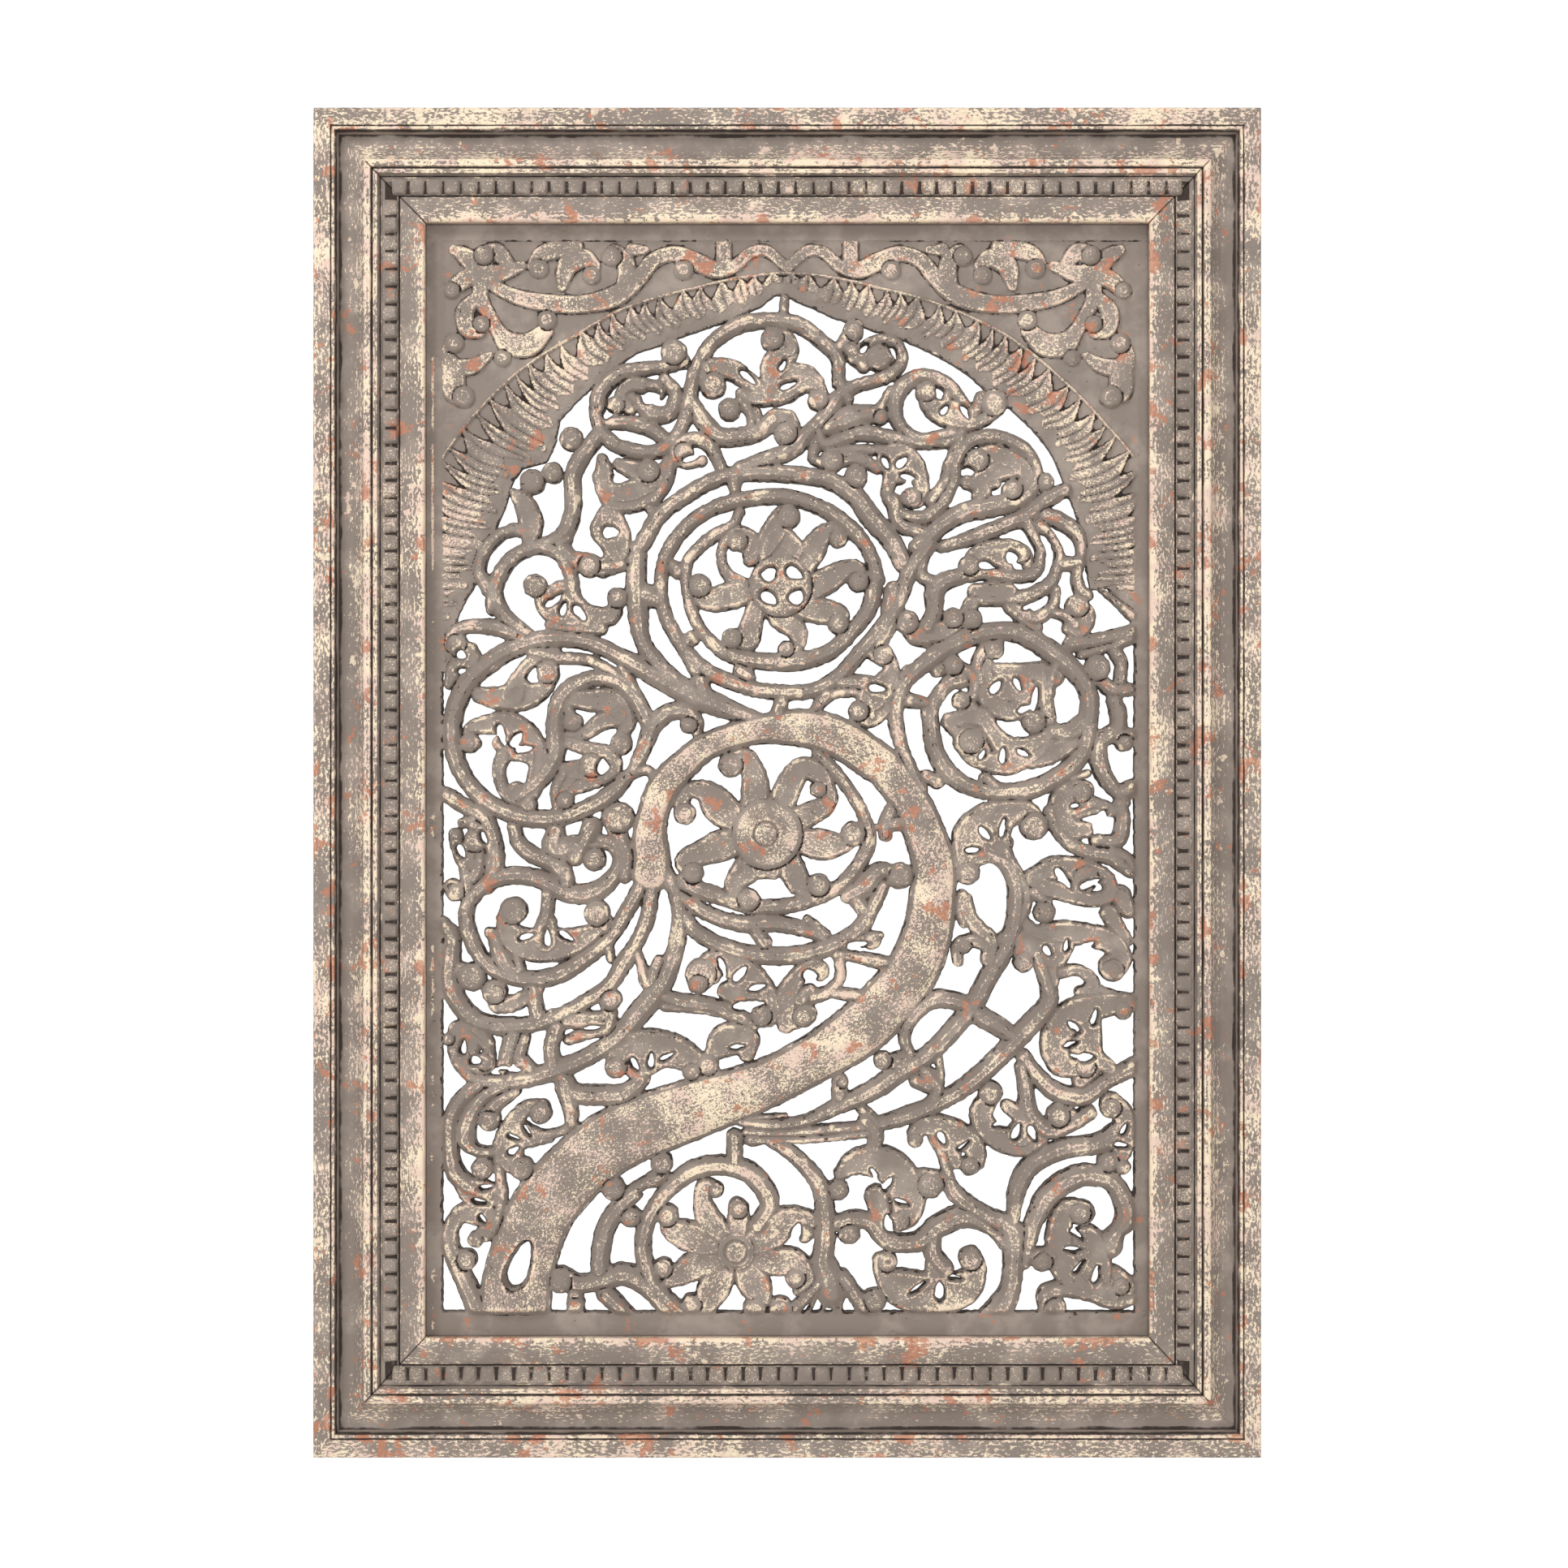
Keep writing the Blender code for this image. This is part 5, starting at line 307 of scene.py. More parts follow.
BOSSES_CROWN = plan_points("""
183 736 10, 212 712 10, 224 694 8.5, 256 746 9, 290 701 8, 335 732 10, 370 707 8, 420 698 10, 266 676 9,
140 697 7, 168 708 8, 190 662 8, 316 752 8, 336 688 6""")
SLOTS_CROWN = plan_points("""
264 727 11 4 65, 268 712 14 5 22, 238 718 16 5 -42, 166 703 14 10 15, 384 694 10 4 55, 399 692 12 5 -60,
134 690 8 6 0, 346 736 11 4 -70, 324 739 9 4 50, 196 658 14 5 15, 152 673 22 6 -8, 380 706 9 5 -75""")
ARCH_OUTER = plan_points("""
10 655, 30 683, 65 719, 110 748, 141 766, 198 783, 257 794, 277 794, 336 783, 393 766, 430 748, 470 716,
504 681, 524 658""")
ARCH_INNER = plan_points("""
22 540, 37 566, 44 590, 52 608, 58 622, 63 640, 70 650, 88 655, 95 668, 98 686, 124 712, 155 736, 171 741,
200 752, 224 760, 247 770, 258 779, 266 779, 275 774, 300 762.5, 330 753, 354 745, 384 731, 400 721, 415 707.5,
440 688, 454 674, 466 656, 474 634, 480 620, 486 602, 488 580, 492 560, 504 562, 516 550, 526 538""")
SPANDREL_STROKES = plan_strokes("""
267 799 8, 262 803 8, 252 811 9, 240 810 9, 228 800 10, 214 797 13, 200 803 14, 184 809 12, 168 804 12,
156 790 13, 140 778 16, 118 772 14, 94 772 14, 70 776 12, 52 784 10, 40 794 10; 100 785 8, 104 800 16,
116 806 14, 124 800 10; 78 800 8, 84 808 12, 96 812 14, 110 814 12; 146 784 12, 148 800 14, 140 810 12,
134 806 10; 20 812 8, 30 806 14, 40 796 16, 52 794 14, 70 800 8; 60 802 10, 52 810 14, 42 808 14; 18 782 12,
28 790 14, 40 794 14; 40 794 12, 40 776 12, 46 764 10, 54 750 12, 62 742 18, 76 742 18, 88 752 12; 36 776 10,
28 766 14, 30 754 14, 38 752 12; 20 742 14, 14 734 10, 18 722 20, 20 708 18, 28 702 14; 46 734 6, 34 726 12,
18 724 14; 220 816 12, 220 804 12; 188 806 8, 190 798 12; 152 812 10, 162 812 6""")
SPANDREL_BOSSES = plan_points("""
137 807 8, 122 793 7.5, 83 798 8, 42 808 8, 18 782 7, 20 743 8, 40 757 7, 56 732 7, 89 760 8, 27 703 9,
190 797 8""")
STEMS = STEMS_FOOT + STEMS_RIGHT_FOOT + STEMS_LEFT + STEMS_UPPER_LEFT + STEMS_RIGHT + STEMS_CROWN
LEAVES = LEAVES_FOOT + LEAVES_RIGHT_FOOT + LEAVES_LEFT + LEAVES_UPPER_LEFT + LEAVES_RIGHT + LEAVES_CROWN
PETALS = PETALS_LOW + PETALS_MID + PETALS_TOP
BOSSES = (BOSSES_FOOT + BOSSES_RIGHT_FOOT + BOSSES_LEFT + BOSSES_UPPER_LEFT + BOSSES_RIGHT + BOSSES_CROWN
          + BOSSES_FLOWER_LOW + BOSSES_FLOWER_MID + BOSSES_FLOWER_TOP)
ROSETTES = [(229, 70, 13.5), (251, 379, 14.5)]
SLOTS = (SLOTS_FOOT + SLOTS_RIGHT_FOOT + SLOTS_LEFT + SLOTS_UPPER_LEFT + SLOTS_RIGHT + SLOTS_CROWN
         + SLOTS_FLOWER_TOP)


class Section(Enum):
    """How a stroke of the carving is rounded across its width."""

    TRUNK = "broad and convex"
    STEM = "rounded with a soft ridge"
    LEAF = "dished between raised rims"
    RELIEF = "flat with dropped shoulders"


@dataclass(frozen=True)
class Sizes:
    """Sizes of the frame and the heights of the carving above the wall."""

    frame_width: float = 0.702
    frame_height: float = 1.000
    side_rail: float = 0.082
    top_rail: float = 0.084
    bottom_rail: float = 0.088
    rail_depth: float = 0.0305
    rebate: float = 0.0077
    board_back: float = 0.0035
    plan_left: float = -2.0
    plan_right: float = 536.0
    plan_bottom: float = 5.0
    plan_top: float = 833.0
    plan_axis: float = 267.0
    plan_middle: float = 416.0
    plan_spread: float = 1.007

    @property
    def scale_x(self) -> float:
        """Metres to a plan unit across the panel."""
        return (self.frame_width - 2 * self.side_rail) / (self.plan_right - self.plan_left)

    @property
    def scale_z(self) -> float:
        """Metres to a plan unit up the panel."""
        sight = self.frame_height - self.top_rail - self.bottom_rail
        return sight / (self.plan_top - self.plan_bottom)

    @property
    def foot(self) -> float:
        """Height of the frame's lower edge in the row frame."""
        return self.top_rail / 2 - self.frame_height

    def spread(self, x: "float | np.ndarray", z: "float | np.ndarray") -> tuple:
        """Plan place of carving read off the view, which shows it smaller than the frame before it."""
        middle = self.plan_middle
        return self.plan_axis + (x - self.plan_axis) * self.plan_spread, middle + (z - middle) * self.plan_spread

    def to_x(self, plan: np.ndarray) -> np.ndarray:
        """Row-frame x of a plan x."""
        return (plan - (self.plan_left + self.plan_right) / 2) * self.scale_x

    def to_z(self, plan: np.ndarray) -> np.ndarray:
        """Row-frame z of a plan z."""
        return self.foot + self.bottom_rail + (plan - self.plan_bottom) * self.scale_z


SIZES = Sizes()


def smooth_path(points: Stroke, step: float) -> np.ndarray:
    """Catmull-Rom samples along a stroke.

    Args:
        points: Knots of the stroke, (x, z, width).
        step: Distance between samples in plan units.

    Returns:
        An array of rows (x, z, width).
    """
    knots = np.array(points, dtype=float)
    ends = np.vstack([2 * knots[0] - knots[1], knots, 2 * knots[-1] - knots[-2]])
    parts = []
    for before, start, stop, after in zip(ends[:-3], ends[1:-2], ends[2:-1], ends[3:]):
        count = max(2, int(math.hypot(stop[0] - start[0], stop[1] - start[1]) / step))
        t = (np.arange(count) / count)[:, None]
        square = (2 * before - 5 * start + 4 * stop - after) * t * t
        cube = (3 * start - before - 3 * stop + after) * t * t * t
        parts.append(0.5 * (2 * start + (stop - before) * t + square + cube))
    parts.append(ends[-2][None, :])
    return np.vstack(parts)


def blur(values: np.ndarray, reach: int, passes: int = 2) -> np.ndarray:
    """Box blur of an array, run more than once for a soft falloff."""
    width = 2 * reach + 1
    for _ in range(passes):
        for axis in (0, 1):
            padded = np.pad(values, [(reach + 1, reach) if a == axis else (0, 0) for a in (0, 1)], mode="edge")
            total = np.cumsum(padded, axis=axis)
            if axis == 0:
                values = (total[width:] - total[:-width]) / width
            else:
                values = (total[:, width:] - total[:, :-width]) / width
    return values


def lattice_noise(shape: tuple[int, int], cell: float, seed: int) -> np.ndarray:
    """Smooth value noise between 0 and 1 over a grid.

    Args:
        shape: Rows and columns.
        cell: Cells of the grid to one lattice cell.
        seed: Seed of the lattice values.

    Returns:
        The noise at every grid point.
    """
    rows, columns = shape
    lattice = np.random.default_rng(seed).random((int(rows / cell) + 3, int(columns / cell) + 3))
    r = np.arange(rows) / cell
    c = np.arange(columns) / cell
    r0, c0 = r.astype(int), c.astype(int)
    fr = (r - r0)[:, None]
    fc = (c - c0)[None, :]
    fr, fc = fr * fr * (3 - 2 * fr), fc * fc * (3 - 2 * fc)
    low = lattice[r0][:, c0] * (1 - fc) + lattice[r0][:, c0 + 1] * fc
    high = lattice[r0 + 1][:, c0] * (1 - fc) + lattice[r0 + 1][:, c0 + 1] * fc
    return low * (1 - fr) + high * fr


@dataclass
class CarvedField:
    """Depth and height of the carving over a grid of the plan.

    Depth is positive in the wood and negative in an opening. Height is in
    plan units above the wall.
    """

    step: float = 0.9
    margin_height: float = 14.3
    ground_height: float = 12.0
    edge_height: float = 13.4
    stem_rise: float = 6.0
    trunk_rise: float = 7.4
    margin_left: float = 9.3
    margin_right: float = 526.5
    margin_bottom: float = 21.6
    margin_top: float = 821.5
    arch_centre: float = 500.0
    crown_foot: float = 545.0
    arch_bevel: float = 9.0
    tongue_radius: float = 297.0
    tongue_pitch: float = 14.0
    tongue_foot: float = 13.2
    pocket_height: float = 12.7
    scribe_z: float = 821.3
    scribe_left: float = 48.0
    arris_x: float = 2.2
    arris_top: float = 735.0
    base_height: float = 14.2
    least_height: float = 11.2
    most_depth: float = 6.0
    bevel_width: float = 3.0
    bevel_rise: float = 5.4
    edge_waver: float = 0.9
    tool_mark: float = 0.5
    dent: float = 2.2
    run_shift: float = 91.0

    def __post_init__(self) -> None:
        """Lays out the grid."""
        edge_x = SIZES.rebate / SIZES.scale_x
        edge_z = SIZES.rebate / SIZES.scale_z
        self.x0, self.x1 = SIZES.plan_left - edge_x, SIZES.plan_right + edge_x
        self.z0, self.z1 = SIZES.plan_bottom - edge_z, SIZES.plan_top + edge_z
        self.columns = int((self.x1 - self.x0) / self.step) + 2
        self.rows = int((self.z1 - self.z0) / self.step) + 2
        self.step_x = (self.x1 - self.x0) / (self.columns - 1)
        self.step_z = (self.z1 - self.z0) / (self.rows - 1)
        self.xs = self.x0 + np.arange(self.columns) * self.step_x
        self.zs = self.z0 + np.arange(self.rows) * self.step_z
        shape = (self.rows, self.columns)
        self.depth = np.full(shape, -self.most_depth)
        self.height = np.full(shape, 0.0)
        self.worn = np.full(shape, -0.2)
        self.run = np.stack(np.broadcast_arrays(self.xs[None, :], self.zs[:, None]), axis=-1).copy()
        self.strokes = 0

    def window(self, x0: float, x1: float, z0: float, z1: float) -> tuple[slice, slice]:
        """The grid's rows and columns that hold a box of the plan."""
        left = max(0, int((x0 - self.x0) / self.step_x))
        right = min(self.columns, int((x1 - self.x0) / self.step_x) + 2)
        low = max(0, int((z0 - self.z0) / self.step_z))
        high = min(self.rows, int((z1 - self.z0) / self.step_z) + 2)
        return slice(low, max(low, high)), slice(left, max(left, right))

    def section_height(self, section: Section, t: np.ndarray, width: np.ndarray) -> tuple[np.ndarray, np.ndarray]:
        """Height and wear of a stroke across its width.

        Args:
            section: Kind of cross-section.
            t: Share of the half width from the middle, 0 to 1.
            width: Width of the stroke there.

        Returns:
            Heights in plan units, and 1 on the top down to 0 on the bevel.
        """
        t = np.clip(t, 0, 1)
        edge = (1 - t) * width / 2
        if section is Section.TRUNK:
            top = np.clip((edge - 2.6) / 1.2, 0, 1)
            return 15.0 + self.trunk_rise * (1 - t ** 2.8) + 0.9 * top, top
        if section is Section.STEM:
            rise = np.clip(width * 0.46, 2.4, self.stem_rise)
            slope = np.clip((t - 0.34) / 0.66, 0, 1)
            groove = 0.45 * np.exp(-(t / 0.16) ** 2) * np.clip((width - 9) / 3, 0, 1)
            return self.base_height + rise * (1 - slope) - groove, np.clip((0.42 - t) / 0.10, 0, 1)
        if section is Section.RELIEF:
            rise = np.clip(width * 0.40, 2.8, 4.6)
            dropped = self.ground_height + rise * (1 - t ** 8) ** 0.6 - 0.5 * (1 - t * t)
            return dropped, np.clip((0.95 - t) / 0.1, 0, 1)
        top = np.clip((edge - 1.7) / 0.9, 0, 1)
        dish = np.clip(width * 0.10, 0.5, 2.0) * np.clip(1 - (t / 0.75) ** 2, 0, 1)
        rise = np.clip(width * 0.3, 1.6, 3.6)
        return self.base_height + rise * np.clip(edge / 2.3, 0, 1) ** 0.9 - dish + 0.7 * top, top

    def add_stroke(self, points: Stroke, section: Section, worn: float = 0.0, opens: bool = True) -> None:
        """Carves one stroke.

        Args:
            points: Knots of the stroke.
            section: Kind of cross-section.
            worn: How much of the paint is worn off it, 0 to 1.
            opens: Whether the stroke is wood where there was none.
        """
        path = smooth_path(points, 1.2)
        path[:, 0], path[:, 1] = SIZES.spread(path[:, 0], path[:, 1])
        reach = path[:, 2].max() / 2 + 4
        rows, columns = self.window(path[:, 0].min() - reach, path[:, 0].max() + reach,
                                    path[:, 1].min() - reach, path[:, 1].max() + reach)
        xs, zs = self.xs[columns], self.zs[rows]
        if not len(xs) or not len(zs):
            return
        share = np.full((len(zs), len(xs)), 9.0)
        inside = np.full((len(zs), len(xs)), -9.0)
        widths = np.full((len(zs), len(xs)), 1.0)
        run = np.zeros((len(zs), len(xs), 2))
        gone = 0.0
        last = path[0]
        self.strokes += 1
        shift = self.run_shift * self.strokes
        for row in path:
            x, z, width = row
            gone += math.hypot(x - last[0], z - last[1])
            last = row
            half = max(width, 2.4) / 2
            pad = half + 3
            left, right = np.searchsorted(xs, (x - pad, x + pad))
            low, high = np.searchsorted(zs, (z - pad, z + pad))
            if right <= left or high <= low:
                continue
            away = np.hypot(xs[None, left:right] - x, zs[low:high, None] - z)
            patch = share[low:high, left:right]
            nearer = away / half < patch
            share[low:high, left:right] = np.where(nearer, away / half, patch)
            widths[low:high, left:right] = np.where(nearer, 2 * half, widths[low:high, left:right])
            run[low:high, left:right, 0] = np.where(nearer, gone + shift, run[low:high, left:right, 0])
            run[low:high, left:right, 1] = np.where(nearer, away, run[low:high, left:right, 1])
            inside[low:high, left:right] = np.maximum(inside[low:high, left:right], half - away)
        if opens:
            self.depth[rows, columns] = np.maximum(self.depth[rows, columns], inside)
        tall, top = self.section_height(section, share, widths)
        height = np.where(inside > 0, tall, 0)
        above = height > self.height[rows, columns]
        self.height[rows, columns] = np.where(above, height, self.height[rows, columns])
        self.worn[rows, columns] = np.where(above, worn * top - 0.9 * (1 - top), self.worn[rows, columns])
        self.run[rows, columns] = np.where(above[..., None], run, self.run[rows, columns])

    def add_boss(self, x: float, z: float, radius: float, foot: float = 16.2, opens: bool = True) -> None:
        """Carves a low round boss, the curled tip of a leaf.

        Args:
            x: Plan x of its middle.
            z: Plan z of its middle.
            radius: Radius of the boss.
            foot: Height at its rim.
            opens: Whether the boss is wood where there was none.
        """
        x, z = SIZES.spread(x, z)
        pad = radius + 4
        rows, columns = self.window(x - pad, x + pad, z - pad, z + pad)
        across, up = self.xs[None, columns] - x, self.zs[rows, None] - z
        away = np.hypot(across, up)
        if opens:
            self.depth[rows, columns] = np.maximum(self.depth[rows, columns], radius - away)
        core = radius - 0.6
        rise = min(3.0, radius * 0.36)
        bevel = min(3.4, radius * 0.45)
        turn = np.arctan2(up, across) / (2 * math.pi)
        spiral = np.exp(-((away - (0.62 + 0.5 * turn) * radius) / 0.8) ** 2) * (np.abs(turn) < 0.3)
        dome = foot - 0.6 + rise * np.clip((core - away) / bevel, 0, 1) ** 0.8 - 0.6 * spiral * (6.4 < radius < 14)
        shaded = np.clip(0.42 + (across - up * 1.1) / np.maximum(away, 1) * 0.5, 0, 1)
        ring = (away >= core) & (away < radius + 0.45)
        here = self.height[rows, columns]
        cut = foot + 0.6 - 2.6 * shaded
        here = np.where(away < core, np.maximum(dome, np.minimum(here, dome + 0.4)), here)
        here = np.where(ring, np.minimum(np.where(here <= 0, foot, here), np.where(shaded > 0.6, cut, 30.0)), here)
        self.height[rows, columns] = here
        top = np.clip((core - 0.85 * bevel - away) / 0.8, 0, 1)
        self.worn[rows, columns] = np.where(away < core, 0.25 * top - 0.8 * (1 - top), self.worn[rows, columns])

    def add_rosette_boss(self, x: float, z: float, radius: float) -> None:
        """Carves a flower's round middle, with a ring cut in it."""
        x, z = SIZES.spread(x, z)
        pad = radius + 3
        rows, columns = self.window(x - pad, x + pad, z - pad, z + pad)
        away = np.hypot(self.xs[None, columns] - x, self.zs[rows, None] - z)
        dome = 19.6 + 1.2 * np.sqrt(np.clip(1 - (away / radius) ** 2, 0, 1))
        dome = dome - 1.9 * np.exp(-((away - 0.62 * radius) / 1.0) ** 2)
        dome = dome - 1.2 * np.exp(-((away - 0.90 * radius) / 1.1) ** 2)
        self.height[rows, columns] = np.where(away < radius, dome, self.height[rows, columns])

    def cut_slot(self, x: float, z: float, length: float, width: float, angle: float) -> None:
        """Pierces a tear-shaped slot and raises a lip round it."""
        x, z = SIZES.spread(x, z)
        pad = length / 2 + 5
        rows, columns = self.window(x - pad, x + pad, z - pad, z + pad)
        turn = math.radians(angle)
        across = self.xs[None, columns] - x
        along = self.zs[rows, None] - z
        u = across * math.cos(turn) + along * math.sin(turn)
        v = along * math.cos(turn) - across * math.sin(turn)
        share = np.clip(2 * u / length, -1, 1)
        half = width / 2 * np.sqrt(1 - share * share) * (1 - 0.35 * share)
        inner = np.minimum(half - np.abs(v), length / 2 - np.abs(u))
        self.depth[rows, columns] = np.minimum(self.depth[rows, columns], -inner)
        lip = np.exp(-((inner + 1.7) / 0.9) ** 2)
        here = self.height[rows, columns]
        self.height[rows, columns] = np.where(here > 14, here + lip, here)
        self.worn[rows, columns] = np.maximum(self.worn[rows, columns], 0.7 * lip)

    def carve_vine(self) -> None:
        """Carves the trunk, stems, leaves, petals and bosses, then the slots."""
        for stroke in LEAVES:
            self.add_stroke(stroke, Section.LEAF, 0.0)
        for stroke in STEMS:
            self.add_stroke(stroke, Section.STEM, 0.12)
        for stroke in TRUNK:
            self.add_stroke(stroke, Section.TRUNK, 0.45)
        for stroke in PETALS:
            self.add_stroke(stroke, Section.LEAF, 0.05)
        for boss in BOSSES:
            self.add_boss(*boss)
        for rosette in ROSETTES:
            self.add_rosette_boss(*rosette)
        for slot in SLOTS:
            self.cut_slot(*slot)

    def carve_margins(self) -> None:
        """Lays the flat margins of the board round the vine."""
        xs, zs = self.xs[None, :], self.zs[:, None]
        side = np.maximum(self.margin_left - xs, xs - self.margin_right)
        margin = np.maximum(np.maximum(side, self.margin_bottom - zs), zs - self.margin_top)
        self.depth = np.maximum(self.depth, np.clip(margin, -self.most_depth, self.most_depth))
        fade = np.clip((margin + 3) / 5, 0, 1)
        flat = np.where(self.height > 0, self.height, self.margin_height)
        self.height = np.where(margin > -3, flat + (self.margin_height - flat) * fade, self.height)
        self.worn = np.where(margin > 0, -0.75, self.worn)

    def carve_crown(self) -> None:
        """Carves the arch with its tongues, and the ground above it."""
        across, up = self.xs[None, :] - SIZES.plan_axis, self.zs[:, None] - self.arch_centre
        angle = np.arctan2(up, across)
        radius = np.hypot(across, up)
        outer = self.round_the_arch(ARCH_OUTER, angle)
        inner = self.round_the_arch(ARCH_INNER, angle)
        band = radius - inner
        wood = np.where(angle > 0.1, band, -self.most_depth)
        self.depth = np.maximum(self.depth, np.clip(wood, -self.most_depth, self.most_depth))
        self.crown_edge = np.minimum(band - 4, self.zs[:, None] - self.crown_foot)
        below = np.maximum(outer - inner - self.arch_bevel, 6)
        share = (outer - radius) / below
        cell, tongue, ridge, pocket = self.tongues(angle, share)
        level = np.where(share < 0, self.ground_height + np.clip(1 + share * 3, 0, 1), tongue)
        plain = self.arch_bevel * np.clip(band / self.arch_bevel, 0, 1)
        end = share + 0.10 * np.sin(cell * 5.0)
        level = np.where(end > 1, 13.0 + 0.16 * plain, level)
        fillet = np.exp(-((radius - outer - 0.4) / 1.1) ** 2)
        level = np.maximum(level, 12.4 + 3.1 * fillet * (np.abs(radius - outer) < 3))
        worn = np.where(share < 0, -0.75, np.where(pocket | (end > 1), -0.8, 0.25 * ridge))
        worn = np.maximum(worn, fillet * 0.8 - 0.4)
        crown = (band > 0) & (angle > 0.1) & (self.zs[:, None] < self.margin_top)
        crown = crown & (self.xs[None, :] > self.margin_left - 4) & (self.xs[None, :] < self.margin_right + 4)
        hidden = ~((self.height > level) & (band < 6))
        self.height = np.where(crown & hidden, level, self.height)
        self.worn = np.where(crown & hidden, worn, self.worn)

    def tongues(self, angle: np.ndarray, share: np.ndarray) -> tuple[np.ndarray, ...]:
        """The row of carved tongues that runs along the arch.

        Args:
            angle: Angle about the arch's centre.
            share: Place across the row, from 0 at its outer line to 1 at its inner one.

        Returns:
            Count along the row, height, 1 on a tongue's ridge, and the pockets between their tips.
        """
        side = np.clip((math.pi / 2 - angle) * 2.5, -1, 1)
        lean = side * (0.35 * np.sin(math.pi * np.clip(share, 0, 1)) - 0.25 * np.clip(share, 0, 1))
        cell = angle * self.tongue_radius / self.tongue_pitch + lean
        cell = cell + 0.16 * np.sin(cell * 0.9) + 0.1 * np.sin(cell * 2.3)
        phase = cell - np.floor(cell)
        fine = 2 * cell - np.floor(2 * cell)
        ridge = np.sqrt(np.clip(1 - (2 * fine - 1) ** 2, 0, 1))
        tall = self.tongue_foot + 2.7 * ridge - 0.9 * np.clip(share - 0.75, 0, 1)
        tip = 0.46 + 0.14 * np.sin(np.floor(cell) * 2.1)
        pocket = (np.abs(phase - 0.5) < 0.46 * np.clip(1 - share / tip, 0, 1) ** 0.8) & (share < tip)
        tall = np.where(pocket, self.pocket_height, np.where(share < tip, tall + 0.5, tall))
        return cell, tall, ridge, pocket

    def carve_spandrels(self) -> None:
        """Lays the arabesque of the left spandrel over the ground, and its mirror at the right."""
        for stroke in SPANDREL_STROKES:
            for points in (stroke, [(2 * SIZES.plan_axis - x, z, w) for x, z, w in stroke]):
                self.add_stroke(points, Section.RELIEF, 0.3, opens=False)
        for x, z, radius in SPANDREL_BOSSES:
            for place in (x, 2 * SIZES.plan_axis - x):
                self.add_boss(place, z, radius, self.base_height, opens=False)

    def round_the_arch(self, line: Stroke, angle: np.ndarray) -> np.ndarray:
        """Radius of a line of the arch at each angle about the arch's centre."""
        line = [SIZES.spread(x, z) for x, z in line]
        turns = [math.atan2(z - self.arch_centre, x - SIZES.plan_axis) for x, z in line]
        reach = [math.hypot(z - self.arch_centre, x - SIZES.plan_axis) for x, z in line]
        order = np.argsort(turns)
        return np.interp(angle, np.array(turns)[order], np.array(reach)[order])

    def distance_to_opening(self, reach: int) -> np.ndarray:
        """Distance from every grid point to the nearest opening, up to a reach in cells."""
        opening = np.pad(self.depth <= 0, reach)
        best = np.full(self.depth.shape, (reach + 1) * self.step)
        for dr in range(-reach, reach + 1):
            for dc in range(-reach, reach + 1):
                away = math.hypot(dr * self.step_z, dc * self.step_x)
                if away > reach * self.step:
                    continue
                moved = opening[reach + dr:reach + dr + self.rows, reach + dc:reach + dc + self.columns]
                best = np.where(moved & (away < best), away, best)
        return best

    def finish_surface(self) -> None:
        """Bevels the edges of the openings, marks the wear and the painted shade, and adds tool marks and dents."""
        shape = self.height.shape
        self.depth = blur(self.depth, 1, 1) + (lattice_noise(shape, 3.2, 8) - 0.5) * self.edge_waver
        gap = np.minimum(self.distance_to_opening(5), np.maximum(self.depth, 0) + 0.4)
        gap = np.where(self.depth > 3.5, self.most_depth, gap)
        limit = self.edge_height + self.bevel_rise * np.clip(gap / self.bevel_width, 0, 1)
        near = gap < self.bevel_width
        self.height = np.where(near, np.minimum(self.height, limit), self.height)
        self.worn = np.where(gap < 2.0, np.minimum(self.worn, -0.8), self.worn)
        self.height = np.maximum(self.height, self.least_height)
        self.mark_wear_and_shade(gap)
        self.height = 0.85 * self.height + 0.15 * blur(self.height, 1, 1)
        marks = lattice_noise(shape, 7, 3) + 0.5 * lattice_noise(shape, 3.1, 4)
        dents = np.clip(lattice_noise(shape, 9, 5) * lattice_noise(shape, 2.6, 6) - 0.52, 0, 1)
        carved = np.clip((self.height - 12.5) / 3, 0.35, 1)
        self.height = self.height + (marks - 0.75) * self.tool_mark * carved - dents * self.dent

    def mark_wear_and_shade(self, gap: np.ndarray) -> None:
        """Marks crevices, which the paint darkens as painted shade and dirt, and ridges where the surface bends, with
        painted shade round the openings' rims, the scribe line and the worn arris.

        Args:
            gap: Distance to the nearest opening.
        """
        shape = self.height.shape
        bend = self.height - blur(self.height, 2, 2)
        # Painted shade: the hollows of the bend, where shade would gather, are marked as crevices that the paint
        # darkens.
        self.crevice = np.clip(-bend / 1.15 - 0.12, 0, 1.1) * np.clip((gap - 1.2) / 1.2, 0.25, 1)
        self.ridge = np.clip(bend / 0.75, 0, 1.2)
        # Painted shade: a broken line round every opening's rim, where its wall would show in shadow.
        rim = np.exp(-((gap - 0.6) / 1.1) ** 2) * (lattice_noise(shape, 5.0, 51) > 0.46)
        scribe = np.exp(-((self.zs[:, None] - self.scribe_z) / 0.8) ** 2) * (self.xs[None, :] > self.scribe_left)
        scribe = scribe * (lattice_noise(shape, 24.0, 52) > 0.35)
        self.crevice = np.maximum(self.crevice, np.maximum(0.95 * rim, scribe))
        arris = np.exp(-((self.xs[None, :] - self.arris_x) / 1.1) ** 2) * (self.zs[:, None] < self.arris_top)
        arris = arris * (lattice_noise(shape, 26.0, 53) > 0.5)
        self.worn = np.where(arris > 0.4, 0.9, self.worn)
        self.ridge = np.maximum(self.ridge, arris)


class Part(Enum):
    """The parts that the board is meshed in, to keep each one light."""

    LOWER_VINE = "carved_panel_lower_vine"
    UPPER_VINE = "carved_panel_upper_vine"
    CROWN = "carved_panel_crown"


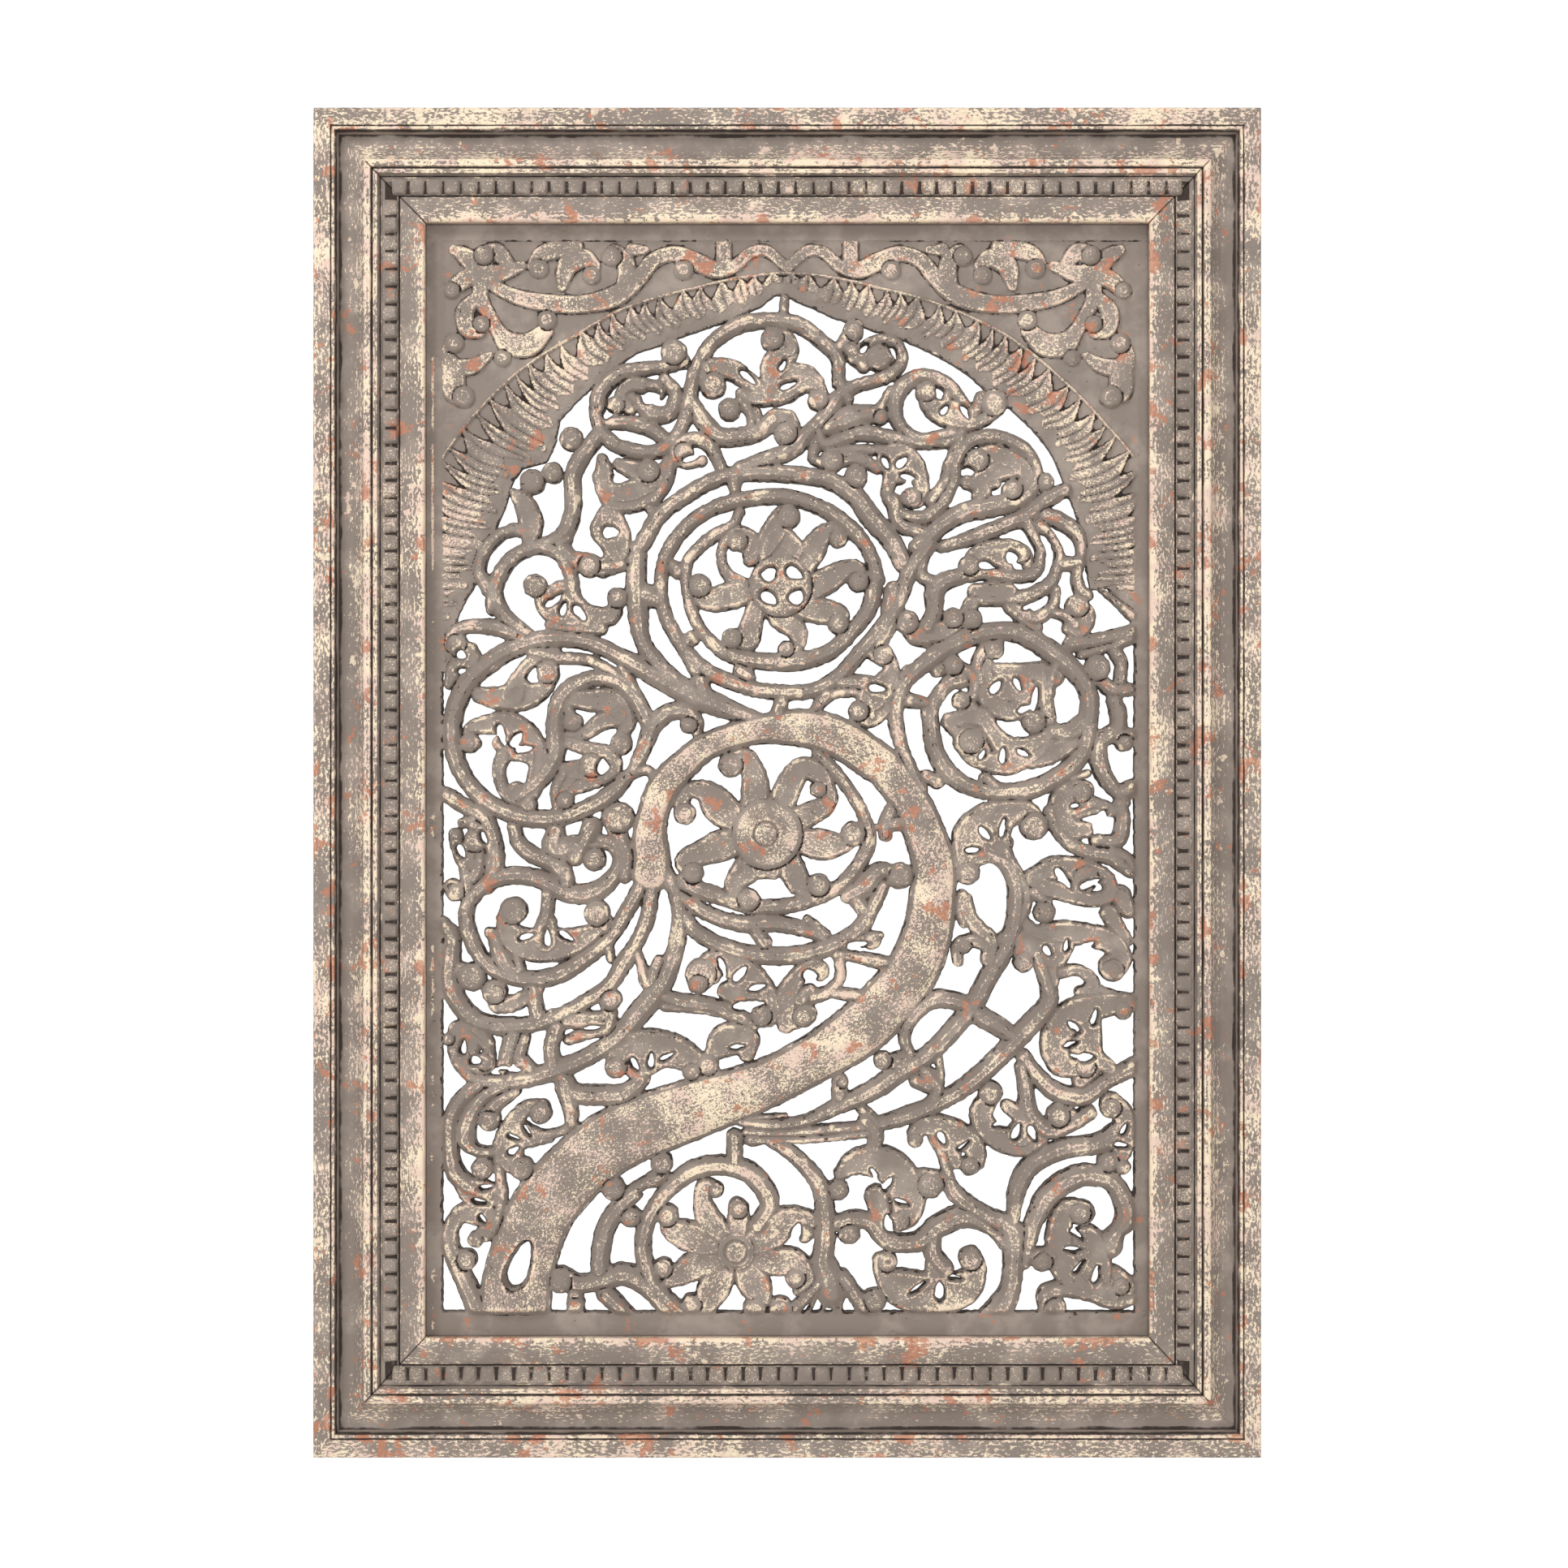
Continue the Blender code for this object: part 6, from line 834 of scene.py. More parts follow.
@dataclass
class CarvedPanel:
    """The pierced board, meshed from its height field."""

    most_triangles: int = 192000
    shade_angle: float = math.radians(42)
    vine_split: float = 318.0

    def __post_init__(self) -> None:
        """Carves the field."""
        self.field = CarvedField()
        self.field.carve_vine()
        self.field.carve_crown()
        self.field.carve_spandrels()
        self.field.carve_margins()
        self.field.finish_surface()

    def share_of(self, part: Part) -> np.ndarray:
        """Depth of the wood inside one part of the board, over the whole grid."""
        grid = self.field
        lower = self.vine_split - grid.zs[:, None]
        if part is Part.LOWER_VINE:
            return np.minimum(grid.depth, lower)
        if part is Part.UPPER_VINE:
            return np.minimum(np.minimum(grid.depth, -lower), -grid.crown_edge)
        return np.minimum(grid.depth, grid.crown_edge)

    def surface(self, depth: np.ndarray) -> tuple[np.ndarray, list[np.ndarray]]:
        """Front, walls and back of a part of the board.

        Args:
            depth: Depth of the wood, positive inside the part.

        Returns:
            The vertex positions and the arrays of polygons by corner count.
        """
        grid = self.field
        solid = depth > 0
        solid_rows, solid_columns = np.nonzero(solid)
        at_node = np.full(solid.shape, -1)
        at_node[solid_rows, solid_columns] = np.arange(len(solid_rows))
        count = len(solid_rows)
        plan_x = [grid.xs[solid_columns]]
        plan_z = [grid.zs[solid_rows]]
        tall = [grid.height[solid_rows, solid_columns]]
        crossings = []
        for down, right in ((0, 1), (1, 0)):
            first = solid[:solid.shape[0] - down, :solid.shape[1] - right]
            second = solid[down:, right:]
            rows, columns = np.nonzero(first != second)
            index = np.full(solid.shape, -1)
            index[rows, columns] = count + np.arange(len(rows))
            count += len(rows)
            a = depth[rows, columns]
            b = depth[rows + down, columns + right]
            share = np.clip(a / (a - b), 0.04, 0.96)
            plan_x.append(grid.xs[columns] + share * right * grid.step_x)
            plan_z.append(grid.zs[rows] + share * down * grid.step_z)
            near = grid.height[rows, columns]
            far = grid.height[rows + down, columns + right]
            joint = (grid.depth[rows, columns] > 0) & (grid.depth[rows + down, columns + right] > 0)
            tall.append(np.where(joint, near + (far - near) * share, grid.edge_height - 0.4))
            crossings.append(index)
        flat, steep = crossings
        plan_x, plan_z, tall = (np.concatenate(parts) for parts in (plan_x, plan_z, tall))
        front = np.column_stack([SIZES.to_x(plan_x), -tall / 1000, SIZES.to_z(plan_z)])
        back = front.copy()
        back[:, 1] = -SIZES.board_back
        corner = [at_node[:-1, :-1], at_node[:-1, 1:], at_node[1:, 1:], at_node[1:, :-1]]
        side = [flat[:-1, :-1], steep[:-1, 1:], flat[1:, :-1], steep[:-1, :-1]]
        case = sum((corner[k] >= 0) * (1 << k) for k in range(4))
        polygons: dict[int, list[np.ndarray]] = {3: [], 4: [], 5: [], 6: []}
        walls = []
        for number in range(1, 16):
            rows, columns = np.nonzero(case == number)
            if not len(rows):
                continue
            for ring in self.cell_rings(number):
                picked = [(corner if kind == "c" else side)[k][rows, columns] for kind, k in ring]
                polygons[len(ring)].append(np.column_stack(picked))
                for (kind, k), (other_kind, j) in zip(ring, ring[1:] + ring[:1]):
                    if kind == "s" and other_kind == "s":
                        walls.append(np.column_stack([side[k][rows, columns], side[j][rows, columns]]))
        half = len(front)
        faces = []
        for size, parts in polygons.items():
            if parts:
                block = np.vstack(parts)
                faces.append(block)
                faces.append(block[:, ::-1] + half)
        edge = np.vstack(walls)
        faces.append(np.column_stack([edge[:, 1], edge[:, 0], edge[:, 0] + half, edge[:, 1] + half]))
        faces.append(self.border_walls(at_node, flat, steep, half))
        return np.vstack([front, back]), faces

    @staticmethod
    def cell_rings(number: int) -> list[list[tuple[str, int]]]:
        """Polygons of one grid cell, as corners and sides in order."""
        inside = [bool(number >> k & 1) for k in range(4)]
        if number in (5, 10):
            return [[("s", (k + 3) % 4), ("c", k), ("s", k)] for k in range(4) if inside[k]]
        ring: list[tuple[str, int]] = []
        for k in range(4):
            if inside[k]:
                ring.append(("c", k))
            if inside[k] != inside[(k + 1) % 4]:
                ring.append(("s", k))
        return [ring]

    @staticmethod
    def border_walls(at_node: np.ndarray, flat: np.ndarray, steep: np.ndarray, half: int) -> np.ndarray:
        """Walls along the board's four straight outer edges, where the part reaches them."""
        walls = []
        for line, cross, turned in ((at_node[0], flat[0], False), (at_node[-1], flat[-1], True),
                                    (at_node[:, 0], steep[:, 0], True), (at_node[:, -1], steep[:, -1], False)):
            first = np.where(line[:-1] >= 0, line[:-1], cross[:-1])
            second = np.where(line[1:] >= 0, line[1:], cross[:-1])
            kept = (first >= 0) & (second >= 0) & (first != second)
            first, second = first[kept], second[kept]
            if turned:
                first, second = second, first
            walls.append(np.column_stack([second, first, first + half, second + half]))
        return np.vstack(walls)

    def build(self, part: Part) -> bpy.types.Object:
        """Meshes one part of the board, thins it and lays the paint's attributes on it.

        Args:
            part: The part to mesh.

        Returns:
            The finished object.
        """
        places, faces = self.surface(self.share_of(part))
        piece = new_object(part.value, places, faces)
        piece.data.calc_loop_triangles()
        total = len(piece.data.loop_triangles)
        thin = piece.modifiers.new("thin", "DECIMATE")
        thin.ratio = min(1.0, self.most_triangles / total)
        apply_modifiers(piece)
        piece.data.shade_smooth()
        piece.data.set_sharp_from_angle(angle=self.shade_angle)
        self.lay_attributes(piece.data)
        LOG.info("%s of %d triangles thinned to %d faces", part.value, total, len(piece.data.polygons))
        return piece

    def lay_attributes(self, mesh: bpy.types.Mesh) -> None:
        """Stores wear, ridge and crevice on the mesh's points."""
        grid = self.field
        places = np.empty(len(mesh.vertices) * 3)
        mesh.vertices.foreach_get("co", places)
        places = places.reshape(-1, 3)
        column = (places[:, 0] / SIZES.scale_x + (SIZES.plan_left + SIZES.plan_right) / 2 - grid.x0) / grid.step_x
        row = ((places[:, 2] - SIZES.foot - SIZES.bottom_rail) / SIZES.scale_z + SIZES.plan_bottom - grid.z0)
        row = row / grid.step_z
        c0 = np.clip(column.astype(int), 0, grid.columns - 2)
        r0 = np.clip(row.astype(int), 0, grid.rows - 2)
        fc, fr = np.clip(column - c0, 0, 1), np.clip(row - r0, 0, 1)
        front = -places[:, 1] * 1000 > grid.edge_height - 1.0
        for name, values in (("worn", grid.worn), ("ridge", grid.ridge), ("crevice", grid.crevice)):
            low = values[r0, c0] * (1 - fc) + values[r0, c0 + 1] * fc
            high = values[r0 + 1, c0] * (1 - fc) + values[r0 + 1, c0 + 1] * fc
            sampled = low * (1 - fr) + high * fr
            store_attribute(mesh, name, np.where(front, sampled, -0.9 if name == "worn" else 0.0))
        nearest = grid.run[np.clip(np.rint(row).astype(int), 0, grid.rows - 1),
                           np.clip(np.rint(column).astype(int), 0, grid.columns - 1)]
        store_attribute(mesh, "along", nearest[:, 0] / 1000)
        store_attribute(mesh, "across", nearest[:, 1] / 1000)
        # Painted shade: depth behind the front, which the paint darkens on the openings' walls and the back.
        depth = np.clip(1 - (-places[:, 1] * 1000 - 3.5) / 9.5, 0, 1)
        store_attribute(mesh, "cut", depth)


def new_object(name: str, places: np.ndarray, faces: list[np.ndarray]) -> bpy.types.Object:
    """A mesh object from vertex positions and blocks of polygons.

    Args:
        name: Name of the piece.
        places: Vertex positions.
        faces: Arrays of polygons, one row to a polygon.

    Returns:
        The new object, linked to the scene.
    """
    mesh = bpy.data.meshes.new(name)
    loops = np.concatenate([block.ravel() for block in faces])
    sizes = np.concatenate([np.full(len(block), block.shape[1]) for block in faces])
    mesh.vertices.add(len(places))
    mesh.vertices.foreach_set("co", places.astype(np.float32).ravel())
    mesh.loops.add(len(loops))
    mesh.loops.foreach_set("vertex_index", loops.astype(np.int32))
    mesh.polygons.add(len(sizes))
    mesh.polygons.foreach_set("loop_start", (np.cumsum(sizes) - sizes).astype(np.int32))
    mesh.update(calc_edges=True)
    mesh.validate()
    item = bpy.data.objects.new(name, mesh)
    bpy.context.scene.collection.objects.link(item)
    return item


def apply_modifiers(item: bpy.types.Object) -> None:
    """Turns an object's evaluated shape into its plain mesh."""
    graph = bpy.context.evaluated_depsgraph_get()
    mesh = bpy.data.meshes.new_from_object(item.evaluated_get(graph), depsgraph=graph)
    item.modifiers.clear()
    old = item.data
    item.data = mesh
    bpy.data.meshes.remove(old)
    mesh.name = item.name


def store_attribute(mesh: bpy.types.Mesh, name: str, values: np.ndarray) -> None:
    """Stores one number for each point of a mesh."""
    attribute = mesh.attributes.new(name, "FLOAT", "POINT")
    attribute.data.foreach_set("value", values.astype(np.float32))


def linear(red: float, green: float, blue: float) -> tuple[float, float, float, float]:
    """A colour given in 0 to 255 steps, as linear light."""
    parts = [c / 255 for c in (red, green, blue)]
    lit = [c / 12.92 if c <= 0.04045 else ((c + 0.055) / 1.055) ** 2.4 for c in parts]
    return lit[0], lit[1], lit[2], 1.0


class Value:
    """A node socket that takes part in arithmetic.

    Each operator adds a Math node to the socket's own tree.
    """

    def __init__(self, nodes: "NodeBench", socket: bpy.types.NodeSocket) -> None:
        """Wraps a socket of a bench's tree."""
        self.nodes = nodes
        self.socket = socket

    def math(self, operation: str, *others: "Value | float") -> "Value":
        """This value joined with others by one Math node."""
        inputs = dict(enumerate((self, *others)))
        return self.nodes.add("ShaderNodeMath", {"operation": operation}, inputs)

    def __add__(self, other: "Value | float") -> "Value":
        """Sum."""
        return self.math("ADD", other)

    __radd__ = __add__

    def __mul__(self, other: "Value | float") -> "Value":
        """Product."""
        return self.math("MULTIPLY", other)

    __rmul__ = __mul__

    def __sub__(self, other: "Value | float") -> "Value":
        """Difference."""
        return self.math("SUBTRACT", other)

    def __rsub__(self, other: float) -> "Value":
        """Difference from a number."""
        return self.nodes.add("ShaderNodeMath", {"operation": "SUBTRACT"}, {0: other, 1: self})

    def __truediv__(self, other: "Value | float") -> "Value":
        """Quotient."""
        return self.math("DIVIDE", other)

    def __pow__(self, other: "Value | float") -> "Value":
        """Power."""
        return self.math("POWER", other)

    def step(self, low: float, high: float) -> "Value":
        """A soft step from 0 below low to 1 above high."""
        return self.nodes.add("ShaderNodeMapRange", {"interpolation_type": "SMOOTHSTEP"},
                              {"Value": self, "From Min": low, "From Max": high})


class NodeBench:
    """Adds nodes to one tree."""

    def __init__(self, tree: bpy.types.NodeTree) -> None:
        """Takes the tree that nodes are added to."""
        self.tree = tree

    def add(self, kind: str, settings: dict | None = None, inputs: dict | None = None,
            output: int | str = 0) -> "Value | None":
        """Adds a node.

        Args:
            kind: The node's type.
            settings: Properties of the node, set first.
            inputs: Values or links, by the socket's name or place.
            output: The output socket to hand back.

        Returns:
            The wanted output, or none from a node that ends the tree.
        """
        node = self.tree.nodes.new(kind)
        for name, setting in (settings or {}).items():
            setattr(node, name, setting)
        for key, value in (inputs or {}).items():
            socket = node.inputs[key]
            if isinstance(value, Value):
                self.tree.links.new(value.socket, socket)
            else:
                socket.default_value = value
        return Value(self, node.outputs[output]) if node.outputs else None

    def mix(self, share: Value, under: "Value | tuple", over: "Value | tuple") -> Value:
        """Lays one colour over another by a mask."""
        node = self.tree.nodes.new("ShaderNodeMix")
        node.data_type = "RGBA"
        colours = [s for s in node.inputs if s.type == "RGBA"]
        self.tree.links.new(share.socket, node.inputs[0])
        for socket, colour in zip(colours, (under, over)):
            if isinstance(colour, Value):
                self.tree.links.new(colour.socket, socket)
            else:
                socket.default_value = colour
        return Value(self, next(s for s in node.outputs if s.type == "RGBA"))

    def noise(self, place: Value, scale: float, detail: float = 3.0, roughness: float = 0.6) -> Value:
        """Noise between 0 and 1, with its scale in features to the metre."""
        return self.add("ShaderNodeTexNoise", None,
                        {"Vector": place, "Scale": scale, "Detail": detail, "Roughness": roughness})

    def attribute(self, name: str) -> Value:
        """A number stored on the mesh."""
        return self.add("ShaderNodeAttribute", {"attribute_name": name}, None, "Fac")


class Surface(Enum):
    """The parts of the panel that the paint has worn on in their own way."""

    CARVING = "carving"
    MOULDING = "moulding"
    BEADS = "beads"


@dataclass(frozen=True)
class WornPaint:
    """Taupe milk paint over cream ground, worn through to bare wood, with painted shade and dirt in its crevices.

    Attributes:
        taupe: The top coat.
        pale_taupe: The top coat where it is thin.
        cream: The ground coat that shows in flecks.
        pink: The ground coat where it is thin.
        rust: Bare reddish wood.
        dark: Painted shade in the crevices and on the openings' walls, with dirt, old stain and scratches.
        fleck_cover: Level of the noise above which a fleck of the ground coat shows.
        patch_cover: The same for a patch.
        rust_cover: The same for bare wood.
        carved_patch: What the patches' level rises by on the carving.
    """

    surface: Surface
    taupe: tuple = linear(144, 132, 123)
    pale_taupe: tuple = linear(164, 151, 141)
    cream: tuple = linear(249, 229, 200)
    pink: tuple = linear(236, 208, 190)
    rust: tuple = linear(196, 130, 102)
    dark: tuple = linear(42, 31, 28)
    fleck_cover: float = 0.570
    patch_cover: float = 0.665
    rust_cover: float = 0.625
    carved_patch: float = 0.025

    def material(self) -> bpy.types.Material:
        """Builds the material.

        Returns:
            The finished material.
        """
        paint = bpy.data.materials.new(f"worn_paint_{self.surface.value}")
        paint.use_nodes = True
        paint.node_tree.nodes.clear()
        bench = NodeBench(paint.node_tree)
        place = bench.add("ShaderNodeTexCoord", None, None, "Object")
        ridge = bench.attribute("ridge")
        crevice = bench.attribute("crevice")
        worn = bench.attribute("worn")
        cut = bench.attribute("cut")
        cloud = bench.noise(place, 11, 3, 0.55)
        drift = bench.noise(place, 38, 3, 0.6)
        top = 1 - cut.step(0.12, 0.42)
        cover = (cloud - 0.5) * 0.26 + (drift - 0.5) * 0.26 + worn * 0.15 + ridge * 0.05 - crevice * 0.14
        flecks = (self.fleck_noise(bench, place) + cover).step(self.fleck_cover, self.fleck_cover + 0.02) * top
        carved = self.surface is Surface.CARVING
        patch_cover = self.patch_cover + (self.carved_patch if carved else 0.0)
        patch_noise = bench.noise(place, 150 if carved else 85, 5, 0.62)
        patches = (patch_noise + (cloud - 0.5) * 0.40 + worn * 0.12 + ridge * 0.03).step(
            patch_cover, patch_cover + 0.02) * top
        rims = bench.noise(place, 150, 4, 0.6)
        arris = (ridge * 0.55 + (rims - 0.5) * 1.9 + (drift - 0.5)).step(0.62, 0.80) * top
        rust_noise = bench.noise(place, 48, 4, 0.68)
        rust = (rust_noise + (bench.noise(place, 260, 3, 0.6) - 0.5) * 0.22 + worn * 0.05 + ridge * 0.03).step(
            self.rust_cover, self.rust_cover + 0.03) * top
        crevice_shade_and_grime = self.crevice_shade_and_grime(bench, place, crevice)
        base = bench.mix(drift.step(0.42, 0.66), self.taupe, self.pale_taupe)
        # Painted shade on the walls of the openings, deepening towards the wall; the back and hidden sides take the
        # same darker tone.
        shade = bench.mix(cut.step(0.1, 0.8) * 0.5, base, self.dark)
        ground = bench.mix(bench.noise(place, 55, 2, 0.5).step(0.42, 0.6), self.cream, self.pink)
        bare = flecks.math("MAXIMUM", patches * 0.8).math("MAXIMUM", arris * 0.9)
        colour = bench.mix(bare, shade, ground)
        colour = bench.mix(rust * 0.75, colour, self.rust)
        ticks = self.tick_noise(bench, place, ridge).step(0.0, 0.03) * top
        # Painted shade and dirt in the crevices, with the dark scratches, laid on in near-black.
        colour = bench.mix(crevice_shade_and_grime.math("MAXIMUM", ticks) * 0.9, colour, self.dark)
        grain = bench.noise(place, 900, 3, 0.6)
        relief = bare * 0.6 + grain * 0.5 + drift * 0.8 - crevice_shade_and_grime * 0.5
        bump = bench.add("ShaderNodeBump", None, {"Strength": 0.4, "Distance": 0.0006, "Height": relief}, "Normal")
        shader = bench.add("ShaderNodeBsdfPrincipled", None, {
            "Base Color": colour, "Roughness": 0.86 - bare * 0.10 + grain * 0.06,
            "Normal": bump, "Specular IOR Level": 0.25})
        bench.add("ShaderNodeOutputMaterial", None, {"Surface": shader})
        return paint

    def crevice_shade_and_grime(self, bench: NodeBench, place: Value, crevice: Value) -> Value:
        """Painted shade and dirt in the crevices, broken into dashes along a moulding."""
        broken = bench.noise(place, 170, 3, 0.6)
        if self.surface is Surface.MOULDING:
            run = bench.add("ShaderNodeUVMap", {"uv_map": "run"}, None, "UV")
            drawn = bench.add("ShaderNodeMapping", None, {"Vector": run, "Scale": (0.16, 1.0, 1.0)})
            broken = bench.noise(drawn, 190, 3, 0.6) * 0.75 + broken * 0.25
        return (crevice * 0.98 + (broken - 0.5) * 1.5).step(0.60, 0.92)

    def tick_noise(self, bench: NodeBench, place: Value, ridge: Value) -> Value:
        """Dark scratches, above 0 where one shows, drawn out along a stem."""
        if self.surface is Surface.CARVING:
            drawn = bench.add("ShaderNodeCombineXYZ", None, {
                "X": bench.attribute("along") * 0.42, "Y": bench.attribute("across") * 1.3})
            streaks = bench.noise(drawn, 420, 3, 0.62) * 0.7
            return streaks + bench.noise(place, 330, 3, 0.7) * 0.3 + ridge * 0.05 - 0.645
        return bench.noise(place, 330, 3, 0.7) + ridge * 0.05 - 0.735

    def fleck_noise(self, bench: NodeBench, place: Value) -> Value:
        """The small flecks, which follow the run of a moulding or a stem."""
        plain = bench.noise(place, 640, 3, 0.62) * 0.62 + bench.noise(place, 1300, 2, 0.5) * 0.38
        if self.surface is Surface.MOULDING:
            run = bench.add("ShaderNodeUVMap", {"uv_map": "run"}, None, "UV")
            drawn = bench.add("ShaderNodeMapping", None, {"Vector": run, "Scale": (0.6, 1.25, 1.0)})
            return bench.noise(drawn, 430, 3, 0.62) * 0.7 + plain * 0.3
        if self.surface is Surface.CARVING:
            drawn = bench.add("ShaderNodeCombineXYZ", None, {
                "X": bench.attribute("along") * 0.55, "Y": bench.attribute("across") * 1.1})
            return bench.noise(drawn, 600, 3, 0.62) * 0.35 + plain * 0.65
        return plain


class Side(Enum):
    """The four rails of the frame."""

    TOP = "top_rail"
    BOTTOM = "bottom_rail"
    LEFT = "left_rail"
    RIGHT = "right_rail"


@dataclass
class BeadCourse:
    """A row of squarish carved beads in the hollow of a rail.

    Each bead rises from the outer side of the hollow to a rounded lip on the
    inner side, with a narrow notch cut between one bead and the next.
    """

    pitch: float = 0.0131
    gap: float = 0.0016
    rise: float = 0.0050
    sunk: float = 0.0008
    seed: int = 7

    def tree(self) -> bpy.types.NodeTree:
        """Builds the node tree that lays the beads along the x axis.

        Returns:
            The tree, with inputs Length, Depth, Pitch, Rise, Seed and Paint.
        """
        tree = bpy.data.node_groups.new("bead_course", "GeometryNodeTree")
        tree.interface.new_socket("Geometry", in_out="OUTPUT", socket_type="NodeSocketGeometry")
        for name, kind in (("Length", "Float"), ("Depth", "Float"), ("Pitch", "Float"), ("Rise", "Float"),
                           ("Seed", "Int"), ("Paint", "Material")):
            tree.interface.new_socket(name, in_out="INPUT", socket_type=f"NodeSocket{kind}")
        bench = NodeBench(tree)
        given = tree.nodes.new("NodeGroupInput").outputs
        length, depth, pitch, rise, seed, finish = (Value(bench, given[n]) for n in
                                                    ("Length", "Depth", "Pitch", "Rise", "Seed", "Paint"))
        block = self.block(bench, depth, pitch, rise)
        count = (length / pitch).math("FLOOR")
        first = (length - (count - 1) * pitch) * 0.5
        start = bench.add("ShaderNodeCombineXYZ", None, {"X": first})
        offset = bench.add("ShaderNodeCombineXYZ", None, {"X": pitch})
        line = bench.add("GeometryNodeMeshLine", {"mode": "OFFSET", "count_mode": "TOTAL"},
                         {"Count": count, "Start Location": start, "Offset": offset})
        size = bench.add("FunctionNodeRandomValue", {"data_type": "FLOAT_VECTOR"},
                         {0: (0.90, 0.94, 0.62), 1: (1.04, 1.0, 1.12), "Seed": seed})
        lean = bench.add("FunctionNodeRandomValue", {"data_type": "FLOAT_VECTOR"},
                         {0: (-0.07, -0.05, -0.04), 1: (0.07, 0.05, 0.04), "Seed": seed + 1})
        laid = bench.add("GeometryNodeInstanceOnPoints", None,
                         {"Points": line, "Instance": block, "Rotation": lean, "Scale": size})
        real = bench.add("GeometryNodeRealizeInstances", None, {"Geometry": laid})
        painted = bench.add("GeometryNodeSetMaterial", None, {"Geometry": real, "Material": finish})
        out = tree.nodes.new("NodeGroupOutput")
        tree.links.new(painted.socket, out.inputs[0])
        return tree

    def block(self, bench: NodeBench, depth: Value, pitch: Value, rise: Value) -> Value:
        """One bead, shaped from a gridded cube.

        Args:
            bench: The tree's bench.
            depth: Size of the bead across the rail.
            pitch: Distance from one bead to the next.
            rise: Height of the lip above the hollow.

        Returns:
            The bead's mesh with its wear and painted shade marks stored on it.
        """
        cube = bench.add("GeometryNodeMeshCube", None,
                         {"Size": (1.0, 1.0, 1.0), "Vertices X": 7, "Vertices Y": 7, "Vertices Z": 2})
        place = bench.add("GeometryNodeInputPosition")
        split = {axis: bench.add("ShaderNodeSeparateXYZ", None, {"Vector": place}, axis) for axis in "XYZ"}
        along, across = split["X"] * 2.0, split["Y"] + 0.5
        upper = split["Z"] + 0.5
        lip = across * 0.72 + 0.28
        ends = 1 - along.math("ABSOLUTE") ** 5.0
        inner = 1 - across ** 9.0
        round_off = (ends.math("MAXIMUM", 0.0) * inner.math("MAXIMUM", 0.0)) ** 0.38
        height = rise * lip * (round_off * 0.8 + 0.2) * upper - (1 - upper) * self.sunk
        narrow = 1 - (across ** 6.0) * 0.22
        moved = bench.add("ShaderNodeCombineXYZ", None, {
            "X": along * 0.5 * narrow * (pitch - self.gap), "Y": (across - 0.5) * depth, "Z": height})
        shaped = bench.add("GeometryNodeSetPosition", None, {"Geometry": cube, "Position": moved})
        # The crevice mark darkens each bead's rounded ends and edges, painted shade in the notches between beads.
        for name, value in (("ridge", upper * lip * 0.75), ("crevice", (1 - round_off) * 1.1),
                            ("worn", upper * (across * 2.2 - 1.2)), ("cut", (1 - upper) * 0.4)):
            shaped = bench.add("GeometryNodeStoreNamedAttribute", {"data_type": "FLOAT", "domain": "POINT"},
                               {"Geometry": shaped, "Name": name, "Value": value})
        return shaped

    def build(self, side: Side, length: float, depth: float, paint: bpy.types.Material) -> bpy.types.Object:
        """Lays one course along the x axis from its start.

        Args:
            side: The rail that the course lies in.
            length: Length of the course.
            depth: Width of the hollow that the beads fill.
            paint: The beads' finish.

        Returns:
            The course as a plain mesh object.
        """
        mesh = bpy.data.meshes.new(f"{side.value}_beads")
        course = bpy.data.objects.new(f"{side.value}_beads", mesh)
        bpy.context.scene.collection.objects.link(course)
        layout = course.modifiers.new("beads", "NODES")
        tree = bpy.data.node_groups.get("bead_course") or self.tree()
        layout.node_group = tree
        sizes = {"Length": length, "Depth": depth, "Pitch": self.pitch, "Rise": self.rise,
                 "Seed": self.seed + list(Side).index(side), "Paint": paint}
        for item in tree.interface.items_tree:
            if item.in_out == "INPUT" and item.name in sizes:
                layout[item.identifier] = sizes[item.name]
        apply_modifiers(course)
        course.data.shade_smooth()
        course.data.set_sharp_from_angle(angle=math.radians(50))
        return course


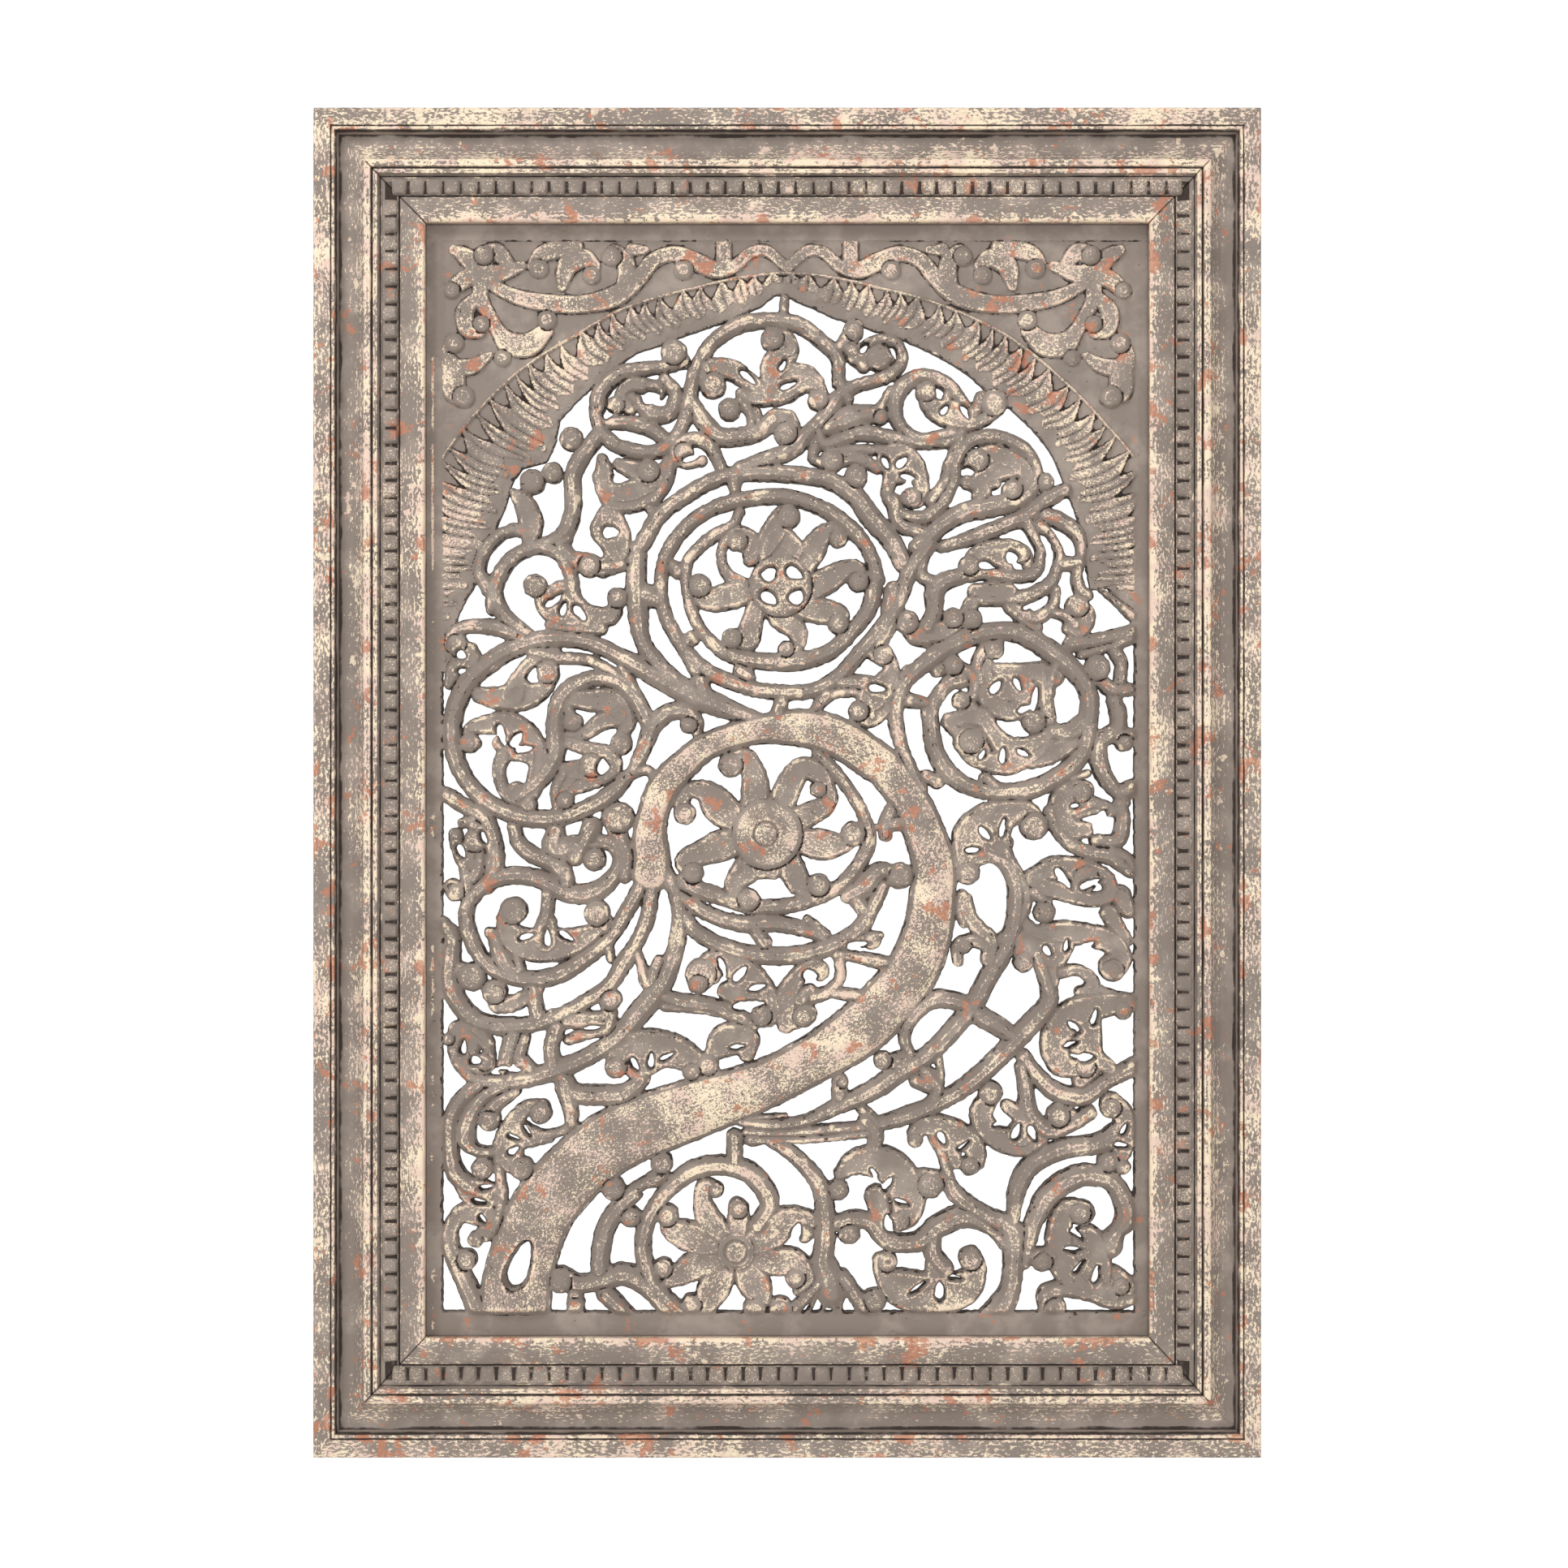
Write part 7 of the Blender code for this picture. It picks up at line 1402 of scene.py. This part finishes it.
@dataclass
class MouldedRail:
    """One mitred rail, swept from the moulding's section.

    The section runs from the outer edge to the sight edge as a share of the
    rail's width, with heights as a share of its depth.
    """

    side: Side
    section: tuple = ((0.0, 0.0), (0.0, 0.955), (0.006, 0.975), (0.02, 0.985), (0.15, 0.985), (0.155, 0.965),
                      (0.161, 0.965), (0.166, 0.988), (0.186, 0.985), (0.193, 0.93), (0.199, 0.92),
                      (0.214, 0.66), (0.235, 0.625), (0.29, 0.63), (0.35, 0.67), (0.40, 0.76), (0.43, 0.86),
                      (0.452, 0.95), (0.468, 0.975), (0.508, 0.965), (0.520, 0.90), (0.530, 0.89), (0.54, 0.95),
                      (0.572, 0.955), (0.584, 0.80), (0.592, 0.74), (0.60, 0.775), (0.625, 0.77), (0.757, 0.755),
                      (0.762, 0.70), (0.769, 0.70), (0.776, 0.80), (0.80, 0.835), (0.85, 0.885), (0.90, 0.925),
                      (0.95, 0.945), (0.985, 0.93), (1.0, 0.885))
    quirks: tuple = ((0.0, 0.7), (0.158, 0.7), (0.2, 1.0), (0.445, 0.55), (0.525, 1.0), (0.59, 0.8), (0.766, 0.9))
    bead_start: float = 0.618
    bead_end: float = 0.760
    bead_level: float = 0.765
    hollow_start: float = 0.632
    hollow_end: float = 0.757
    rebate_level: float = 0.0146
    rebate_play: float = 0.0003
    step_across: float = 0.0011
    step_along: float = 0.0026
    mitre_groove: float = 0.0016
    dent: float = 0.00028
    chip: float = 0.0035

    def widths(self) -> tuple[float, float, float]:
        """Length of the outer edge, own width and the neighbour's width."""
        if self.side in (Side.TOP, Side.BOTTOM):
            own = SIZES.top_rail if self.side is Side.TOP else SIZES.bottom_rail
            return SIZES.frame_width, own, SIZES.side_rail
        return SIZES.frame_height, SIZES.side_rail, 0.0

    def ends(self, share: np.ndarray) -> tuple[np.ndarray, np.ndarray]:
        """Where the rail starts and stops along its run, at a share of its width."""
        length, _, neighbour = self.widths()
        if self.side in (Side.TOP, Side.BOTTOM):
            return share * neighbour, length - share * neighbour
        return share * SIZES.bottom_rail, length - share * SIZES.top_rail

    def place(self, along: np.ndarray, share: np.ndarray, height: np.ndarray) -> np.ndarray:
        """Row-frame positions of points on the rail.

        Args:
            along: Distance along the run, from the left or from the foot.
            share: Share of the width, from the outer edge.
            height: Height above the wall.

        Returns:
            One row (x, y, z) to a point.
        """
        _, own, _ = self.widths()
        half = SIZES.frame_width / 2
        if self.side is Side.TOP:
            return np.column_stack([along - half, -height, SIZES.foot + SIZES.frame_height - share * own])
        if self.side is Side.BOTTOM:
            return np.column_stack([along - half, -height, SIZES.foot + share * own])
        if self.side is Side.LEFT:
            return np.column_stack([share * own - half, -height, SIZES.foot + along])
        return np.column_stack([half - share * own, -height, SIZES.foot + along])

    def section_points(self) -> tuple[np.ndarray, np.ndarray, np.ndarray, np.ndarray]:
        """The section, cut fine, with its arrises and crevices marked.

        Returns:
            Shares, heights, ridge marks and crevice marks.
        """
        _, own, _ = self.widths()
        corners = np.array(self.section) * (own, SIZES.rail_depth)
        steps = np.diff(corners, axis=0)
        angles = np.arctan2(steps[:, 1], steps[:, 0])
        turns = np.diff(np.unwrap(angles))
        points = []
        for start, stop in zip(corners[:-1], corners[1:]):
            count = max(1, int(math.dist(start, stop) / self.step_across))
            points.extend(start + (stop - start) * k / count for k in range(count))
        points.append(corners[-1])
        line = np.array(points)
        ridge = np.zeros(len(line))
        crevice = np.zeros(len(line))
        # Concave corners are marked as crevices, which the paint darkens as painted shade and dirt.
        for corner, turn in zip(corners[1:-1], turns):
            near = np.exp(-(np.hypot(*(line - corner).T) / 0.0013) ** 2) * min(1.0, abs(turn) * 1.3)
            if turn < -0.2:
                ridge = np.maximum(ridge, near)
            elif turn > 0.2:
                crevice = np.maximum(crevice, near)
        ridge = np.maximum(ridge, np.exp(-(np.hypot(*(line - corners[-1]).T) / 0.0014) ** 2))
        # Dark lines along the quirks, painted shade and dirt in the grooves.
        for share, strength in self.quirks:
            drawn = strength * np.exp(-((line[:, 0] - share * own) / 0.0008) ** 2)
            crevice = np.maximum(crevice, np.where(line[:, 1] > 0.6 * SIZES.rail_depth, drawn, 0))
        crevice = np.where((line[:, 0] < 1e-5) & (line[:, 1] < 0.9 * SIZES.rail_depth), 0.0, crevice)
        # Painted shade: the hollow under the beads is darkened so the notches between them read dark.
        hollow = (line[:, 0] > self.hollow_start * own) & (line[:, 0] < self.hollow_end * own)
        crevice = np.where(hollow, 0.95, crevice)
        rebate = own - (SIZES.rebate + self.rebate_play)
        back = np.array([(own, self.rebate_level), (rebate, self.rebate_level), (rebate, 0.0)])
        line = np.vstack([line, back])
        pad = np.zeros(3)
        return line[:, 0] / own, line[:, 1], np.append(ridge, pad), np.append(crevice, pad + 0.3)

    def sweep(self) -> bpy.types.Object:
        """Sweeps the section from mitre to mitre.

        Returns:
            The moulding as a closed mesh with its wear and painted shade marks stored on it.
        """
        share, height, ridge, crevice = self.section_points()
        start, stop = self.ends(share)
        length, own, _ = self.widths()
        count = int(length / self.step_along)
        t = np.concatenate([[0.0, 0.0007, 0.0016], np.arange(1, count) / count, [0.9984, 0.9993, 1.0]])
        along = start[None, :] + (stop - start)[None, :] * t[:, None]
        tall = np.repeat(height[None, :], len(t), 0)
        seed = 20 + list(Side).index(self.side)
        wobble = lattice_noise(tall.shape, 4.2, seed) - 0.5 + 0.6 * (lattice_noise(tall.shape, 1.7, seed + 9) - 0.5)
        chips = np.clip(lattice_noise(tall.shape, 3.0, seed + 4) - 0.72, 0, 1) * ridge[None, :]
        front = tall > self.rebate_level + 0.0001
        tall = np.where(front, tall + wobble * self.dent * 2 - chips * self.chip, tall)
        mitre = np.exp(-(np.minimum(t, 1 - t) / 0.0008) ** 2)[:, None] * np.clip((share - 0.3) / 0.2, 0.12, 1)[None, :]
        tall = np.where(front, np.maximum(tall - mitre * self.mitre_groove, self.rebate_level), tall)
        rows, columns = tall.shape
        places = self.place(along.ravel(), np.tile(share, rows), tall.ravel())
        index = np.arange(rows * columns).reshape(rows, columns)
        ring = np.roll(index, -1, axis=1)
        quads = np.stack([index[:-1], ring[:-1], ring[1:], index[1:]], axis=-1).reshape(-1, 4)
        caps = [index[0][::-1][None, :], index[-1][None, :]]
        if self.side in (Side.BOTTOM, Side.RIGHT):
            quads = quads[:, ::-1]
            caps = [cap[:, ::-1] for cap in caps]
        rail = new_object(f"{self.side.value}_moulding", places, [quads, *caps])
        mesh = rail.data
        level = np.interp(share, (0, 0.17, 0.22, 0.30, 0.42, 0.5, 0.585, 0.6, 0.758, 0.79, 1.0),
                          (0.3, 0.35, -0.6, 0.0, 0.45, 0.3, 0.1, -0.9, -0.9, 0.0, 0.4))
        worn = np.clip(0.35 * ridge[None, :] + level[None, :] + 0 * tall, -1, 1)
        store_attribute(mesh, "ridge", np.where(front, ridge[None, :], 0).ravel())
        store_attribute(mesh, "crevice", np.maximum(crevice[None, :], mitre * front).ravel())
        store_attribute(mesh, "worn", worn.ravel())
        hidden = np.where(front, 0.0, 0.55)
        hidden = np.where((share[None, :] < 0.001) & (tall < 0.028), 0.25, hidden)
        store_attribute(mesh, "cut", hidden.ravel())
        run = mesh.uv_layers.new(name="run")
        corners = np.empty(len(mesh.loops), dtype=np.int32)
        mesh.loops.foreach_get("vertex_index", corners)
        flat = np.column_stack([along.ravel(), np.tile(share, rows) * own + tall.ravel()])
        run.data.foreach_set("uv", flat[corners].astype(np.float32).ravel())
        mesh.shade_smooth()
        mesh.set_sharp_from_angle(angle=math.radians(38))
        LOG.info("%s swept in %d faces", rail.name, len(mesh.polygons))
        return rail

    def beads(self, course: BeadCourse, paint: bpy.types.Material) -> bpy.types.Object:
        """Lays the bead course in the rail's hollow.

        Args:
            course: The course to lay.
            paint: The beads' finish.

        Returns:
            The course, in its place.
        """
        middle = (self.bead_start + self.bead_end) / 2
        _, own, _ = self.widths()
        corner = self.bead_start if self.side in (Side.TOP, Side.BOTTOM) else self.bead_end
        start, stop = (float(v[0]) for v in self.ends(np.array([corner])))
        beads = course.build(self.side, stop - start, (self.bead_end - self.bead_start) * own, paint)
        mesh = beads.data
        places = np.empty(len(mesh.vertices) * 3)
        mesh.vertices.foreach_get("co", places)
        places = places.reshape(-1, 3)
        height = self.bead_level * SIZES.rail_depth + places[:, 2]
        moved = self.place(places[:, 0] + start, middle + places[:, 1] / own, height)
        mesh.vertices.foreach_set("co", moved.astype(np.float32).ravel())
        if self.side in (Side.TOP, Side.LEFT):
            mesh.flip_normals()
        mesh.update()
        LOG.info("%s laid in %d faces", beads.name, len(mesh.polygons))
        return beads


@dataclass
class Studio:
    """White surround, pale floor, soft light from the upper left and the camera."""

    view_width: float = 1.161
    lens: float = 62.0
    aim_x: float = -0.0024
    aim_z: float = -0.459
    front: float = -0.030
    surround: float = 0.58
    floor_level: float = -1.35

    def build(self) -> None:
        """Puts up the floor, the lights and the camera."""
        scene = bpy.context.scene
        self.floor()
        self.light("key", (-1.5, -1.9, 1.25), 0.8, 27.0)
        self.light("front", (0.3, -3.4, -0.3), 1.2, 34.0)
        self.world()
        data = bpy.data.cameras.new("camera")
        data.lens = self.lens
        data.sensor_width = 36.0
        camera = bpy.data.objects.new("camera", data)
        distance = self.view_width * self.lens / data.sensor_width
        camera.location = (self.aim_x, self.front - distance, self.aim_z)
        camera.rotation_euler = (math.pi / 2, 0, 0)
        scene.collection.objects.link(camera)
        scene.camera = camera
        scene.view_settings.view_transform = "Standard"

    def floor(self) -> None:
        """Lays the pale floor below the panel."""
        corners = ((-2.5, -2.5), (2.5, -2.5), (2.5, 0.6), (-2.5, 0.6))
        places = np.array([(x, y, self.floor_level) for x, y in corners])
        floor = new_object("floor", places, [np.array([[0, 1, 2, 3]])])
        pale = bpy.data.materials.new("pale_floor")
        pale.use_nodes = True
        pale.node_tree.nodes["Principled BSDF"].inputs["Base Color"].default_value = linear(226, 224, 220)
        pale.node_tree.nodes["Principled BSDF"].inputs["Roughness"].default_value = 0.8
        floor.data.materials.append(pale)

    def light(self, name: str, place: Place, size: float, power: float) -> None:
        """Hangs a square soft light that faces the panel's middle."""
        data = bpy.data.lights.new(name, "AREA")
        data.size = size
        data.energy = power
        light = bpy.data.objects.new(name, data)
        light.location = place
        facing = Vector((0, 0, self.aim_z)) - Vector(place)
        light.rotation_euler = facing.to_track_quat("-Z", "Y").to_euler()
        bpy.context.scene.collection.objects.link(light)

    def world(self) -> None:
        """Makes the surround white to the eye and softer as a light."""
        world = bpy.data.worlds.new("surround")
        world.use_nodes = True
        world.node_tree.nodes.clear()
        bench = NodeBench(world.node_tree)
        seen = bench.add("ShaderNodeLightPath", None, None, "Is Camera Ray")
        strength = seen * (1.02 - self.surround) + self.surround
        white = bench.add("ShaderNodeBackground", None, {"Color": (1, 1, 1, 1), "Strength": strength})
        bench.add("ShaderNodeOutputWorld", None, {"Surface": white})
        bpy.context.scene.world = world


def main() -> None:
    """Builds the panel, piece by piece, and the studio."""
    logging.basicConfig(level=logging.INFO)
    panel = CarvedPanel()
    carving_paint = WornPaint(Surface.CARVING).material()
    for part in Part:
        piece = panel.build(part)
        piece.data.materials.append(carving_paint)
        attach(piece, "root")
        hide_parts("carved_panel")
    moulding_paint = WornPaint(Surface.MOULDING).material()
    bead_paint = WornPaint(Surface.BEADS).material()
    for side in Side:
        rail = MouldedRail(side)
        moulding = rail.sweep()
        moulding.data.materials.append(moulding_paint)
        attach(moulding, "root")
        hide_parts(side.value)
        beads = rail.beads(BeadCourse(), bead_paint)
        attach(beads, "root")
    Studio().build()


if __name__ == "__main__":
    main()
